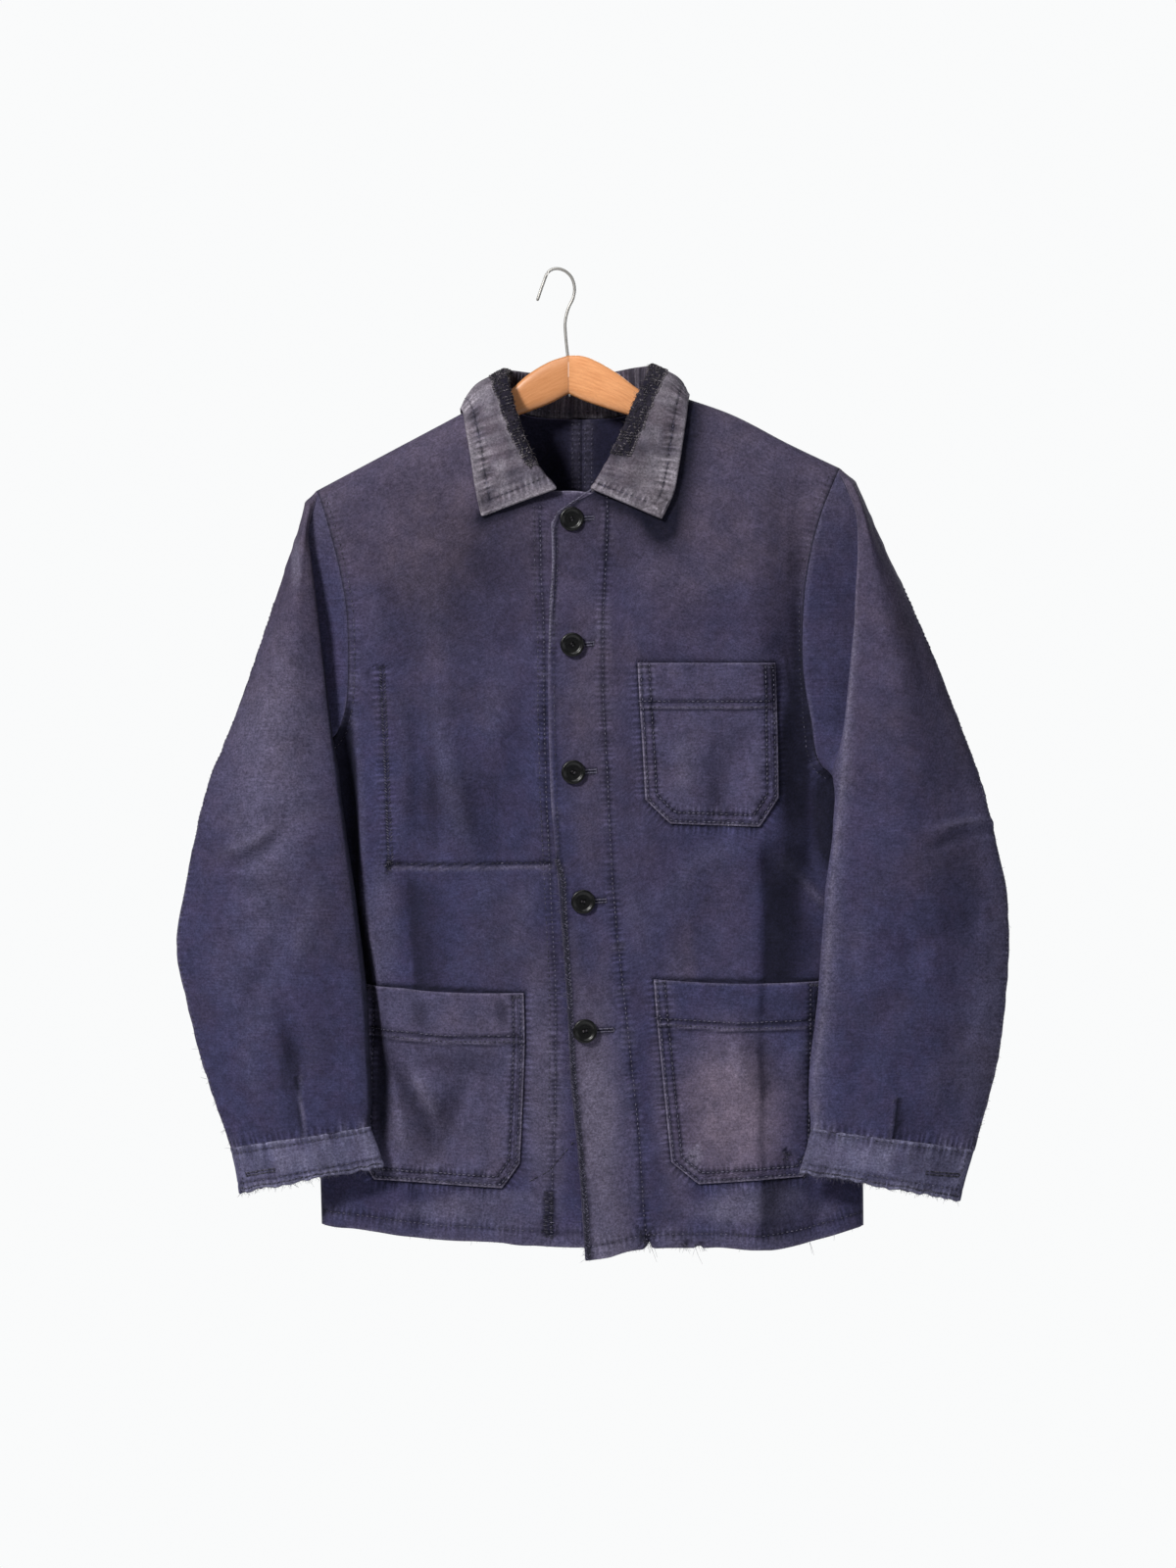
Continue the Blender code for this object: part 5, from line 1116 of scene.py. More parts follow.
# Spots: centre u and v, half sizes across and down in mm, dark, pale (wear and painted highlight), warm,
# depth in mm, raggedness, seed. The dark ones marked below are painted shade; the small deep dark ones are
# the hem's worn nicks, the knot and the darn.
FRONT_SPOTS = {
    "left": (
        (640, 860, 52, 150, 0, 0, 0.20, 0, 0.35, 31),
        (600, 1080, 26, 130, 0, 0.10, 0.35, 0, 0.35, 32),
        (600, 720, 28, 120, 0, 0.06, 0.35, 0, 0.2, 44),
        # Painted shadow under the collar's leaf
        (606, 545, 46, 42, 0.34, 0, 0, 0, 0.2, 45),
        # This and the next three: painted shade in the valley and gap beside the left sleeve, down to the
        # armpit and beside the ledge
        (812, 770, 17, 120, 1.1, 0, 0, 0, 0.12, 34),
        (809, 590, 7, 75, 0.35, 0, 0, 0, 0.12, 42),
        (846, 832, 15, 52, 1.5, 0, 0, 0, 0.12, 43),
        (802, 960, 20, 100, 0.35, 0, 0, 0, 0.1, 39),
        (690, 1110, 22, 160, 0, 0.10, 0.45, 0, 0.2, 33),
        (730, 960, 40, 80, 0, 0, 0.20, 0, 0.2, 38),
        (610, 1170, 34, 140, 0, 0.36, 0.30, 0, 0.15, 40),
        (760, 1235, 66, 26, 0, 0.42, 0, 0, 0.35, 41),
        (660, 1264, 3, 10, 1.0, 0, 0, -1.5, 0.6, 35),
        (700, 1268, 3, 4, 0.9, 0, 0, 0, 0.5, 36),
        (714, 1270, 3, 3, 0.8, 0, 0, 0, 0.5, 37),
    ),
    "right": (
        # This and the next: painted shade in the chest folds
        (440, 815, 8, 85, 0.24, 0, 0, 0, 0.2, 57),
        (504, 840, 8, 70, 0.22, 0, 0, 0, 0.2, 58),
        # Painted shadow of the right sleeve on the front
        (394, 1115, 10, 85, 0.9, 0, 0, 0, 0.12, 59),
        # Painted highlight on the lit cloth beside the sleeve's shadow
        (392, 950, 16, 75, 0, 0.16, 0, 0, 0.15, 60),
        (556, 1120, 22, 140, 0, 0.26, 0.35, 0, 0.15, 62),
        (445, 1055, 60, 14, 0.18, 0, 0, 0, 0.2, 63),
        (397, 884, 3.5, 7, 1.0, 0, 0, -0.8, 0.6, 46),
        (560, 1240, 6.5, 24, 0.8, 0, 0, 0, 0.25, 47),
        (470, 830, 40, 45, 0.30, 0, 0, 0, 0.35, 48),
        (480, 1235, 70, 22, 0, 0.26, 0, 0, 0.35, 53),
        (455, 615, 62, 62, 0.34, 0, 0, 0, 0.35, 54),
        (430, 500, 50, 30, 0.15, 0, 0, 0, 0.35, 56),
        (505, 560, 52, 42, 0.28, 0, 0, 0, 0.2, 64),
        (440, 560, 60, 70, 0, 0, 0.15, 0, 0.35, 49),
        (500, 950, 40, 60, 0, 0.05, 0, 0, 0.35, 50),
    ),
}
TOP_EDGE_SHOWS = 0.155   # length of the top front's edge, from the neck, that catches the light
UNDER_CALM_FROM = at(545, 0)[0]  # x beyond which the top front presses the under front's folds flat
SLEEVE_FOLD_LINE = route((352, 640), (356, 719), (363, 784), (365, 874), (366, 920), (376, 970), (383, 1033),
                         (399, 1117), (406, 1180))


def seam_line(cap, inset):
    """Front armhole stitching, inset towards the body."""
    line = seam_points(cap)[0]
    inward = 1.0 if cap[0][0] < 0 else -1.0
    step = tangents(line, 0)
    across = np.stack([-step[:, 1], step[:, 0]], axis=1)
    across *= np.where(np.sign(across[:, :1]) == inward, 1, -1)
    return (line + across * inset)[4:]


def fade_at_seams(relief, cap, face):
    """Bring a panel's relief down to nothing at its armhole, side seam and shoulder."""
    x, z = relief.x, relief.z
    armhole = seam_points(cap)[0 if face == "front" else 1]
    away, _, _ = from_line(armhole, x, z)
    side_x = curve_at(BODY_SECTIONS, z, 0, 1 if cap[0][0] < 0 else 2)
    below = np.clip((curve_at(SHOULDER_LINE, x) - z) / 0.03, 0, 1)
    relief.lift *= smooth(np.abs(away) / SEAM_FADE) * smooth(np.abs(x - side_x) / SIDE_FADE) * below


def top_front_edge(r):
    """Painted highlight on the upper part of the top front's edge with painted shade on both sides of it, and
    the buttonhole slits painted dark.
    """
    away, run, _ = from_line(TOP_EDGE, r.x, r.z)
    upper = smooth((TOP_EDGE_SHOWS - run) / 0.04)
    r.worn += 0.7 * bell(away, 0.0016) * upper
    r.dark += 0.6 * bell(np.abs(away) - 0.0036, 0.0010) * upper
    for (button_x, button_z), length in zip(FRONT_BUTTONS, BUTTONHOLES):
        slit = np.array([(button_x + 0.002, button_z), (button_x + length, button_z + 0.001)])
        away, run, whole = from_line(slit, r.x, r.z)
        r.dark += 1.6 * bell(away, 0.0026) * (run > 1e-6) * (run < whole - 1e-6)


def under_front_shade(r):
    """Shade beside the right sleeve's fold, and the pale edge under the inner pocket's hem."""
    away, run, whole = from_line(SLEEVE_FOLD_LINE, r.x, r.z)
    outer = smooth(0.5 - away / 0.005) * smooth(run / 0.09) * smooth((whole - run) / 0.03)
    r.dark += 1.2 * outer * (np.abs(away) < 0.040)
    below = from_line(INNER_POCKET_HEM - np.array([0.0, 0.0036]), r.x, r.z)[0]
    r.worn += 0.40 * bell(below, 0.0016) * (r.x > at(396, 0)[0]) * (r.x < at(562, 0)[0])


def pocket_shade(r, table):
    """Contact shade and gathers of a front round one of its pockets."""
    away, run, _ = from_line(pocket_outline(table), r.x, r.z)
    r.dark += 1.1 * bell(away, 0.0021)
    r.gather(0.85 * np.exp(-np.abs(away / 0.0085) ** 3), run)
    r.band("dark", pocket_top(table), 0.0026, 1.0)


def front_relief(side, x, z):
    """Relief of a front at x, z."""
    r = Relief(x, z)
    cap = CAPS[side]
    r.softness()
    for crease in FRONT_CREASES[side]:
        r.crease(*crease)
    if side == "right":
        r.lift *= 1 - 0.6 * smooth((x - UNDER_CALM_FROM) / 0.010)
    r.ledge(*FRONT_LEDGES[side])
    for line, height in FRONT_LAYERS[side]:
        r.layer(line, height)
    for seam in FRONT_SEAMS[side]:
        r.seam(*seam)
    for band in FRONT_BANDS[side]:
        r.band(*band)
    r.spots(FRONT_SPOTS[side])
    for pocket_side, table, *_ in POCKETS.values():
        if pocket_side == side:
            pocket_shade(r, table)
    if side == "left":
        top_front_edge(r)
    else:
        under_front_shade(r)
    r.seam(seam_line(cap, 0.0045), 0.45, 0.0075, 0.0080, 0.15, 51 if side == "left" else 52, 0.5, 0.55)
    r.band("dark", seam_points(cap)[0], 0.0013, 0.9)
    r.worn += 0.12 * np.clip((z + 0.280) / 0.14, 0, 1)
    r.warm += 0.75 * np.clip((z + 0.420) / 0.22, 0, 1) * (0.75 + 0.25 * noise(x / 0.05, z / 0.05, 61))
    r.worn += 0.25 * bell(z - HEM_Z + 0.002, 0.016)
    fade_at_seams(r, cap, "front")
    return r


def back_relief(x, z):
    """Relief of the back at x, z: uneven hanging folds, the centre fell seam and the hem."""
    r = Relief(x, z)
    r.softness(71)
    for *points, width, depth in BACK_CREASES:
        r.crease(np.array(points), width, depth)
    for offset in (-0.0048, 0.0048):
        line = np.array([(CENTRE_BACK_X + offset, BACK_NECK_Z), (CENTRE_BACK_X + offset, BACK_HEM_Z)])
        r.seam(line, 0.25, 0.009, 0.005, 0.3, 72)
    hem = np.array([
        (-0.205, -0.820), (-0.100, -0.832), (CENTRE_BACK_X, -0.833), (0.150, -0.832), (0.270, -0.820),
    ])
    r.seam(hem, 0.35, 0.010, 0.007, 0.3, 73)
    r.layer(hem[::-1], 0.5)
    r.worn += 0.24 * np.clip((z + 0.280) / 0.14, 0, 1)
    r.warm += 0.6 * np.clip((z + 0.420) / 0.22, 0, 1)
    for cap in (RIGHT_CAP, LEFT_CAP):
        fade_at_seams(r, cap, "back")
    return r


def front_surface(side, x, z, out=0.0):
    """Points on a front's middle with its folds, and their normals."""
    x, z = np.asarray(x, float), np.asarray(z, float)
    points, normals = body_surface("front", x, z)
    lift = front_relief(side, x, z).lift + out
    if side == "left":
        lift = lift + lap_out(x, z)
    return points + normals * lift[..., None], normals


# ----------------------------------------------------------------------------------------------------
# Meshes


def linked(name, data):
    thing = bpy.data.objects.new(name, data)
    bpy.context.scene.collection.objects.link(thing)
    return thing


def new_piece(name, mesh, material, replaced=()):
    """Link a mesh with its material, parent it to the root body's empty and hide the CAD parts it replaces.
    """
    mesh.materials.append(material)
    thing = linked(name, mesh)
    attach(thing, "root")
    if replaced:
        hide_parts(*replaced)
    return thing


def add_attributes(mesh, **values):
    for name, numbers in values.items():
        attribute = mesh.attributes.new(name, "FLOAT", "POINT")
        attribute.data.foreach_set("value", np.clip(np.asarray(numbers, np.float32).ravel(), 0, 1))


def rim_loop(rows, columns):
    """Rows and columns of a grid's outermost points, once round."""
    loop = [(0, c) for c in range(columns)] + [(r, columns - 1) for r in range(1, rows)]
    loop += [(rows - 1, c) for c in range(columns - 2, -1, -1)] + [(r, 0) for r in range(rows - 2, 0, -1)]
    return np.array(loop)


def rim_points(points, normals, thickness, loop):
    """Points of the rounded edge between a shell's two faces."""
    rows, columns = points.shape[:2]
    places = points[loop[:, 0], loop[:, 1]]
    inward = np.clip(loop, [1, 1], [rows - 2, columns - 2])
    away = unit(places - points[inward[:, 0], inward[:, 1]])
    along_normals = normals[loop[:, 0], loop[:, 1]]
    away = unit(away - np.sum(away * along_normals, axis=1, keepdims=True) * along_normals)
    return places + away * thickness * EDGE_ROUND


def shell_faces(rows, columns, at_rim):
    """Quads of a shell: its outer face, its inner face and two strips round its rim."""
    layer = rows * columns
    index = np.arange(layer).reshape(rows, columns)
    quads = np.stack([index[:-1, :-1], index[:-1, 1:], index[1:, 1:], index[1:, :-1]], axis=-1).reshape(-1, 4)
    after = np.roll(at_rim, -1)
    ring = 2 * layer + np.arange(len(at_rim))
    ring_after = np.roll(ring, -1)
    upper = np.stack([at_rim, ring, ring_after, after], axis=-1)
    lower = np.stack([ring, at_rim + layer, after + layer, ring_after], axis=-1)
    return np.concatenate([quads, quads[:, ::-1] + layer, upper, lower])


def faces_outward(outer, normals):
    """Whether quads that run along rows and then down columns face the way of the normals."""
    row, column = outer.shape[0] // 2, outer.shape[1] // 2
    here = outer[row, column]
    facing = np.cross(outer[row, column + 1] - here, outer[row + 1, column] - here)
    return np.dot(facing, normals[row, column]) >= 0


def quad_mesh(name, vertices, faces):
    mesh = bpy.data.meshes.new(name)
    mesh.vertices.add(len(vertices))
    mesh.vertices.foreach_set("co", vertices.astype(np.float32).ravel())
    mesh.loops.add(faces.size)
    mesh.loops.foreach_set("vertex_index", faces.astype(np.int32).ravel())
    mesh.polygons.add(len(faces))
    mesh.polygons.foreach_set("loop_start", np.arange(0, faces.size, 4, dtype=np.int32))
    mesh.update(calc_edges=True)
    mesh.validate()
    mesh.shade_smooth()
    return mesh


def add_uv(mesh, vertex_uv):
    """A UV layer from one pair of numbers for each vertex."""
    layer = mesh.uv_layers.new(name="cloth")
    corners = np.empty(len(mesh.loops), dtype=np.int32)
    mesh.loops.foreach_get("vertex_index", corners)
    layer.data.foreach_set("uv", vertex_uv[corners].astype(np.float32).ravel())


def cloth(
    name, points, normals, thickness, material, relief, replaced, edge=0.6, inside=0.55,
):
    """Thin closed shell on a grid of points, with rounded edges and the wear of relief.

    edge is how pale its cut edge is worn, and inside how dark its inner face is.
    """
    rows, columns = points.shape[:2]
    outer = points + normals * thickness / 2
    inner = points - normals * thickness / 2
    layer = rows * columns
    loop = rim_loop(rows, columns)
    at_rim = loop[:, 0] * columns + loop[:, 1]
    rim = rim_points(points, normals, thickness, loop)
    faces = shell_faces(rows, columns, at_rim)
    if not faces_outward(outer, normals):
        faces = faces[:, ::-1]
    mesh = quad_mesh(name, np.concatenate([outer.reshape(-1, 3), inner.reshape(-1, 3), rim]), faces)
    ragged = 0.6 + 0.4 * noise(np.arange(len(loop)) / 9.0, 0.0, 91)
    worn = relief.worn.copy()
    worn[loop[:, 0], loop[:, 1]] += edge * 0.6 * ragged
    near, run = relief.near.ravel(), relief.run.ravel()
    nothing, no_rim = np.zeros(layer), np.zeros(len(loop))
    add_attributes(
        mesh,
        # The inner face is pale along its seams' puckers: wear and painted highlight
        worn=np.concatenate([worn.ravel(), 0.75 * near, edge * ragged]),
        dark=np.concatenate([relief.dark.ravel(), np.full(layer, inside), no_rim]),
        warm=np.concatenate([relief.warm.ravel(), nothing, no_rim]),
        near=np.concatenate([near, near * 0.6, no_rim]),
        run=np.concatenate([run, run, run[at_rim]]),
    )
    across, down = lengths(points[rows // 2]), lengths(points[:, columns // 2])
    grid_uv = np.stack(np.meshgrid(across, down), axis=-1).reshape(-1, 2)
    add_uv(mesh, np.concatenate([grid_uv, grid_uv, grid_uv[at_rim]]))
    return new_piece(name, mesh, material, replaced)


def tubes(name, paths, radii, material, sides=6, shade=None):
    """One mesh of many short tubes; paths is tubes by points by xyz, radii is by points."""
    paths = np.asarray(paths, float)
    count, steps = paths.shape[:2]
    run = tangents(paths, 1)
    other = np.where(np.abs(run[..., 2:3]) > 0.8, [[[1.0, 0.0, 0.0]]], [[[0.0, 0.0, 1.0]]])
    first = unit(np.cross(run, other))
    second = np.cross(run, first)
    angle = 2 * math.pi * np.arange(sides) / sides
    ring = first[:, :, None] * np.cos(angle)[:, None] + second[:, :, None] * np.sin(angle)[:, None]
    vertices = paths[:, :, None] + ring * np.broadcast_to(radii, (count, steps))[:, :, None, None]
    base = np.arange(count)[:, None, None] * steps * sides
    row = np.arange(steps - 1)[None, :, None] * sides
    k = np.arange(sides)[None, None]
    following = (k + 1) % sides
    quads = np.stack([base + row + k, base + row + following, base + row + sides + following,
                      base + row + sides + k], axis=-1).reshape(-1, 4)
    start = (np.arange(count)[:, None] * steps * sides + np.arange(sides)[None, ::-1]).tolist()
    finish = ((np.arange(count)[:, None] * steps + steps - 1) * sides + np.arange(sides)[None]).tolist()
    mesh = bpy.data.meshes.new(name)
    mesh.from_pydata(vertices.reshape(-1, 3).tolist(), [], quads.tolist() + start + finish)
    mesh.shade_smooth()
    if shade is not None:
        add_attributes(mesh, worn=np.repeat(shade, steps * sides))
    return new_piece(name, mesh, material, ())


rng = np.random.default_rng(7)


class Thread:
    """Stitches and loose ends gathered for one piece of sewing."""

    def __init__(self):
        self.stitches, self.hairs, self.shade, self.hair_shade = [], [], [], []

    def stitch(self, a, b, normals, height=0.5, shade=0.3):
        """Stitches from a to b over the surface; height in radii."""
        t = np.array([0.0, 0.3, 0.7, 1.0])
        rise = STITCH_RADIUS * np.array([-1.6, 0.8, 0.8, -1.6]) * (0.6 + height)
        path = a[:, None] * (1 - t)[None, :, None] + b[:, None] * t[None, :, None]
        self.stitches.append(path + normals[:, None] * rise[None, :, None])
        self.shade.append(np.clip(shade + 0.3 * rng.standard_normal(len(a)), 0, 1))

    def row(
        self, points, normals, pitch=STITCH_PITCH, length=STITCH_LENGTH, shade=0.3, skip=0.04, zigzag=0.0,
    ):
        """Running stitches along a polyline on a surface."""
        gone = lengths(points)
        count = int(gone[-1] / pitch)
        if count < 1:
            return
        starts = (np.arange(count) + 0.15) * pitch
        starts = starts[rng.random(count) > skip]
        a, b = read(points, gone, starts), read(points, gone, starts + length)
        n = unit(read(normals, gone, starts + length / 2))
        if zigzag:
            across = unit(np.cross(n, b - a)) * zigzag
            a, b = a - across, b + across
        a = a + rng.standard_normal(a.shape) * STITCH_JITTER
        b = b + rng.standard_normal(b.shape) * STITCH_JITTER
        self.stitch(a, b, n, 0.5, shade)

    def fray(self, points, normals, away, per_metre, length, shade=0.5, curl=0.5, drop=0.3):
        """Loose hairs along a polyline that lean away from it and hang a little."""
        gone = lengths(points)
        count = int(gone[-1] * per_metre)
        where = np.sort(rng.random(count)) * gone[-1]
        root = read(points, gone, where)
        n = unit(read(normals, gone, where))
        lean = unit(read(away, gone, where))
        size = length * (0.35 + rng.gamma(2.0, 0.4, count))[:, None]
        way = unit(lean + curl * rng.standard_normal(root.shape) + 0.2 * n)
        bend = curl * rng.standard_normal(root.shape)
        bend[:, 2] -= drop
        path = []
        for t in (0.0, 0.3, 0.6, 1.0):
            path.append(root + way * size * t + bend * size * 0.5 * t * t)
        self.hairs.append(np.stack(path, axis=1))
        self.hair_shade.append(np.clip(shade + 0.25 * rng.standard_normal(count), 0, 1))

    def build(self, name, material):
        if self.stitches:
            radii = STITCH_RADIUS * np.array([0.6, 1.0, 1.0, 0.6])[None]
            shade = np.concatenate(self.shade)
            tubes(f"stitches_{name}", np.concatenate(self.stitches), radii, material, 4, shade=shade)
        if self.hairs:
            radii = HAIR_RADIUS * np.array([1.0, 1.0, 0.9, 0.6])[None]
            shade = np.concatenate(self.hair_shade)
            tubes(f"loose_threads_{name}", np.concatenate(self.hairs), radii, material, 3, shade=shade)


def resampled(line, step=0.004):
    """A polyline with points about step apart."""
    return along(line, np.linspace(0, 1, max(2, int(lengths(line)[-1] / step))))


def sew(thread, side, line, out=0.0, **options):
    """Stitches on a front along a line on the front view."""
    line = resampled(line)
    points, normals = front_surface(side, line[:, 0], line[:, 1], THIN / 2 + out)
    thread.row(points, normals, **options)


def inset(line, distance):
    """A polyline moved to its left by distance."""
    step = unit(np.diff(line, axis=0))
    left = np.stack([-step[:, 1], step[:, 0]], axis=1)
    first, last = left[:1], left[-1:]
    mean = np.concatenate([first, unit(left[:-1] + left[1:]), last])
    stretch = np.concatenate([[1.0], 1 / np.maximum(np.sum(mean[1:-1] * left[1:], axis=1), 0.5), [1.0]])
    return line + mean * (distance * stretch)[:, None]


# ----------------------------------------------------------------------------------------------------
# Materials


class Material:
    """A principled material with short ways to add the nodes that drive it."""

    def __init__(self, name):
        self.material = bpy.data.materials.new(name)
        self.material.use_nodes = True
        self.tree = self.material.node_tree
        self.shader = self.tree.nodes["Principled BSDF"]

    def join(self, value, socket):
        """Link an output to a socket, or write a number or a colour into it."""
        if isinstance(value, tuple):
            socket.default_value = value if len(value) == len(socket.default_value) else (*value, 1.0)
        elif isinstance(value, (int, float)):
            socket.default_value = value
        else:
            self.tree.links.new(value, socket)

    def set(self, **values):
        """Inputs of the shader, their names with _ for each space."""
        for name, value in values.items():
            self.join(value, self.shader.inputs[name.replace("_", " ")])

    def add(self, kind, **values):
        node = self.tree.nodes.new(f"ShaderNode{kind}")
        for name, value in values.items():
            self.join(value, node.inputs[name.replace("_", " ")])
        return node

    def place(self, kind="Object"):
        return self.add("TexCoord").outputs[kind]

    def stretched(self, vector, scale):
        return self.add("Mapping", Vector=vector, Scale=scale).outputs[0]

    def noise(self, vector, scale, detail=4.0, rough=0.6):
        return self.add("TexNoise", Vector=vector, Scale=scale, Detail=detail, Roughness=rough).outputs["Fac"]

    def ramp(self, value, low, high, start=0.0, end=1.0):
        ends = {"From Min": low, "From Max": high, "To Min": start, "To Max": end}
        return self.add("MapRange", Value=value, **ends).outputs["Result"]

    def math(self, kind, *values):
        node = self.add("Math")
        node.operation = kind
        for socket, value in zip(node.inputs, values):
            self.join(value, socket)
        return node.outputs[0]

    def times(self, a, b):
        return self.math("MULTIPLY", a, b)

    def plus(self, a, b):
        return self.math("ADD", a, b)

    def mixed(self, factor, a, b, blend="MIX"):
        node = self.add("Mix")
        node.data_type = "RGBA"
        node.blend_type = blend
        node.clamp_factor = True
        for number, value in ((0, factor), (6, a), (7, b)):
            self.join(value, node.inputs[number])
        return node.outputs[2]

    def attribute(self, name):
        node = self.add("Attribute")
        node.attribute_name = name
        return node.outputs["Fac"]

    def bump(self, height, distance, strength=1.0):
        node = self.add("Bump", Height=height, Distance=distance, Strength=strength)
        self.set(Normal=node.outputs["Normal"])


def gathered(m, patchy):
    """Waves along a seam, uneven in pitch and height, as strong as near says."""
    run = m.attribute("run")
    wander = m.add("TexNoise", Scale=1.0)
    wander.noise_dimensions = "1D"
    m.join(m.times(run, 0.35 / GATHER), wander.inputs["W"])
    drift = wander.outputs["Fac"]
    phase = m.plus(m.times(run, 2 * math.pi / GATHER), m.ramp(drift, 0.0, 1.0, 0.0, 9.0))
    phase = m.plus(phase, m.ramp(patchy, 0.0, 1.0, 0.0, 2.4))
    waves = m.plus(m.times(m.math("SINE", phase), 0.75), m.ramp(drift, 0.3, 0.7, -0.5, 0.5))
    return m.times(waves, m.attribute("near"))


def cloth_material(name, base, deep, pale, warm, hue_share=0.42, sheen=0.03):
    """Washed moleskin: mottled dye, a fine satin rib, lint, pale wear and painted highlight, and darker cloth
    and painted shade from the dark attribute.
    """
    m = Material(name)
    where = m.place()
    flat = m.place("UV")
    cloudy = m.noise(where, 14.0, 5.0, 0.62)
    patchy = m.noise(where, 55.0, 4.0, 0.65)
    lint = m.noise(where, 520.0, 3.0, 0.75)
    fleck = m.noise(where, 150.0, 3.0, 0.65)
    grain = m.noise(where, 2600.0, 2.0, 0.6)
    weft = m.noise(m.stretched(flat, (0.16, 1.0, 1.0)), 620.0, 3.0, 0.6)
    rib = m.add("TexWave", Vector=flat, Scale=160.0, Distortion=3.0, Detail=2.0, Detail_Scale=2.0)
    rib.bands_direction = "DIAGONAL"

    # Dye: a plum cast in places, deep and warm clouds, then the pale places (wear and painted highlight) and
    # the dark places (darker cloth and painted shade)
    plum = tuple(c * k for c, k in zip(base, (1.14, 0.88, 0.84)))
    hue = m.noise(where, 40.0, 4.0, 0.66)
    colour = m.mixed(m.ramp(hue, 0.42, 0.60, 0.0, hue_share), base, plum)
    colour = m.mixed(m.ramp(cloudy, 0.40, 0.72, 0.0, 0.28), colour, deep)
    warm_share = m.plus(m.attribute("warm"), m.ramp(cloudy, 0.5, 0.72, 0.0, 0.22))
    colour = m.mixed(m.times(warm_share, m.ramp(patchy, 0.3, 0.6, 0.75, 1.1)), colour, warm)
    worn_share = m.times(m.attribute("worn"), m.ramp(lint, 0.35, 0.65, 0.70, 1.12))
    colour = m.mixed(worn_share, colour, pale)
    dark_share = m.times(m.attribute("dark"), m.ramp(patchy, 0.3, 0.7, 0.85, 1.05))
    colour = m.mixed(dark_share, colour, deep)

    # Brightness: the speckle of lint and threads, painted shade that goes nearly black where dark passes 1,
    # and painted highlight on the gathers' crests
    speckle_and_painted_light = m.ramp(lint, 0.32, 0.68, 0.68, 1.38)
    speckles = ((fleck, 0.84, 1.16), (grain, 0.82, 1.18), (patchy, 0.84, 1.14), (weft, 0.84, 1.16))
    for field, low, high in speckles:
        speckle_and_painted_light = m.times(speckle_and_painted_light, m.ramp(field, 0.3, 0.7, low, high))
    speckle_and_painted_light = m.times(speckle_and_painted_light, m.ramp(m.attribute("dark"), 1.0, 1.8, 1.0, 0.30))
    gathers = gathered(m, patchy)
    crests = m.times(m.math("MAXIMUM", gathers, 0.0), 0.40)
    lit = m.plus(m.times(gathers, 0.30), m.plus(crests, 1.0))
    speckle_and_painted_light = m.times(speckle_and_painted_light, lit)
    bright = m.add("CombineColor", Red=speckle_and_painted_light, Green=speckle_and_painted_light, Blue=speckle_and_painted_light)
    colour = m.mixed(1.0, colour, bright.outputs[0], "MULTIPLY")

    rough = m.plus(0.86, m.ramp(patchy, 0.3, 0.7, -0.05, 0.06))
    m.set(Base_Color=colour, Roughness=rough, Specular_IOR_Level=0.12)
    m.set(Sheen_Weight=sheen, Sheen_Roughness=0.55, Sheen_Tint=(0.62, 0.60, 0.78))
    height = m.plus(m.times(rib.outputs["Fac"], 0.35), lint)
    for field, share in ((grain, 0.5), (patchy, 2.2), (gathers, 2.4)):
        height = m.plus(height, m.times(field, share))
    m.bump(height, 0.00022, 0.8)
    return m.material


def thread_material(name, dark, pale):
    m = Material(name)
    where = m.place()
    twist = m.noise(where, 3500.0, 2.0)
    share = m.times(m.attribute("worn"), m.ramp(twist, 0.3, 0.7, 0.6, 1.2))
    m.set(Base_Color=m.mixed(share, dark, pale), Roughness=0.75, Sheen_Weight=0.05)
    m.bump(twist, 0.0001, 0.6)
    return m.material


def button_material():
    m = Material("button_black")
    where = m.place()
    marks = m.noise(where, 420.0, 5.0, 0.7)
    scratch = m.noise(where, 1900.0, 3.0, 0.75)
    colour = m.mixed(m.ramp(marks, 0.45, 0.75, 0.0, 0.6), (0.0042, 0.0044, 0.0048), (0.012, 0.0125, 0.013))
    m.set(Base_Color=colour, Roughness=m.ramp(scratch, 0.3, 0.75, 0.24, 0.38), Specular_IOR_Level=0.30)
    m.bump(scratch, 0.00004, 0.7)
    return m.material


def wood_material():
    """Varnished beech: long grain along the arm and short dark flecks, darkened by the dark attribute, which
    holds painted shade on the underside and the right arm and the darker joint.
    """
    m = Material("varnished_beech")
    lengthwise = m.stretched(m.place("UV"), (1.0, 9.0, 1.0))
    grain = m.noise(lengthwise, 60.0, 6.0, 0.65)
    fine = m.noise(lengthwise, 420.0, 3.0, 0.6)
    flecks = m.add("TexVoronoi", Vector=lengthwise, Scale=260.0)
    colour = m.mixed(m.ramp(grain, 0.32, 0.70), (0.90, 0.43, 0.195), (0.70, 0.28, 0.105))
    colour = m.mixed(m.ramp(fine, 0.45, 0.75, 0.0, 0.35), colour, (0.45, 0.18, 0.075))
    colour = m.mixed(m.ramp(flecks.outputs["Distance"], 0.18, 0.05, 0.0, 0.35), colour, (0.33, 0.13, 0.04))
    # Painted shade and the darker joint, from the dark attribute
    colour = m.mixed(m.times(m.attribute("dark"), 0.55), colour, (0.36, 0.14, 0.045))
    rough = m.ramp(fine, 0.3, 0.7, 0.34, 0.50)
    m.set(Base_Color=colour, Roughness=rough, Coat_Weight=0.25, Coat_Roughness=0.25)
    m.bump(m.plus(grain, m.times(fine, 0.4)), 0.00015, 0.5)
    return m.material


def steel_material():
    m = Material("wire_steel")
    where = m.place()
    haze = m.noise(where, 110.0, 3.0, 0.5)
    colour = m.mixed(m.ramp(haze, 0.4, 0.75, 0.0, 0.7), (0.44, 0.43, 0.41), (0.28, 0.27, 0.26))
    m.set(Base_Color=colour, Metallic=0.65, Roughness=m.ramp(haze, 0.3, 0.7, 0.38, 0.50))
    m.bump(haze, 0.00003, 0.6)
    return m.material


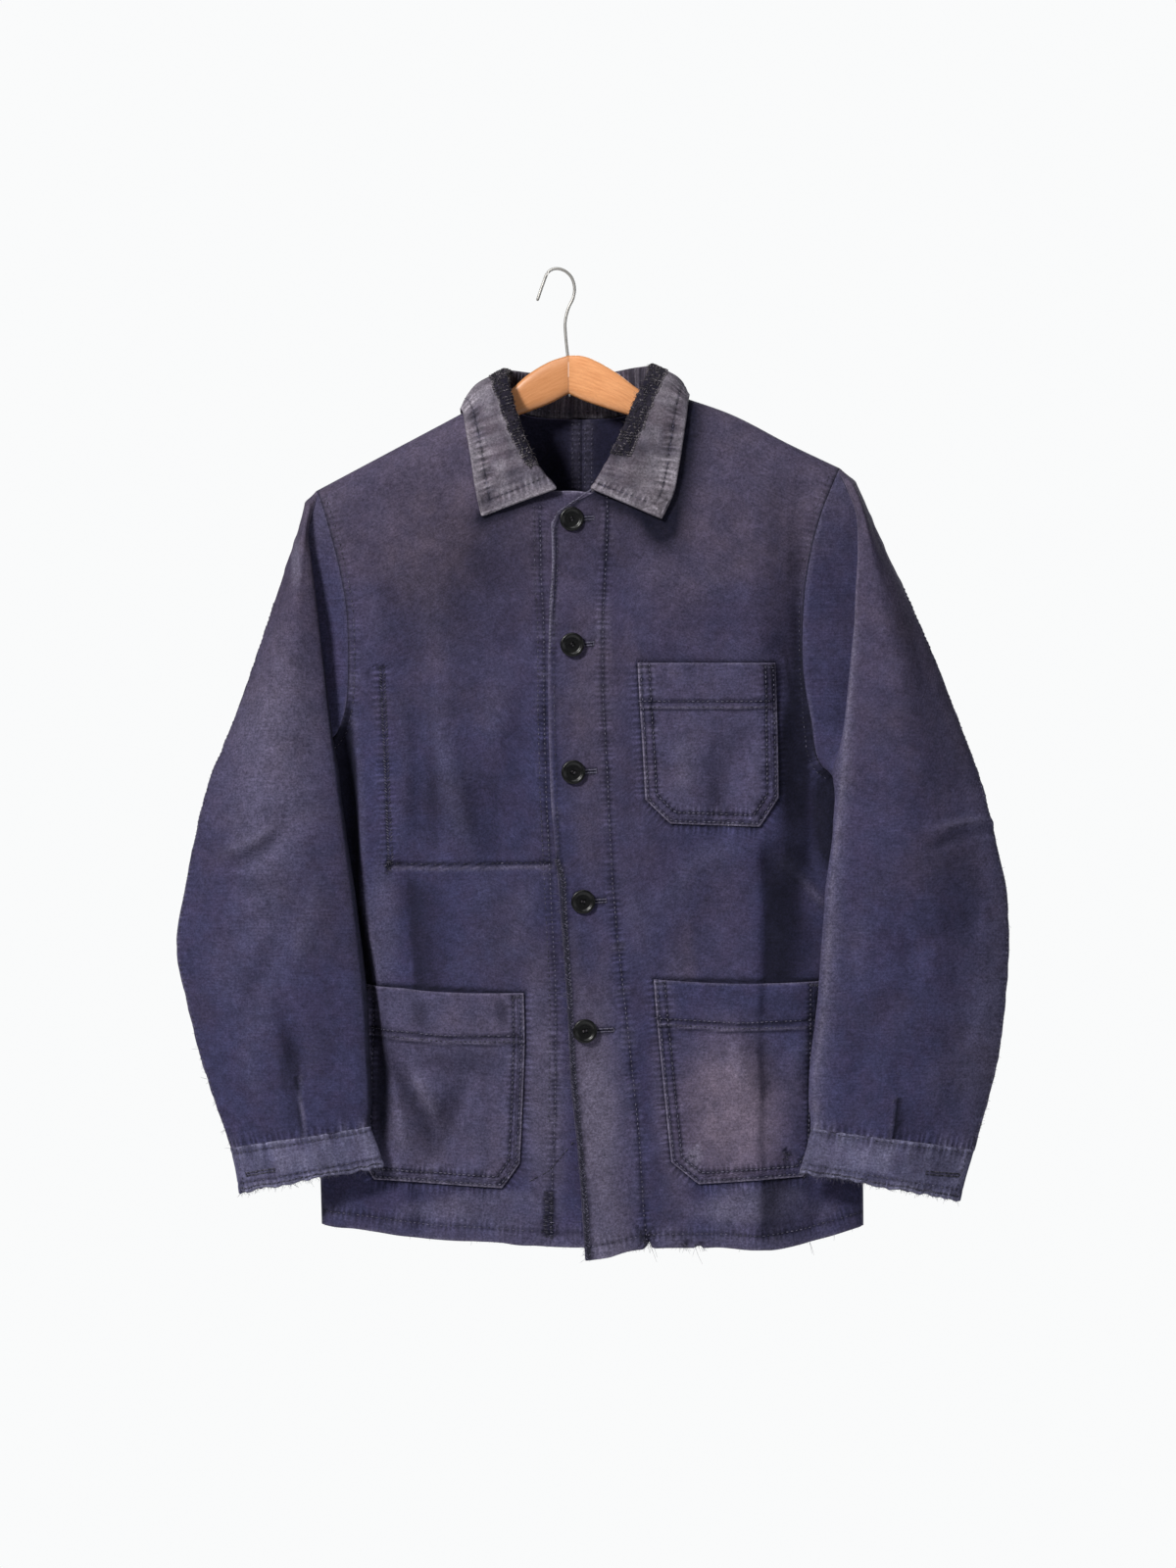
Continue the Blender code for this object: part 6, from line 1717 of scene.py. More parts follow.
MOLESKIN_FINISH = cloth_material("moleskin_cloth", (0.0385, 0.0380, 0.0905), (0.007, 0.007, 0.017),
                                (0.170, 0.155, 0.225), (0.070, 0.054, 0.080))
POCKET_FINISH = cloth_material("pocket_cloth", (0.040, 0.040, 0.095), (0.007, 0.007, 0.017),
                              (0.175, 0.158, 0.225), (0.125, 0.096, 0.138))
COLLAR_FINISH = cloth_material("collar_cloth", (0.112, 0.100, 0.132), (0.010, 0.009, 0.017),
                                     (0.285, 0.262, 0.305), (0.150, 0.132, 0.150), 0.35)
CUFF_FINISH = cloth_material("cuff_cloth", (0.058, 0.057, 0.118), (0.010, 0.010, 0.026),
                                  (0.170, 0.166, 0.255), (0.090, 0.080, 0.120))
THREAD = thread_material("navy_thread", (0.010, 0.010, 0.024), (0.150, 0.140, 0.215))
DARN_THREAD = thread_material("darning_thread", (0.012, 0.010, 0.016), (0.170, 0.150, 0.170))
BUTTON = button_material()
WOOD_FINISH = wood_material()
STEEL_FINISH = steel_material()


# ----------------------------------------------------------------------------------------------------
# Fronts and backs

# Worn bays of the top front's hem: column on the front view, half width and depth
HEM_NICKS = ((662, 0.0022, 0.006), (713, 0.0020, 0.003))


# Knot at the foot of the inner pocket's side
KNOT_STITCHES = 14
KNOT_PLACE = at(397, 884)
KNOT_SPREAD = np.array([0.0012, 0.0030])
# Darned strip at the under front's hem, on the front view's grid: first row, distance of rows, its two sides
DARN_ROWS = 26
DARN_TOP = 1216
DARN_STEP = 1.9
DARN_ACROSS = (553, 566)
# Zigzag threads of the top front's edge: distance from the edge, reach, pitch, shade
EDGE_ZIGZAGS = (
    (0.0010, 0.0011, 0.0016, 0.15), (0.0030, 0.0016, 0.0021, 0.0), (0.0036, -0.0012, 0.0034, 0.85),
)
HEM_FRAYS = ((661, 1268), (699, 1270), (714, 1271))
HEM_ENDS = ((826, 1268, 0.016), (700, 1270, 0.008))  # column, row, length
LOOSE_THREAD = route((540, 1205), (560, 1195), (585, 1165))


def ragged_hem(points, seed, amount=0.0006):
    """A hem line that is not quite straight."""
    wave = noise(np.arange(points.shape[1]) / 6.0, 0.0, seed) * amount
    fade = np.linspace(0, 1, 6)[:, None] ** 2
    points[-6:, :, 2] += wave[None] * fade
    return points


def nicked_hem(points):
    """Small worn bays in the hem of the top front."""
    for column, width, depth in HEM_NICKS:
        nick = bell(points[-1, :, 0] - at(column, 0)[0], width) * depth
        points[-3:, :, 2] += nick[None] * np.array([[0.2], [0.6], [1.0]])


def build_fronts():
    for side, cap, neck, edge, hem, seed in (
        ("right", RIGHT_CAP, RIGHT_NECK, RIGHT_EDGE, RIGHT_HEM, 96),
        ("left", LEFT_CAP, LEFT_NECK, LEFT_EDGE, LEFT_HEM, 95),
    ):
        points, normals = panel("front", cap, neck, edge, hem, FRONT_COLUMNS)
        relief = front_relief(side, points[..., 0], points[..., 2])
        points = points + normals * relief.lift[..., None]
        if side == "left":
            nicked_hem(points)
        points = ragged_hem(points, seed)
        nodes = [f"front_{side}"]
        thing = cloth(f"cloth_front_{side}", points, normals, THIN, MOLESKIN_FINISH, relief, nodes, 0.75)


def build_backs():
    top, foot = (CENTRE_BACK_X, BACK_NECK_Z), (CENTRE_BACK_X, BACK_HEM_Z)
    for side, cap, hem, neck_x in (
        ("right", RIGHT_CAP, RIGHT_HEM, RIGHT_NECK_X), ("left", LEFT_CAP, LEFT_HEM, LEFT_NECK_X),
    ):
        edge = (top, (CENTRE_BACK_X, -0.5), foot)
        low = (foot, (0.5 * (CENTRE_BACK_X + hem[-1][0]), BACK_HEM_Z + 0.001), hem[-1])
        points, normals = panel("back", cap, back_neck(neck_x), edge, low, BACK_COLUMNS)
        relief = back_relief(points[..., 0], points[..., 2])
        points = ragged_hem(points + normals * relief.lift[..., None], 97)
        nodes = [f"back_{side}"]
        thing = cloth(
            f"cloth_back_{side}", points, normals, THIN, MOLESKIN_FINISH, relief, nodes, 0.3, inside=0.78,
        )
        sew_back(side, points, normals)


def sew_back(side, points, normals):
    """Fell seam at the centre back, seen outside and in, and the hem."""
    thread = Thread()
    away = OUTWARD[side]
    for face, flip in ((1.0, 1.0), (-1.0, -1.0)):
        for reach in (0.0025, 0.0085):
            z = np.linspace(BACK_NECK_Z - 0.002, BACK_HEM_Z + 0.003, 160)
            x = np.full(z.shape, CENTRE_BACK_X + away * reach)
            base, n = body_surface("back", x, z)
            lift = back_relief(x, z).lift + face * THIN / 2
            thread.row(base + n * lift[:, None], n * flip, shade=0.35 if face > 0 else 0.55)
    hem = points[-1] + normals[-1] * THIN / 2 + np.array([0, 0, 0.0125])
    thread.row(hem, normals[-1], shade=0.4)
    thread.build(f"back_{side}", THREAD)


def buttonhole(thread, points, normals, shade=0.5):
    """Short threads square to a slit, along both of its sides, with a bar at each end."""
    gone = lengths(points)
    where = np.arange(0.0, gone[-1], 0.0007)
    middle = read(points, gone, where)
    n = unit(read(normals, gone, where))
    run = tangents(middle, 0)
    across = unit(np.cross(n, run))
    for way in (-1.0, 1.0):
        size = 0.0019 + 0.0003 * rng.random((len(middle), 1))
        thread.stitch(middle + across * way * 0.0004, middle + across * way * size, n, 0.9, shade)
    for end, way in ((0, -1.0), (-1, 1.0)):
        span = np.linspace(-0.0016, 0.0016, 4)[:, None]
        a = middle[end] + across[end] * span
        thread.stitch(a, a + run[end] * 0.0012 * way, np.repeat(n[end][None], 4, 0), 0.9, shade)


def sew_front_rows(left, right):
    """The stitch rows of both fronts."""
    sew(left, "left", FACING_LINE, shade=0.95)
    sew(left, "left", TOP_EDGE[3:] + np.array([0.0042, 0.0]), shade=0.15)
    for offset in (0.0002, 0.0007, 0.0012):
        line = TOP_EDGE[:7] + np.array([offset, 0.0])
        sew(left, "left", line, pitch=0.0030, length=0.0034, shade=1.0, skip=0.10)
    sew(left, "left", LEFT_HEM_LINE, shade=0.40)
    sew(left, "left", seam_line(LEFT_CAP, 0.0058)[:-8], shade=0.30)
    sew(right, "right", UNDER_LINE, shade=0.90)
    sew(right, "right", UNDER_LINE_2[:-2], shade=0.30)
    sew(right, "right", RIGHT_HEM_LINE[:-1], shade=0.40)
    sew(right, "right", seam_line(RIGHT_CAP, 0.0058)[:-8], shade=0.30)
    sew(right, "right", INNER_POCKET_HEM, shade=0.10)
    sew(right, "right", INNER_POCKET_SIDE, shade=0.25, zigzag=0.0016, pitch=0.0024)
    beside = INNER_POCKET_SIDE + np.array([0.0030, 0.0])
    sew(right, "right", beside, shade=0.15, zigzag=-0.0012, pitch=0.0030)


def sew_knot(right):
    """Knot at the foot of the inner pocket's side."""
    for _ in range(KNOT_STITCHES):
        angle = rng.random() * math.pi
        spot = KNOT_PLACE + rng.standard_normal(2) * KNOT_SPREAD
        reach = 0.0020 * np.array([math.cos(angle), math.sin(angle)])
        line = np.array([spot - reach, spot + reach])
        sew(right, "right", line, 0.0005, pitch=0.0038, length=0.0036, shade=0.0, skip=0.0)


def darn_under_front(right):
    """Short rows across the under front's edge at its hem."""
    start, end = DARN_ACROSS
    for step in range(DARN_ROWS):
        height = DARN_TOP + step * DARN_STEP
        line = route((start + 2 * rng.random(), height), (end + 2 * rng.random(), height + 1.5))
        sew(right, "right", line, 0.0002, pitch=0.0045, length=0.0042, shade=0.15, skip=0.15)


def fray_top_edge(left):
    """Hairs and zigzag threads along the lower part of the top front's edge."""
    edge = resampled(TOP_EDGE[9:])
    points, normals = front_surface("left", edge[:, 0], edge[:, 1])
    away = np.tile([-1.0, -0.2, 0.0], (len(edge), 1))
    left.fray(points, normals, away, 900, 0.0022, 0.55, 0.9)
    for offset, reach, pitch, shade in EDGE_ZIGZAGS:
        sew(left, "left", TOP_EDGE[9:] + np.array([offset, 0.0]), shade=shade, zigzag=reach, pitch=pitch)


def fray_hems(left, right):
    """Hairs at the hem's nicks, longer loose ends, and a short fringe along both hems."""
    for u, v in HEM_FRAYS:
        spot = resampled(route((u - 5, v - 2), (u + 5, v + 2)), 0.002)
        points, normals = front_surface("left", spot[:, 0], spot[:, 1], THIN / 2)
        left.fray(points, normals, np.tile([0.0, -0.2, -1.0], (len(spot), 1)), 3000, 0.0035, 0.5, 0.9)
    for u, v, length in HEM_ENDS:
        spot = route((u, v), (u + 1, v))
        points, normals = front_surface("left", spot[:, 0], spot[:, 1])
        left.fray(points, normals, np.tile([0.4, -0.2, -1.0], (2, 1)), 3000, length, 0.3, 0.2)
    for side, thread, line in (("right", right, RIGHT_HEM), ("left", left, LEFT_HEM)):
        hem = resampled(np.array(line))
        points, normals = front_surface(side, hem[:, 0], hem[:, 1])
        thread.fray(points, normals, np.tile([0.0, -0.1, -1.0], (len(hem), 1)), 260, 0.0013, 0.5, 0.9)


def build_front_sewing():
    left, right = Thread(), Thread()
    sew_front_rows(left, right)
    sew_knot(right)
    darn_under_front(right)
    fray_top_edge(left)
    fray_hems(left, right)
    sew(right, "right", LOOSE_THREAD, 0.0004, pitch=0.0040, length=0.0040, shade=0.1)
    # Buttonholes of the top front
    for (x, z), length in zip(FRONT_BUTTONS, BUTTONHOLES):
        xs = np.linspace(x + 0.002, x + length, 12)
        zs = z + np.linspace(0.0, 0.001, 12)
        points, normals = front_surface("left", xs, zs, THIN / 2)
        buttonhole(left, points, normals, 0.75)
    left.build("front_left", THREAD)
    right.build("front_right", THREAD)


# ----------------------------------------------------------------------------------------------------
# Pockets

# Front, table, z of the band's lower edge, inset of the inner stitches, flat size, warm and worn all over
POCKETS = {
    "pocket_chest": ("left", POCKET_CHEST, at(0, 723)[1], 0.0095, (0.122, 0.145), 0.16, 0.05),
    "pocket_lower_left": ("left", POCKET_LOWER_LEFT, at(0, 1047)[1], 0.0090, (0.146, 0.180), 0.0, 0.0),
    "pocket_lower_right": ("right", POCKET_LOWER_RIGHT, at(0, 1060)[1], 0.0090, (0.146, 0.180), 0.10, 0.14),
}
POCKET_STEPS = (66, 80)
POCKET_LIFT = 0.0019     # middle of the pocket's cloth over the middle of the front's
POCKET_PLAY = 0.0002     # a pocket's folds go no nearer to the front than this
OUTER_INSET = 0.0022     # outer row of stitches inside a pocket's edge
ABOVE_BAND = np.array([0, 0.0062])  # the band's upper row of stitches, from its lower edge
MOUTH_SAG = 0.0030       # how far a lower pocket's mouth hangs in its middle


def pocket_grid(table, share_x, share_z):
    """x and z of a pocket at shares across and down; its lower corners are cut off."""
    rows = np.array(table)
    ends = spline(rows[:4], [12, 12, 12])
    corner = np.array([rows[3] + (rows[4] - rows[3]) * s for s in np.linspace(0, 1, 7)[1:]])
    ends = np.concatenate([ends, corner])
    height = -(ends[:, 0] + ends[:, 2]) / 2
    place = (height - height[0]) / (height[-1] - height[0])
    cut = [np.interp(share_z, place, ends[:, k]) for k in range(4)]
    x = cut[1][:, None] * (1 - share_x) + cut[3][:, None] * share_x
    z = cut[0][:, None] * (1 - share_x) + cut[2][:, None] * share_x
    return x, z


def pocket_top(table):
    """Both ends of a pocket's top edge, x and z."""
    return np.array([(table[0][1], table[0][0]), (table[0][3], table[0][2])])


def pocket_outline(table):
    """Side, corner, bottom, corner and side of a pocket, x and z, from the front end's top edge round."""
    rows = np.array(table)
    first = [(r[1], r[0]) for r in rows]
    last = [(r[3], r[2]) for r in rows[::-1]]
    return np.array(first + last)


POCKET_CREASES = {
    "pocket_chest": (
        (route((760, 742), (742, 768), (732, 800), (737, 845)), 9, -1.9, 0.45),
        (route((700, 745), (696, 820)), 11, 1.0, 0.30),
        (route((776, 750), (768, 830)), 8, 0.8),
    ),
    "pocket_lower_left": (
        (route((770, 1055), (786, 1090), (796, 1130)), 8, -2.6, 0.30),
        (route((745, 1060), (760, 1110)), 10, 1.2),
        (route((815, 1060), (812, 1130)), 9, 1.1),
        (route((700, 1070), (712, 1150)), 12, -0.7),
        (route((690, 1188), (720, 1200)), 5, -0.7),
    ),
    "pocket_lower_right": (
        (route((480, 1075), (500, 1130), (506, 1190)), 9, -1.0),
        (route((398, 1078), (420, 1124), (448, 1178)), 6, -1.6, 0.75),
        (route((448, 1178), (460, 1140), (478, 1088)), 6, -1.4, 0.60),
        (route((420, 1090), (436, 1120), (450, 1148)), 7, 1.6, 0.30),
        (route((404, 1130), (414, 1180)), 8, 1.4, 0.25),
        (route((405, 1062), (440, 1080), (500, 1070)), 7, -0.8, 0.35),
    ),
}
POCKET_SPOTS = {
    "pocket_chest": (
        (786, 692, 11, 16, 0.45),
        (775, 830, 4, 5, 0.6, 0, 0, 0, 0.35, 117),
    ),
    "pocket_lower_left": (
        (745, 1125, 62, 78, 0, 0, 0.60, 0, 0.25, 111),
        (740, 1130, 48, 75, 0, 0.16, 0.30, 0, 0.2, 118),
        (707, 1180, 8, 14, 0, 0.60, 0, 0, 0.35, 112),
        (802, 1178, 3.4, 5.5, 1.0, 0, 0, -1.0, 0.7, 113),
        (812, 1110, 18, 50, 0.25, 0, 0, 0, 0.35, 114),
        # This and the next: painted shadow of the left sleeve on the pocket
        (834, 1090, 12, 90, 0.75, 0, 0, 0, 0.15, 120),
        (800, 1028, 40, 18, 0.30, 0, 0, 0, 0.25, 121),
    ),
    "pocket_lower_right": (
        (512, 1206, 5, 4, 0.7, 0.2, 0, 0, 0.35, 115),
        (450, 1150, 30, 40, 0.15, 0, 0, 0, 0.35, 116),
        # Painted shadow of the right sleeve on the pocket
        (390, 1115, 10, 85, 1.0, 0, 0, 0, 0.12, 119),
        (428, 1034, 9, 16, 0.45, 0, 0, 0, 0.2, 122),
        (512, 1032, 7, 14, 0.55, 0, 0, 0, 0.2, 123),
        (470, 1085, 45, 12, 0.30, 0, 0, 0, 0.3, 124),
    ),
}
TACK = {"pitch": 0.0014, "length": 0.0013}    # dense stitches of a bar tack
# Worn spots of the left lower pocket, with loose threads
PATCH_HOLES = ((802, 1178), (801, 1183), (707, 1180))




def band_line(name, table, band_z):
    """Lower edge of the turned band along a pocket's top, x and z, from left to right."""
    top = pocket_top(table)
    top = top[np.argsort(top[:, 0])]
    band = top - np.array([0, float(np.mean(top[:, 1] - band_z))])
    sag = 0.0 if name == "pocket_chest" else 0.0035
    return np.array([band[0], band.mean(axis=0) - np.array([0, sag]), band[1]])


def pocket_relief(name, x, z, outline, stitch_lines, band, inset_by):
    """Creases and spots of a pocket, its two rows of stitches, its piped edge and its band."""
    r = Relief(x, z)
    for crease in POCKET_CREASES[name]:
        r.crease(*crease)
    r.spots(POCKET_SPOTS[name])
    r.seam(stitch_lines[0], 0.22, 0.0065, 0.0035, 0.35, 101, 0.75, 0.9)
    r.seam(stitch_lines[1], 0.40, 0.0075, 0.0050, 0.45, 102, 0.75, 0.9)
    r.seam(band + ABOVE_BAND, 0.20, 0.010, 0.0035, 0.45, 104, 0.4, 0.2)
    r.layer(band, 0.5)
    away, run, _ = from_line(outline, x, z)
    away = np.abs(away)
    r.worn += (0.75 + 0.25 * noise(run / 0.010, 0.0, 105)) * bell(away, 0.0011)
    r.dark += 0.15 * bell(away - 0.0030, 0.0010)
    r.lift += 0.0005 * smooth(1.3 - away / inset_by)
    r.lift += 0.0010 * noise(x / 0.035, z / 0.060, 103) * smooth(away / 0.02)
    over_band = from_line(band, x, z)[0]
    r.worn += 0.35 * bell(over_band - 0.0008, 0.0010)
    # Painted shade just under the band's lower edge
    r.dark += 0.75 * bell(over_band + 0.0012, 0.0012)
    r.lift = np.maximum(r.lift, -POCKET_PLAY)
    return r, away


def sew_pocket(name, side, table, stitch_lines, band, inset_by):
    """Both rows round a pocket, the band's two rows, bar tacks at its mouth and threads at its worn holes."""
    thread = Thread()
    over = POCKET_LIFT + THIN_POCKET / 2 - THIN / 2 + 0.0004
    for line, shade in zip(stitch_lines, (0.70, 0.80)):
        sew(thread, side, line, over, shade=shade)
    sew(thread, side, band + ABOVE_BAND, over + 0.0003, shade=0.6)
    sew(thread, side, band + np.array([0, 0.0012]), over + 0.0003, shade=0.3)
    tops = pocket_top(table)
    for x, z in tops:
        toward = np.sign(tops[:, 0].mean() - x)
        tack = np.array([(x + toward * 0.0015, z - 0.002), (x + toward * inset_by, z - 0.002)])
        sew(thread, side, tack, over + 0.0004, shade=0.15, **TACK)
        sew(thread, side, tack - np.array([0, 0.0014]), over + 0.0004, shade=0.2, **TACK)
    if name == "pocket_lower_left":
        for u, v in PATCH_HOLES:
            spot = resampled(route((u - 4, v), (u + 4, v)), 0.001)
            points, normals = front_surface(side, spot[:, 0], spot[:, 1], POCKET_LIFT + 0.0006)
            thread.fray(points, normals, normals, 4000, 0.0022, 0.35, 1.2)
    thread.build(name, THREAD)


def build_pockets():
    """Patch pockets that lie on the fronts' own folds."""
    columns, rows = POCKET_STEPS
    share_x = np.linspace(0, 1, columns + 1)
    share_x = 0.5 - 0.5 * np.cos(math.pi * share_x) * 0.35 + (share_x - 0.5) * 0.65
    share_x = (share_x - share_x[0]) / (share_x[-1] - share_x[0])
    share_z = np.linspace(0, 1, rows + 1)
    for name, (side, table, band_z, inset_by, flat, warm, worn) in POCKETS.items():
        x, z = pocket_grid(table, share_x, share_z)
        outline = pocket_outline(table)
        if table[0][1] > table[0][3]:
            outline = outline[::-1]
        stitch_lines = inset(outline, OUTER_INSET), inset(outline, inset_by)
        band = band_line(name, table, band_z)
        relief, away = pocket_relief(name, x, z, outline, stitch_lines, band, inset_by)
        relief.warm += warm
        relief.worn += worn
        points, normals = front_surface(side, x, z, POCKET_LIFT)
        hug = smooth(np.minimum(1.0, away / 0.0035))
        points = points + normals * (relief.lift - (1 - hug) * 0.0003)[..., None]
        if name != "pocket_chest":
            points[..., 2] -= MOUTH_SAG * np.sin(math.pi * share_x)[None] * (1 - share_z)[:, None] ** 3
        thing = cloth(f"cloth_{name}", points, normals, THIN_POCKET, POCKET_FINISH, relief, [name], 0.55)
        sew_pocket(name, side, table, stitch_lines, band, inset_by)


# ----------------------------------------------------------------------------------------------------
# Sleeves and cuffs

SEWN_FROM = 60           # row of a sleeve from which its outer seam shows its stitches
# Line, width and depth in mm
SLEEVE_CREASES = {
    "right": (
        (route((235, 884), (262, 872), (292, 850)), 5, -3.0),
        (route((225, 872), (262, 858), (285, 842)), 6, 2.4),
        (route((300, 935), (270, 985), (240, 1060)), 10, -2.4),
        (route((330, 900), (300, 990)), 12, 1.2),
        (route((212, 1100), (224, 1088), (236, 1080)), 4, -1.2),
        (route((282, 1010), (300, 1060), (306, 1100)), 8, -2.8),
        (route((250, 1060), (262, 1120)), 8, 1.0),
        (route((330, 1040), (344, 1110)), 9, -0.9),
        (route((300, 620), (285, 700), (262, 760)), 16, 0.9),
        (route((325, 700), (318, 790)), 12, -0.9),
        (route((205, 930), (232, 960)), 7, -0.8),
        (route((222, 760), (250, 790)), 9, -0.8),
    ),
    "left": (
        (route((946, 868), (975, 856), (1008, 850)), 5, -1.5),
        (route((950, 848), (985, 838), (1012, 840)), 4, 2.0),
        (route((900, 560), (912, 660), (930, 740)), 16, 0.8),
        (route((880, 620), (885, 720)), 9, -0.9),
        (route((905, 900), (930, 960), (925, 1040)), 14, -1.4),
        (route((880, 930), (872, 1010)), 11, 1.0),
        (route((965, 960), (985, 1040)), 11, -1.0),
        (route((917, 1060), (916, 1120)), 8, -1.3),
        (route((884, 1040), (870, 1110)), 9, -0.9),
        (route((950, 1080), (960, 1140)), 9, 0.9),
        (route((874, 1066), (894, 1070)), 2, -0.4),
        (route((1002, 905), (1022, 935)), 6, -0.8),
    ),
}
PLEATS = {
    "right": route((303, 1096), (306, 1130), (310, 1164)),
    "left": route((917, 1117), (914, 1140), (909, 1168)),
}
ENDS = ("upper", "lower")  # a sleeve half is packed in two solids and is one piece of cloth here
# Flat size and area of each half of a sleeve
TOP_FLAT = {"right": ((0.190, 0.585), 0.083), "left": ((0.205, 0.590), 0.095)}
UNDER_FLAT = {"right": ((0.150, 0.540), 0.065), "left": ((0.165, 0.560), 0.076)}


# Centre u and v, half sizes across and down in mm, dark, pale (wear and painted highlight), warm, depth in
# mm, raggedness, seed
SLEEVE_SPOTS = {
    "right": (
        (276, 800, 52, 125, 0, 0.26, 0, 0, 0.15, 131),
        # Painted highlight beside the fold at the head
        (303, 572, 5, 26, 0, 0.5, 0, 0, 0.1, 132),
        (262, 980, 44, 90, 0, 0.08, 0, 0, 0.35, 133),
        (297, 1080, 11, 34, 0.55, 0, 0, 0, 0.25, 135),
        # Painted shade in the elbow crease
        (262, 900, 30, 9, 0.30, 0, 0, 0, 0.4, 136),
    ),
    "left": (
        (972, 930, 28, 60, 0.35, 0, 0, 0, 0.35, 134),
        (915, 1136, 2.6, 15, 1.8, 0, 0, -0.8, 0.25, 137),
        (911, 1156, 1.8, 9, 1.5, 0, 0, 0, 0.2, 138),
    ),
}
# Folds of the hidden back: shares of the length where they start and end, width, height
HIND_FOLDS = (
    (0.22, 0.40, 0.016, -0.0016),
    (0.42, 0.55, 0.014, 0.0014),
    (0.55, 0.62, 0.012, -0.0018),
    (0.66, 0.80, 0.015, -0.0012),
    (0.80, 0.93, 0.012, 0.0011),
)
FOLD_COLUMN = sum(ACROSS[:2])
HIND_COLUMN = sum(ACROSS[:HIND_POINT])
FLANK_COLUMN = sum(ACROSS[:3])
FOLD_WEAR_AND_HIGHLIGHT = {"right": 0.10, "left": 0.34}
HIND_BLEND = 12          # columns behind the outer seam over which the front's folds fade


def sleeve_folds(r, side, row_run, column_run):
    """Creases and the cuff's pleat on the front, with painted shade and highlight, the hidden folds behind,
    and the cloth's softness.
    """
    columns = len(column_run)
    front = np.zeros(columns)
    front[FOLD_COLUMN: HIND_COLUMN + 1] = 1.0
    front[:FOLD_COLUMN] = np.linspace(0, 1, FOLD_COLUMN) ** 2 * 0.6
    front[HIND_COLUMN: HIND_COLUMN + HIND_BLEND] = np.linspace(1, 0, HIND_BLEND)
    for line, width, depth in SLEEVE_CREASES[side]:
        r.crease(line, width, depth, 0.14)
    pleat = PLEATS[side]
    r.ledge(pleat if side == "right" else pleat[::-1], 1.6, 2.6, 12, 0.5)
    away, run, _ = from_line(pleat, r.x, r.z)
    # Painted shade in the pleat's fold and a painted highlight on its edge
    r.dark += 0.8 * bell(away, 0.0013) * (run > 0.001)
    r.worn += 0.35 * bell(away + 0.002 * OUTWARD[side], 0.0014) * (run > 0.001)
    r.lift *= front[None]
    r.dark *= front[None]
    r.worn *= front[None]
    share = row_run / row_run[-1]
    for k, (start, end, width, height) in enumerate(HIND_FOLDS):
        level = start + (end - start) * (column_run / column_run[-1])
        wave = bell((share[:, None] - level[None]) * row_run[-1], width)
        r.lift += wave * height * (1 - front)[None] * (0.7 + 0.3 * noise(r.x / 0.03, r.z / 0.03, 130 + k))
    soft = noise(column_run[None] / 0.045, row_run[:, None] / 0.10, 121 if side == "left" else 122)
    fine = noise(column_run[None] / 0.018, row_run[:, None] / 0.035, 123)
    calm = 1 - 0.8 * bell(column_run - column_run[HIND_COLUMN], 0.016)
    r.lift += (0.0010 * soft + 0.0004 * fine) * calm[None]
    r.lift *= smooth(row_run / 0.03)[:, None]
    to_side = np.minimum(np.arange(columns), np.arange(columns)[::-1]) / 6.0
    r.lift *= smooth(to_side)[None] * 0.85 + 0.15
    return soft


def sleeve_wear(r, side, row_run, column_run, soft):
    """Pale wear on the outer edge and the head, pale on the fold that is partly wear and partly painted
    highlight, painted light on the left sleeve's outer flank, and painted shade along and inside the right
    sleeve's fold and inside both folds at the head.
    """
    down = row_run[:, None]
    number = np.arange(len(column_run))
    from_fold = np.abs(column_run - column_run[FOLD_COLUMN])[None]
    from_hind = np.abs(column_run - column_run[HIND_COLUMN])[None]
    # Pale along the fold: wear and painted highlight
    fold_wear_and_highlight = FOLD_WEAR_AND_HIGHLIGHT[side] * bell(from_fold, 0.0022) * (0.55 + 0.45 * noise(down / 0.012, 0.0, 124))
    r.worn += fold_wear_and_highlight * smooth((down - 0.02) / 0.03)
    r.worn += 0.45 * bell(from_hind, 0.0030) * (0.6 + 0.4 * noise(down / 0.01, 0.0, 125))
    r.worn += 0.16 * bell(down, 0.060)
    r.warm += 0.65 * bell(down, 0.26)
    r.spots(SLEEVE_SPOTS[side])
    place = np.clip(number / FOLD_COLUMN, 0, 1)
    inside_fold = (number < FOLD_COLUMN)[None]
    if side == "right":
        # Painted shade along and inside the right sleeve's fold
        r.dark += 0.40 * bell(from_fold, 0.0035)
        r.dark += inside_fold * 0.85 * smooth(2.2 * place - 0.6)[None] * smooth(down / 0.04)
    else:
        # Painted highlight along the left sleeve's fold, and painted light on its outer flank
        r.worn += 0.26 * bell(from_fold, 0.008)
        flank = np.clip((number - FLANK_COLUMN) / (HIND_COLUMN - FLANK_COLUMN), 0, 1)
        r.worn += 0.30 * (smooth(flank) * (number <= HIND_COLUMN + 3))[None] * (0.8 + 0.4 * soft)
    r.warm *= 1 - 0.85 * inside_fold
    head = smooth((0.050 - down) / 0.03) * smooth(down / 0.008)
    # Painted shade inside the fold at the head
    r.dark += inside_fold * 0.9 * smooth(4 * place - 2.6)[None] * head


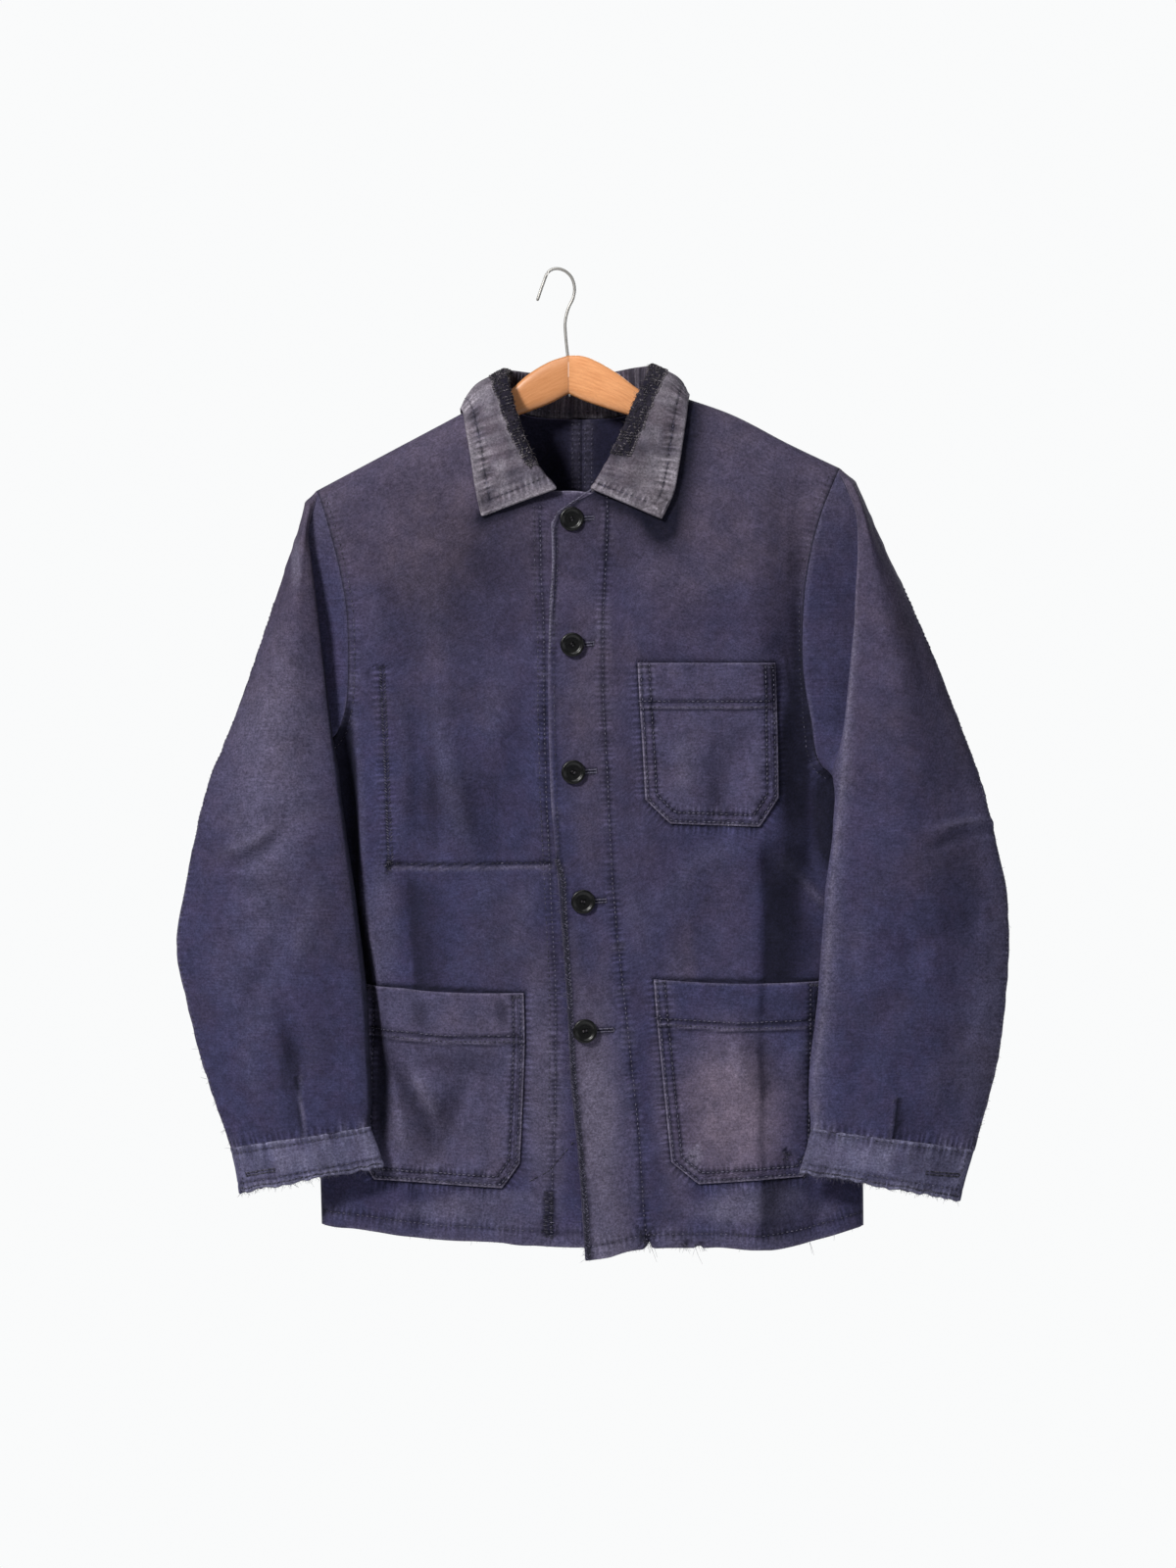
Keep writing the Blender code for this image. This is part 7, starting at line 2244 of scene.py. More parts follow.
def sleeve_puckers(r, row_run, column_run, soft):
    """Puckers at the cuff seam and along the outer seam; at the cuff seam their crests turn pale, partly wear
    and partly painted highlight, and their hollows take painted shade.
    """
    from_hind = np.abs(column_run - column_run[HIND_COLUMN])[None]
    to_cuff = (row_run[-1] - row_run)[:, None]
    r.gather(bell(from_hind, 0.0075) * (0.55 + 0.3 * soft), row_run[:, None])
    r.gather(0.9 * bell(to_cuff, 0.008), column_run[None])
    wave = noise(column_run[None] / 0.007, 0.0, 127)
    near = bell(to_cuff, 0.009)
    r.lift += near * wave * 0.0005
    r.worn += near * np.clip(wave, 0, 1) * 0.3
    r.dark += near * np.clip(-wave, 0, 1) * 0.3
    r.lift += bell(from_hind, 0.007) * noise(row_run[:, None] / 0.007, 0.0, 128) * 0.0004


def sleeve_relief(side, grid, row_run, column_run):
    """Relief of a sleeve's grid; its front half takes the listed folds."""
    r = Relief(grid[..., 0], grid[..., 2])
    soft = sleeve_folds(r, side, row_run, column_run)
    sleeve_wear(r, side, row_run, column_run, soft)
    sleeve_puckers(r, row_run, column_run, soft)
    return r


def runs(grid):
    """Mean length down a grid at each of its rows, and length across its middle row at each column."""
    row_run = np.linalg.norm(np.diff(grid, axis=0), axis=2).mean(axis=1)
    return np.concatenate([[0.0], np.cumsum(row_run)]), lengths(grid[len(grid) // 2])


class View:
    """Slice of a relief for one cut of a sleeve."""

    def __init__(self, relief, rows, columns):
        for name in ("worn", "dark", "warm", "near", "run"):
            setattr(self, name, getattr(relief, name)[rows, columns])


def sew_sleeve(side, moved, normals):
    """Two rows along the outer seam, its worn and frayed edge, and threads at the left pleat's holes."""
    thread = Thread()
    outer = moved + normals * THIN / 2
    cuff_row = len(moved) - 1
    for column in (HIND_COLUMN - 3, HIND_COLUMN + 3):
        thread.row(outer[SEWN_FROM:, column], normals[SEWN_FROM:, column], shade=0.35)
    lean = np.tile([OUTWARD[side], 0.0, -0.2], (len(moved), 1))
    start, per_metre = (SEWN_FROM, 180) if side == "right" else (int(0.60 * cuff_row), 450)
    for first, hairs, length, shade, curl in (
        (start, per_metre, 0.0010, 0.55, 0.9), (int(0.86 * cuff_row), 420, 0.0020, 0.5, 0.8),
    ):
        line, line_normals = moved[first:, HIND_COLUMN], normals[first:, HIND_COLUMN]
        thread.fray(line, line_normals, lean[first:], hairs, length, shade, curl)
    if side == "left":
        for row in (cuff_row - 23, cuff_row - 14):
            spot, n = moved[row, FLANK_COLUMN - 1], normals[row, FLANK_COLUMN - 1]
            away = np.array([n, n])
            thread.fray(np.array([spot, spot + [0, 0, 0.004]]), away, away, 2500, 0.004, 0.3, 1.0)
    return thread


def build_sleeves():
    """Both halves of each sleeve, their sewing, and the cuffs."""
    for side in ("right", "left"):
        grid, normals = sleeve(side)
        cuff_row = len(grid) - 1 - CUFF_ROWS
        arm, arm_normals = grid[: cuff_row + 1], normals[: cuff_row + 1]
        row_run, column_run = runs(arm)
        relief = sleeve_relief(side, arm, row_run, column_run)
        moved = arm + arm_normals * relief.lift[..., None]
        gap = tangents(grid, 1)[: cuff_row + 1, HIND_COLUMN] * SEAM_HALF
        for part, span, seam, way, sizes, edge in (
            ("top", slice(None, HIND_COLUMN + 1), -1, -1.0, TOP_FLAT, 0.45),
            ("under", slice(HIND_COLUMN, None), 0, 1.0, UNDER_FLAT, 0.35),
        ):
            shell = moved[:, span].copy()
            shell[:, seam] += way * gap
            name, nodes = f"cloth_sleeve_{side}_{part}", [f"sleeve_{side}_{part}_{end}" for end in ENDS]
            wear = View(relief, slice(None), span)
            thing = cloth(name, shell, arm_normals[:, span], THIN, MOLESKIN_FINISH, wear, nodes, edge)
        thread = sew_sleeve(side, moved, arm_normals)
        build_cuff(side, grid, normals, cuff_row, thread)
        thread.build(f"sleeve_{side}", THREAD)


CUFF_GAP = 3             # columns left open on both sides of the outer seam
CUFF_ROWS_AT = (0.0035, 0.0070)  # rows of stitches, from the cuff's top and from its hem
CUFF_HOLES = {"right": route((280, 1193), (252, 1198)), "left": route((945, 1196), (978, 1199))}


def cuff_relief(points, row_run, column_run, levels):
    """Puckers between the two rows of stitches with pale crests, partly wear and partly painted highlight,
    and painted shade in their hollows, random worn and dark patches, a worn hem, and painted shade in the
    grooves.
    """
    r = Relief(points[..., 0], points[..., 2])
    across, down = column_run[None], row_run[:, None]
    wave = noise(across / 0.0055, down / 0.06, 141)
    fine = noise(across / 0.0045, down / 0.02, 142)
    patch_wear = noise(across / 0.018, down / 0.02, 145)
    near = bell(np.minimum(row_run, row_run[-1] - row_run), 0.010)[:, None]
    r.gather(0.6 * near, across)
    r.lift += near * wave * 0.0008 + 0.0002 * wave + 0.0003 * fine
    r.worn += 0.20 + near * np.clip(wave, 0, 1) * 0.3
    r.worn += 0.15 * np.clip(fine, 0, 1) + 0.25 * np.clip(patch_wear, 0, 1)
    r.dark += near * np.clip(-wave, 0, 1) * 0.35
    r.dark += 0.15 * np.clip(-fine, 0, 1) + 0.25 * np.clip(-patch_wear, 0, 1)
    for level in levels:
        groove = bell(down - level, 0.0012)
        r.lift -= 0.0004 * groove
        r.dark += 0.6 * groove
    r.worn += 0.6 * bell(row_run[-1] - down, 0.003) * (0.5 + 0.5 * fine)
    return r


def ragged_cuff(points, column_run):
    """A worn hem, wavier than the body's."""
    hem = 0.0011 * noise(column_run / 0.004, 0.0, 143)
    hem += 0.0009 * noise(column_run / 0.012, 0.0, 144)
    points[-3:, :, 2] += hem[None] * np.array([[0.2], [0.6], [1.0]])
    return points


def cuff_buttonhole(thread, side, shown, normals):
    """Buttonhole on the shown half of the cuff, along a straight line in the front view."""
    first, last = CUFF_HOLES[side]
    line, line_normals = [], []
    for share in np.linspace(0, 1, 14):
        x, z = first * (1 - share) + last * share
        apart = (shown[..., 0] - x) ** 2 + (shown[..., 2] - z) ** 2
        row, column = np.unravel_index(int(np.argmin(apart)), apart.shape)
        line.append((x, shown[row, column, 1], z))
        line_normals.append(normals[row, column])
    buttonhole(thread, np.array(line), np.array(line_normals), 0.25)


def build_cuff(side, grid, normals, cuff_row, thread):
    """Double cloth band, open at the outer edge, with a worn and frayed hem and a buttonhole."""
    behind = range(HIND_COLUMN + CUFF_GAP, grid.shape[1] - 1)
    order = [*behind, *range(0, HIND_COLUMN - CUFF_GAP + 1)]
    points = grid[cuff_row:][:, order].copy()
    n = normals[cuff_row:][:, order]
    row_run, column_run = runs(points)
    levels = (CUFF_ROWS_AT[0], row_run[-1] - CUFF_ROWS_AT[1])
    r = cuff_relief(points, row_run, column_run, levels)
    points = ragged_cuff(points + n * r.lift[..., None], column_run)
    thing = cloth(f"cloth_cuff_{side}", points, n, THIN_CUFF, CUFF_FINISH, r, [f"cuff_{side}"], 0.8)
    outer = points + n * THIN_CUFF / 2
    for level in levels:
        row = int(np.argmin(np.abs(row_run - level)))
        thread.row(outer[row], n[row], shade=0.35)
    for column in (3, len(order) - 4):
        thread.row(outer[:, column], n[:, column], shade=0.4)
    thread.fray(points[-1], n[-1], np.tile([0.0, -0.15, -1.0], (len(order), 1)), 2600, 0.0019, 0.5, 0.9)
    thread.row(outer[-2], n[-2], pitch=0.0016, length=0.0022, shade=0.2, zigzag=0.0010)
    cuff_buttonhole(thread, side, outer[:, len(behind):], n[:, len(behind):])


# ----------------------------------------------------------------------------------------------------
# Collar

COLLAR_INSET = 0.0098    # row of stitches inside the collar's edges
LEAF_COLUMN = sum(COLLAR_ACROSS[:3])  # the collar's fold; the leaf begins there
SEAM_COLUMN = 2          # column of the stand's lower stitches
# Dark darned strips along the fold: shares of the collar's length, then middle and half width off the fold
DARNED = ((0.088, 0.36, 0.02), (0.66, 0.892, 0.008))
DARN_STITCHED = ((0.088, 0.36), (0.66, 0.890))
DARN_FRAYED = ((0.11, 0.36), (0.64, 0.88))
DARN_MIDDLE = ((0.08, 0.0022), (0.24, 0.0050), (0.70, 0.0052), (0.80, 0.0062), (0.90, 0.0085))
DARN_HALF = ((0.08, 0.0050), (0.24, 0.0085), (0.30, 0.0085))
DARN_STITCHES = 700
DARN_LENGTH = 0.0014     # half length of one of them


class CollarMap:
    """How far each point of the collar's grid lies along the neck and from its edges, fold and strips."""

    def __init__(self, grid):
        rows, columns = grid.shape[:2]
        step = np.linalg.norm(np.diff(grid, axis=1), axis=2)
        self.column_run = np.concatenate([np.zeros((rows, 1)), np.cumsum(step, axis=1)], axis=1)
        self.to_edge = self.column_run[:, -1:] - self.column_run
        self.edge_run = lengths(grid[:, -1])
        self.run = np.repeat(self.edge_run[:, None], columns, axis=1)
        self.to_end = np.minimum(self.run, self.edge_run[-1] - self.run)
        self.margin = np.minimum(self.to_edge, self.to_end)
        self.leaf = (np.arange(columns) >= LEAF_COLUMN).astype(float)[None]
        self.from_fold = self.column_run - self.column_run[:, LEAF_COLUMN: LEAF_COLUMN + 1]
        share = np.arange(rows) / (rows - 1)
        self.darned = sum(
            smooth((share - low) / 0.02) * smooth((high - share) / fade) for low, high, fade in DARNED
        )[:, None]
        self.middle = np.interp(share, *zip(*DARN_MIDDLE))[:, None]
        half = np.interp(share, *zip(*DARN_HALF))[:, None]
        self.wide = half + 0.0012 * noise(self.run / 0.005, 0.0, 160)
        self.from_strip = np.abs(self.from_fold - self.middle) - self.wide


def collar_leaf(r, m):
    """Stitched and puckered margin of the leaf, with painted shade in its groove, pale pucker crests (wear
    and painted highlight) and painted shade in their hollows, its streaks and blotches, and its pale edge.
    """
    run, to_edge, to_end, leaf = m.run, m.to_edge, m.to_end, m.leaf
    pucker = noise(run / 0.0046, to_edge / 0.035, 151)
    pucker += 0.6 * noise(run / 0.0028, to_edge / 0.02, 152)
    end_pucker = noise(to_edge / 0.0046, to_end / 0.03, 153)
    end_pucker += 0.4 * noise(to_edge / 0.0026, to_end / 0.02, 158)
    near = bell(to_edge - COLLAR_INSET, 0.0060) * leaf
    near_end = bell(to_end - COLLAR_INSET, 0.0055) * leaf
    groove = bell(m.margin - COLLAR_INSET, 0.0011) * leaf
    r.lift += near * pucker * 0.0011 + near_end * end_pucker * 0.0009
    r.lift -= groove * 0.0004
    r.lift += 0.0005 * noise(run / 0.03, to_edge / 0.03, 154) * leaf
    r.dark += groove * 0.50
    r.worn += near * np.clip(pucker, 0, 1) * 0.5 + near_end * np.clip(end_pucker, 0, 1) * 0.4
    r.dark += near * np.clip(-pucker, 0, 1) * 0.45 + near_end * np.clip(-end_pucker, 0, 1) * 0.40
    for field, worn, dark in (
        (noise(run / 0.0035, to_edge / 0.030, 162) * leaf, 0.35, 0.30),
        (noise(run / 0.012, to_edge / 0.012, 159) * leaf, 0.30, 0.30),
    ):
        r.worn += worn * np.clip(field, 0, 1)
        r.dark += dark * np.clip(-field, 0, 1)
    r.worn += 0.35 * bell(m.margin, 0.0050) * leaf
    r.warm += 0.45 * leaf * np.clip(noise(run / 0.04, to_edge / 0.03, 157) + 0.3, 0, 1)
    r.gather(near, run)
    r.gather(near_end * 0.9, to_edge)


def collar_stand(r, m):
    """Upright puckers inside the neck, pale on their crests (wear and painted highlight) with painted shade
    in their hollows; the stand is darker all over, partly unfaded navy and partly painted shade inside the
    neck; and the pale row along the neck seam.
    """
    stand = 1 - m.leaf
    upright = noise(m.run / 0.006, m.column_run / 0.05, 155)
    r.gather(0.8 * stand, m.run)
    r.lift += stand * upright * 0.0004
    r.dark += stand * (0.52 + 0.45 * np.clip(-upright, 0, 1))
    r.worn += 0.55 * stand * bell(m.column_run, 0.0018)
    r.worn += 0.50 * stand * np.clip(upright, 0, 1)


def collar_strips(r, m):
    """Dark darned strips along the fold, from the back neck down to part of each front, with a pale rim."""
    strip = smooth(0.5 - m.from_strip / 0.0012) * m.darned
    rim = bell(m.from_strip, 0.0016) * m.darned
    r.worn += 0.55 * rim * (0.5 + 0.5 * noise(m.run / 0.0024, m.from_fold / 0.0024, 161))
    r.worn += 0.25 * bell(m.from_fold - 0.0125, 0.0022) * m.darned
    r.dark += 0.95 * strip
    r.worn -= 0.6 * strip
    r.lift += strip * (0.0003 + 0.00025 * noise(m.run / 0.0022, m.from_fold / 0.0022, 156))


def sew_collar(m, outer, flip):
    """The stitched margin and the two rows of the neck seam."""
    thread = Thread()
    columns = outer.shape[1]
    first = int(np.argmin(np.abs(m.edge_run - COLLAR_INSET)))
    last = int(np.argmin(np.abs(m.edge_run[-1] - m.edge_run - COLLAR_INSET)))
    line, line_normals = [], []
    for row in range(first, last + 1, 2):
        column = float(np.interp(COLLAR_INSET, m.to_edge[row, ::-1], np.arange(columns)[::-1]))
        k = min(int(column), columns - 2)
        t = column - k
        line.append(outer[row, k] * (1 - t) + outer[row, k + 1] * t)
        line_normals.append(flip[row, k])
    thread.row(line, line_normals, shade=0.35)
    for row in (first, last):
        span = slice(LEAF_COLUMN + 8, int(np.argmin(np.abs(m.to_edge[row] - COLLAR_INSET))))
        thread.row(outer[row, span], flip[row, span], shade=0.35)
    seam, seam_normals = outer[:, SEAM_COLUMN], flip[:, SEAM_COLUMN]
    thread.row(seam - seam_normals * THIN_COLLAR, -seam_normals, pitch=0.0030, length=0.0027, shade=1.0)
    thread.row(seam, seam_normals, shade=0.45)
    thread.build("collar", THREAD)


def darn_collar(m, grid, outer, flip):
    """Short stitches in all directions over the darned strips, pale ones mostly along their rims."""
    darn = Thread()
    rows = len(grid)
    for low, high in DARN_STITCHED:
        for _ in range(DARN_STITCHES):
            row = int((low + (high - low) * rng.random()) * (rows - 1))
            at_rim = rng.random() < 0.35
            across = float(np.sign(rng.random() - 0.5)) if at_rim else 2 * rng.random() - 1
            reach = m.middle[row, 0] + m.wide[row, 0] * across
            column = int(np.argmin(np.abs(m.from_fold[row] - reach)))
            turn = rng.random() * math.pi
            normal = flip[row, column]
            down = unit(grid[min(row + 1, rows - 1), column] - grid[max(row - 1, 0), column])
            way = (down * math.cos(turn) + unit(np.cross(normal, down)) * math.sin(turn)) * DARN_LENGTH
            centre = outer[row, column] + normal * 0.0002
            shade = 1.0 if rng.random() < (0.7 if at_rim else 0.14) else 0.05
            darn.stitch((centre - way)[None], (centre + way)[None], normal[None], 0.8, shade)
    for low, high in DARN_FRAYED:
        span = slice(int(low * rows), int(high * rows))
        normals = flip[span, LEAF_COLUMN]
        darn.fray(outer[span, LEAF_COLUMN], normals, normals, 1500, 0.0012, 0.45, 1.0)
    darn.build("collar_darning", DARN_THREAD)


def build_collar():
    grid = collar_points()
    normals = unit(np.cross(tangents(grid, 0), tangents(grid, 1)))
    flip = normals * np.sign(np.dot(normals[0, -1], [0.0, -1.0, 0.0]))
    m = CollarMap(grid)
    r = Relief(grid[..., 0], grid[..., 2])
    collar_leaf(r, m)
    collar_stand(r, m)
    collar_strips(r, m)
    corner = bell(np.hypot(m.to_edge - COLLAR_INSET, m.to_end - COLLAR_INSET), 0.008) * m.leaf
    r.lift *= 1 - 0.8 * corner
    r.near *= 1 - 0.9 * corner
    r.worn = np.minimum(r.worn, 0.85) * (1 - 0.5 * corner)
    points = grid + flip * r.lift[..., None]
    thing = cloth(
        "cloth_collar", points, flip, THIN_COLLAR, COLLAR_FINISH, r, ["collar"], 0.55, 0.5,
    )
    outer = points + flip * THIN_COLLAR / 2
    sew_collar(m, outer, flip)
    darn_collar(m, grid, outer, flip)


# ----------------------------------------------------------------------------------------------------
# Buttons, hanger and hook

# Half of a button's section: share of its radius and of its thickness
BUTTON_PROFILE = (
    (0.00, 0.0), (0.78, 0.0), (0.93, 0.18), (1.0, 0.42), (1.0, 0.62), (0.97, 0.84), (0.92, 0.96), (0.86, 1.0),
    (0.79, 0.97), (0.72, 0.83), (0.66, 0.70), (0.58, 0.66), (0.0, 0.66),
)
BUTTON_TURN = 72         # sides of a button
BUTTON_DISH = 0.66       # share of the thickness at the holes
HOLE_REACH = 0.0017      # from the button's middle to a hole's
HOLE_RADIUS = 0.00095
HOLE_SIDES = 24
BUTTON_RING = 0.009      # round the button, where the cloth's height is taken
THREAD_SLIPS = (-0.0003, 0.0, 0.0003)  # three threads beside each other in a pair of holes
CUFF_BUTTON_TURN = 0.4


def lathed_button():
    """Mesh of the button without holes, lying flat with its back at z 0."""
    work = bmesh.new()
    rings = []
    for reach, height in BUTTON_PROFILE:
        if reach == 0.0:
            rings.append([work.verts.new((0, 0, height * BUTTON_THICK))])
            continue
        ring = []
        for k in range(BUTTON_TURN):
            a = 2 * math.pi * k / BUTTON_TURN
            x, y = reach * BUTTON_RADIUS * math.cos(a), reach * BUTTON_RADIUS * math.sin(a)
            ring.append(work.verts.new((x, y, height * BUTTON_THICK)))
        rings.append(ring)
    for low, high in zip(rings[:-1], rings[1:]):
        for k in range(BUTTON_TURN):
            j = (k + 1) % BUTTON_TURN
            if len(low) == 1:
                work.faces.new((low[0], high[j], high[k]))
            elif len(high) == 1:
                work.faces.new((low[k], low[j], high[0]))
            else:
                work.faces.new((low[k], low[j], high[j], high[k]))
    mesh = bpy.data.meshes.new("button_blank")
    work.to_mesh(mesh)
    work.free()
    return mesh


def button_mesh():
    """Four-hole button of the front buttons' size."""
    body = linked("button_blank", lathed_button())
    cutters = []
    for k in range(4):
        a = math.pi / 4 + k * math.pi / 2
        place = (HOLE_REACH * math.cos(a), HOLE_REACH * math.sin(a), 0)
        bpy.ops.mesh.primitive_cylinder_add(
            vertices=HOLE_SIDES, radius=HOLE_RADIUS, depth=0.02, location=place,
        )
        cutter = bpy.context.object
        cutters.append(cutter)
        cut = body.modifiers.new("hole", "BOOLEAN")
        cut.operation = "DIFFERENCE"
        cut.object = cutter
        cut.solver = "EXACT"
    shown = body.evaluated_get(bpy.context.evaluated_depsgraph_get())
    result = bpy.data.meshes.new_from_object(shown)
    for thing in [body, *cutters]:
        bpy.data.objects.remove(thing, do_unlink=True)
    return result


def front_button_places():
    """Node, place of the back's middle, outward normal, radius and turn of each front button."""
    places = []
    for number, (x, z) in enumerate(FRONT_BUTTONS, 1):
        place, normal = body_surface("front", x, z)
        lifts = []
        for a in np.linspace(0, 2 * math.pi, 13):
            u = np.array([x + BUTTON_RING * math.cos(a)])
            v = np.array([z + BUTTON_RING * math.sin(a)])
            lifts.append(float(front_relief("left", u, v).lift[0]))
        out = LAP + max(max(lifts), 0.0) * 0.6 + THIN / 2 + 0.0004
        places.append((f"button_front_{number}", place + normal * out, normal, BUTTON_RADIUS, 0.35 * number))
    return places


def cuff_button_places():
    """The same for the cuffs' buttons, on the point of the cuff nearest to each packed one."""
    places = []
    for side in ("right", "left"):
        node = f"button_cuff_{side}"
        low, high = (np.array(corner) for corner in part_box(node))
        grid, normals = sleeve(side)
        first_row = len(grid) - CUFF_ROWS - 1
        gap = np.linalg.norm(grid[first_row:] - (low + high) / 2, axis=2)
        row, column = np.unravel_index(int(np.argmin(gap)), gap.shape)
        normal = normals[first_row + row, column]
        place = grid[first_row + row, column] + normal * (CUFF_CLOTH / 2 + BUTTON_GAP)
        places.append((node, place, normal, CUFF_BUTTON_RADIUS, CUFF_BUTTON_TURN))
    return places


def build_buttons():
    """Every button from one mesh, each with two bars of thread through its holes."""
    blank = button_mesh()
    numbers = np.empty(len(blank.vertices) * 3)
    blank.vertices.foreach_get("co", numbers)
    flat = numbers.reshape(-1, 3)
    thread = Thread()
    for node, place, normal, radius, turn in front_button_places() + cuff_button_places():
        scale = radius / BUTTON_RADIUS
        first = unit(np.cross(normal, [0.0, 0.0, 1.0]))
        first = first * math.cos(turn) + np.cross(normal, first) * math.sin(turn)
        second = np.cross(normal, first)
        moved = place + scale * (flat[:, :1] * first + flat[:, 1:2] * second + flat[:, 2:] * normal)
        mesh = blank.copy()
        mesh.vertices.foreach_set("co", moved.astype(np.float32).ravel())
        mesh.materials.clear()
        mesh.name = f"{node}_detailed"
        mesh.shade_smooth()
        mesh.set_sharp_from_angle(angle=math.radians(32))
        new_piece(f"{node}_detailed", mesh, BUTTON, [node])
        top = place + normal * BUTTON_THICK * BUTTON_DISH * scale
        reach = HOLE_REACH * scale * math.sqrt(0.5)
        for way in (-1.0, 1.0):
            for slip in THREAD_SLIPS:
                a = top + (first * -reach + second * way * (reach + slip)) - normal * 0.0003
                b = top + (first * reach + second * way * (reach + slip)) - normal * 0.0003
                thread.stitch(a[None], b[None], normal[None], 1.2, 0.0)
    thread.build("buttons", DARN_THREAD)


HOOK_TIP = (0.92, 0.55)  # radii of the last two points, shares of the wire's
# The wire's end under the hanger, y from the middle plane
WIRE_END = ((0.0128, -0.001, -0.1060), (0.0129, -0.0012, -0.1085), (0.0130, -0.0014, -0.1100))
WIRE_END_RADII = (0.0009, 0.0009, 0.0005)


def lofted(name, rings, uv, dark, material, replaced):
    """Closed solid through rings, with flat fans at its ends."""
    count, sides = rings.shape[:2]
    index = np.arange(count * sides).reshape(count, sides)
    after = np.roll(index, -1, axis=1)
    quads = np.stack([index[:-1], after[:-1], after[1:], index[1:]], axis=-1).reshape(-1, 4).tolist()
    faces = quads + [index[0][::-1].tolist(), index[-1].tolist()]
    mesh = bpy.data.meshes.new(name)
    mesh.from_pydata(rings.reshape(-1, 3).tolist(), [], faces)
    work = bmesh.new()
    work.from_mesh(mesh)
    bmesh.ops.recalc_face_normals(work, faces=work.faces)
    work.to_mesh(mesh)
    work.free()
    mesh.shade_smooth()
    mesh.set_sharp_from_angle(angle=math.radians(42))
    add_attributes(mesh, dark=dark, worn=np.zeros(count * sides), warm=np.zeros(count * sides))
    add_uv(mesh, uv.reshape(-1, 2))
    return new_piece(name, mesh, material, replaced)


def build_hanger():
    """Two carved arms of rounded oblong sections, with painted shade below and on the right arm, and darker
    wood at the joint.
    """
    for name, table, away in (("hanger_right", HANGER_RIGHT, -1.0), ("hanger_left", HANGER_LEFT, 1.0)):
        rows = np.array(table, float)
        rows[0, 0] += away * HANGER_GAP
        rows = spline(rows, [10] * (len(rows) - 1))
        middles = 0.5 * (rows[:, 1] + rows[:, 2])
        steps = np.hypot(np.diff(rows[:, 0]), np.diff(middles))
        runs = np.concatenate([[0.0], np.cumsum(steps)])
        rings, uv, dark = [], [], []
        for (x, top, bottom, half), middle, run in zip(rows, middles, runs):
            ring = []
            # Painted shade on the right arm, and darker wood at the joint
            shade_and_joint = (0.80 if away < 0 else 0.0) + 0.35 * math.exp(-run / 0.003)
            for step in range(HANGER_SIDES):
                angle = 2 * math.pi * (step + 0.5) / HANGER_SIDES
                c, s = math.cos(angle), math.sin(angle)
                y = half * math.copysign(abs(c) ** (2 / HANGER_SQUARE), c)
                height = middle + 0.5 * (top - bottom) * math.copysign(abs(s) ** (2 / HANGER_SQUARE), s)
                ring.append((x, y + float(middle_plane(x, height)), height))
                uv.append((run + (3.0 if away > 0 else 0.0), height - middle + y))
                # Painted shade on the underside
                dark.append(0.8 * max(0.0, -s) ** 4 + shade_and_joint)
            rings.append(ring)
        lofted(f"wood_{name}", np.array(rings), np.array(uv), dark, WOOD_FINISH, [name])


def build_hook():
    """The bent wire with its rounded tip, and its riveted end below the wood."""
    route_xz = spline(HOOK_ROUTE, [HOOK_SPAN] * (len(HOOK_ROUTE) - 1))
    path = np.stack([route_xz[:, 0], np.zeros(len(route_xz)), route_xz[:, 1]], axis=1)
    into_wood = path[:1] + np.array([[0.0005, 0.0, -0.006]])
    path = np.concatenate([into_wood, path])[None]
    radii = np.full(path.shape[1], HOOK_WIRE)
    radii[-2:] *= HOOK_TIP
    thing = tubes("wire_hook", path, radii[None], STEEL_FINISH, 20)
    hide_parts("hook")
    middle = float(middle_plane(0.0128, -0.108))
    stub = np.array(WIRE_END) + np.array([0.0, middle, 0.0])
    tubes("wire_end", stub[None], np.array([WIRE_END_RADII]), STEEL_FINISH, 12)


# ----------------------------------------------------------------------------------------------------
# Camera, light and floor

CAMERA_AWAY = 8.0
VIEW_CENTRE = (0.0289, -0.4471)
VIEW_HEIGHT = 1.360
SENSOR = 36.0
FRONT_AHEAD = 0.03       # how far the front stands before the middle plane
LIT_POINT = (0.03, 0.0, -0.45)
LAMPS = (  # place, size, power and tint
    ("key", (-2.2, -2.9, 1.7), 0.7, 182.0, (1.0, 0.985, 0.96)),
    ("fill", (3.0, -2.8, 0.3), 2.4, 26.0, (0.95, 0.97, 1.0)),
    ("top", (-0.4, -0.9, 2.4), 1.2, 20.0, (1.0, 1.0, 1.0)),
    ("back", (1.0, 3.0, 0.6), 2.4, 60.0, (0.97, 0.98, 1.0)),
)
FLOOR_RADIUS = 2.4
FLOOR_SIDES = 96
FLOOR_Z = -1.47


def lamp_turn(aim):
    """Euler angles that turn a lamp's -Z along aim."""
    x, y, z = aim / np.linalg.norm(aim)
    tilt = math.acos(max(-1.0, min(1.0, -z)))
    spin = math.atan2(x, -y) if math.hypot(x, y) > 1e-9 else 0.0
    return tilt, 0.0, spin + math.pi


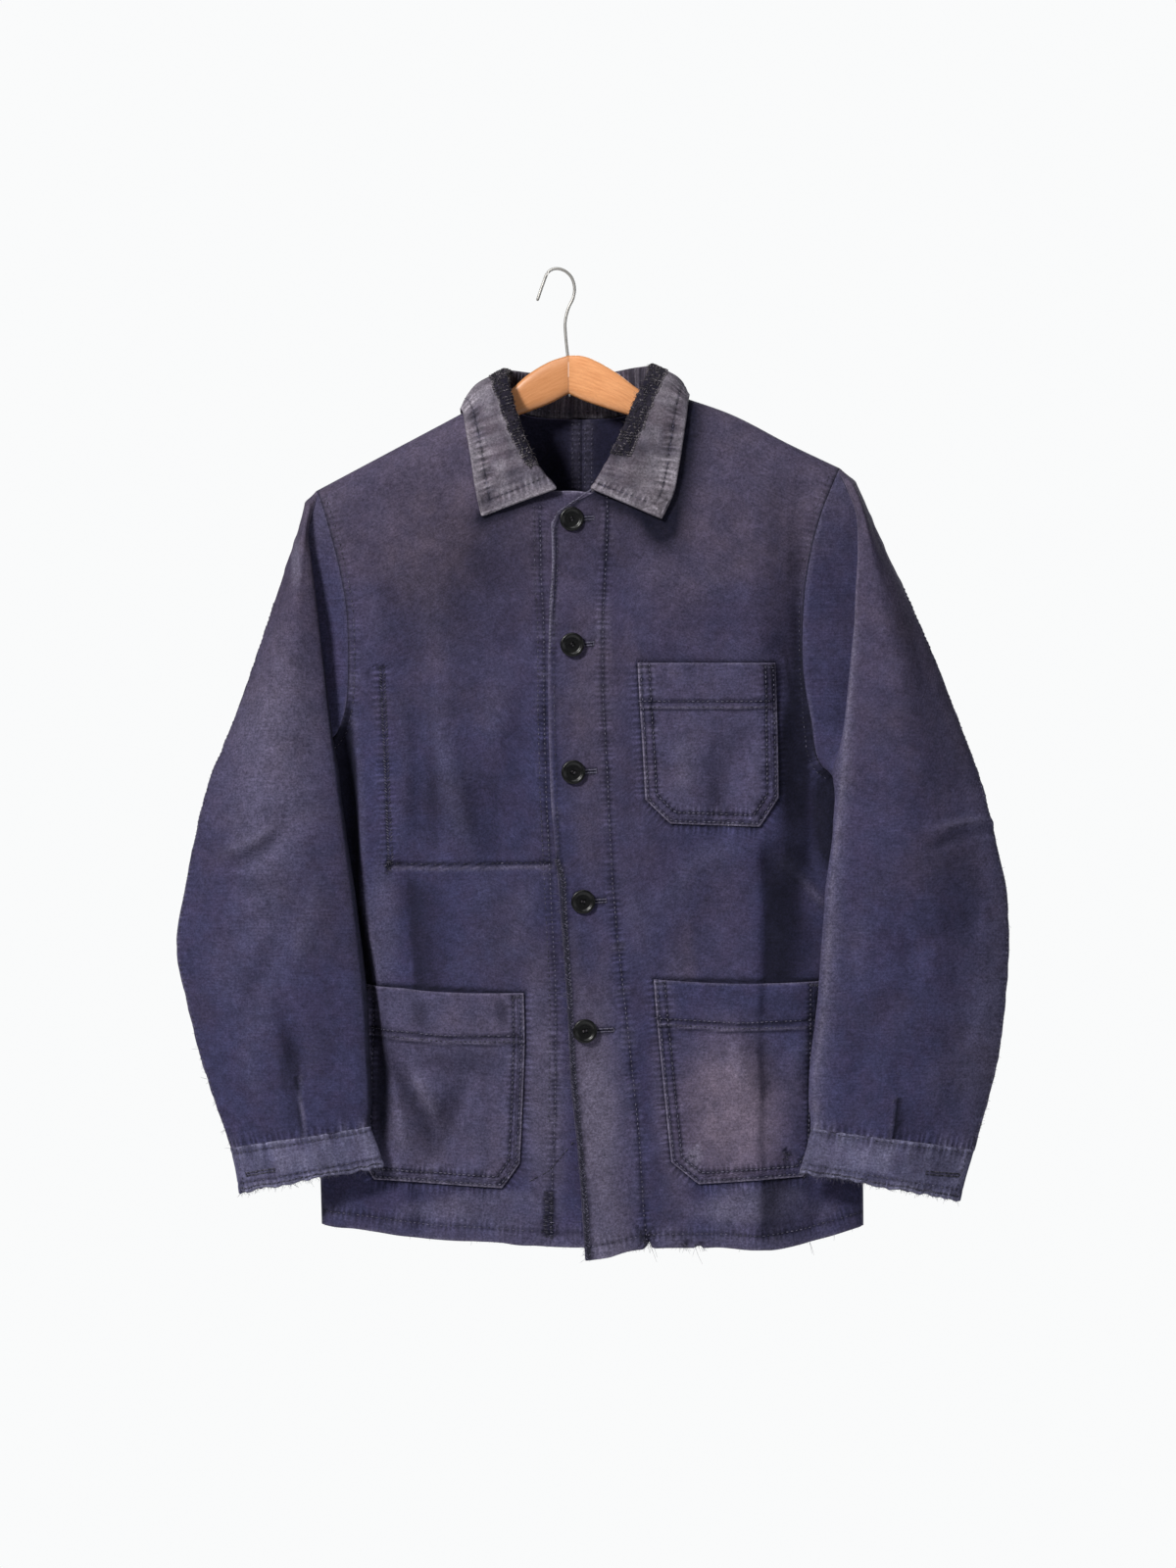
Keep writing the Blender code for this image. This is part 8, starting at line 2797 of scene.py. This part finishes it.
def build_camera():
    camera = bpy.data.cameras.new("camera")
    camera.sensor_width = SENSOR
    camera.lens = SENSOR * CAMERA_AWAY / VIEW_HEIGHT
    camera.clip_end = 60.0
    eye = linked("camera", camera)
    eye.location = (VIEW_CENTRE[0], -CAMERA_AWAY - FRONT_AHEAD, VIEW_CENTRE[1])
    eye.rotation_euler = (math.pi / 2, 0, 0)
    bpy.context.scene.camera = eye


def build_lamps():
    for name, place, size, power, tint in LAMPS:
        lamp = bpy.data.lights.new(name, "AREA")
        lamp.size = size
        lamp.energy = power
        lamp.color = tint
        thing = linked(name, lamp)
        thing.location = place
        thing.rotation_euler = lamp_turn(np.array(LIT_POINT) - np.array(place))


def build_floor():
    mesh = bpy.data.meshes.new("floor")
    turn = [2 * math.pi * k / FLOOR_SIDES for k in range(FLOOR_SIDES)]
    rim = [(FLOOR_RADIUS * math.cos(a), FLOOR_RADIUS * math.sin(a), FLOOR_Z) for a in turn]
    mesh.from_pydata(rim, [], [list(range(FLOOR_SIDES))])
    paint = Material("floor_paint")
    paint.set(Base_Color=(0.86, 0.87, 0.88), Roughness=0.8)
    mesh.materials.append(paint.material)
    linked("floor", mesh)


def build_world():
    """Plain pale backdrop that lights the jacket only a little."""
    world = bpy.data.worlds.new("studio")
    bpy.context.scene.world = world
    world.use_nodes = True
    tree = world.node_tree
    backdrop = tree.nodes["Background"]
    backdrop.inputs["Color"].default_value = (0.955, 0.962, 0.965, 1.0)
    backdrop.inputs["Strength"].default_value = 1.0
    glow = tree.nodes.new("ShaderNodeBackground")
    glow.inputs["Color"].default_value = (0.90, 0.93, 1.0, 1.0)
    glow.inputs["Strength"].default_value = 0.05
    path = tree.nodes.new("ShaderNodeLightPath")
    blend = tree.nodes.new("ShaderNodeMixShader")
    for output, socket in (
        (path.outputs["Is Camera Ray"], blend.inputs[0]),
        (glow.outputs[0], blend.inputs[1]),
        (backdrop.outputs[0], blend.inputs[2]),
        (blend.outputs[0], tree.nodes["World Output"].inputs["Surface"]),
    ):
        tree.links.new(output, socket)
    bpy.context.scene.view_settings.view_transform = "Standard"


build_camera()
build_lamps()
build_floor()
build_world()
build_fronts()
build_backs()
build_front_sewing()
build_pockets()
build_sleeves()
build_collar()
build_buttons()
build_hanger()
build_hook()
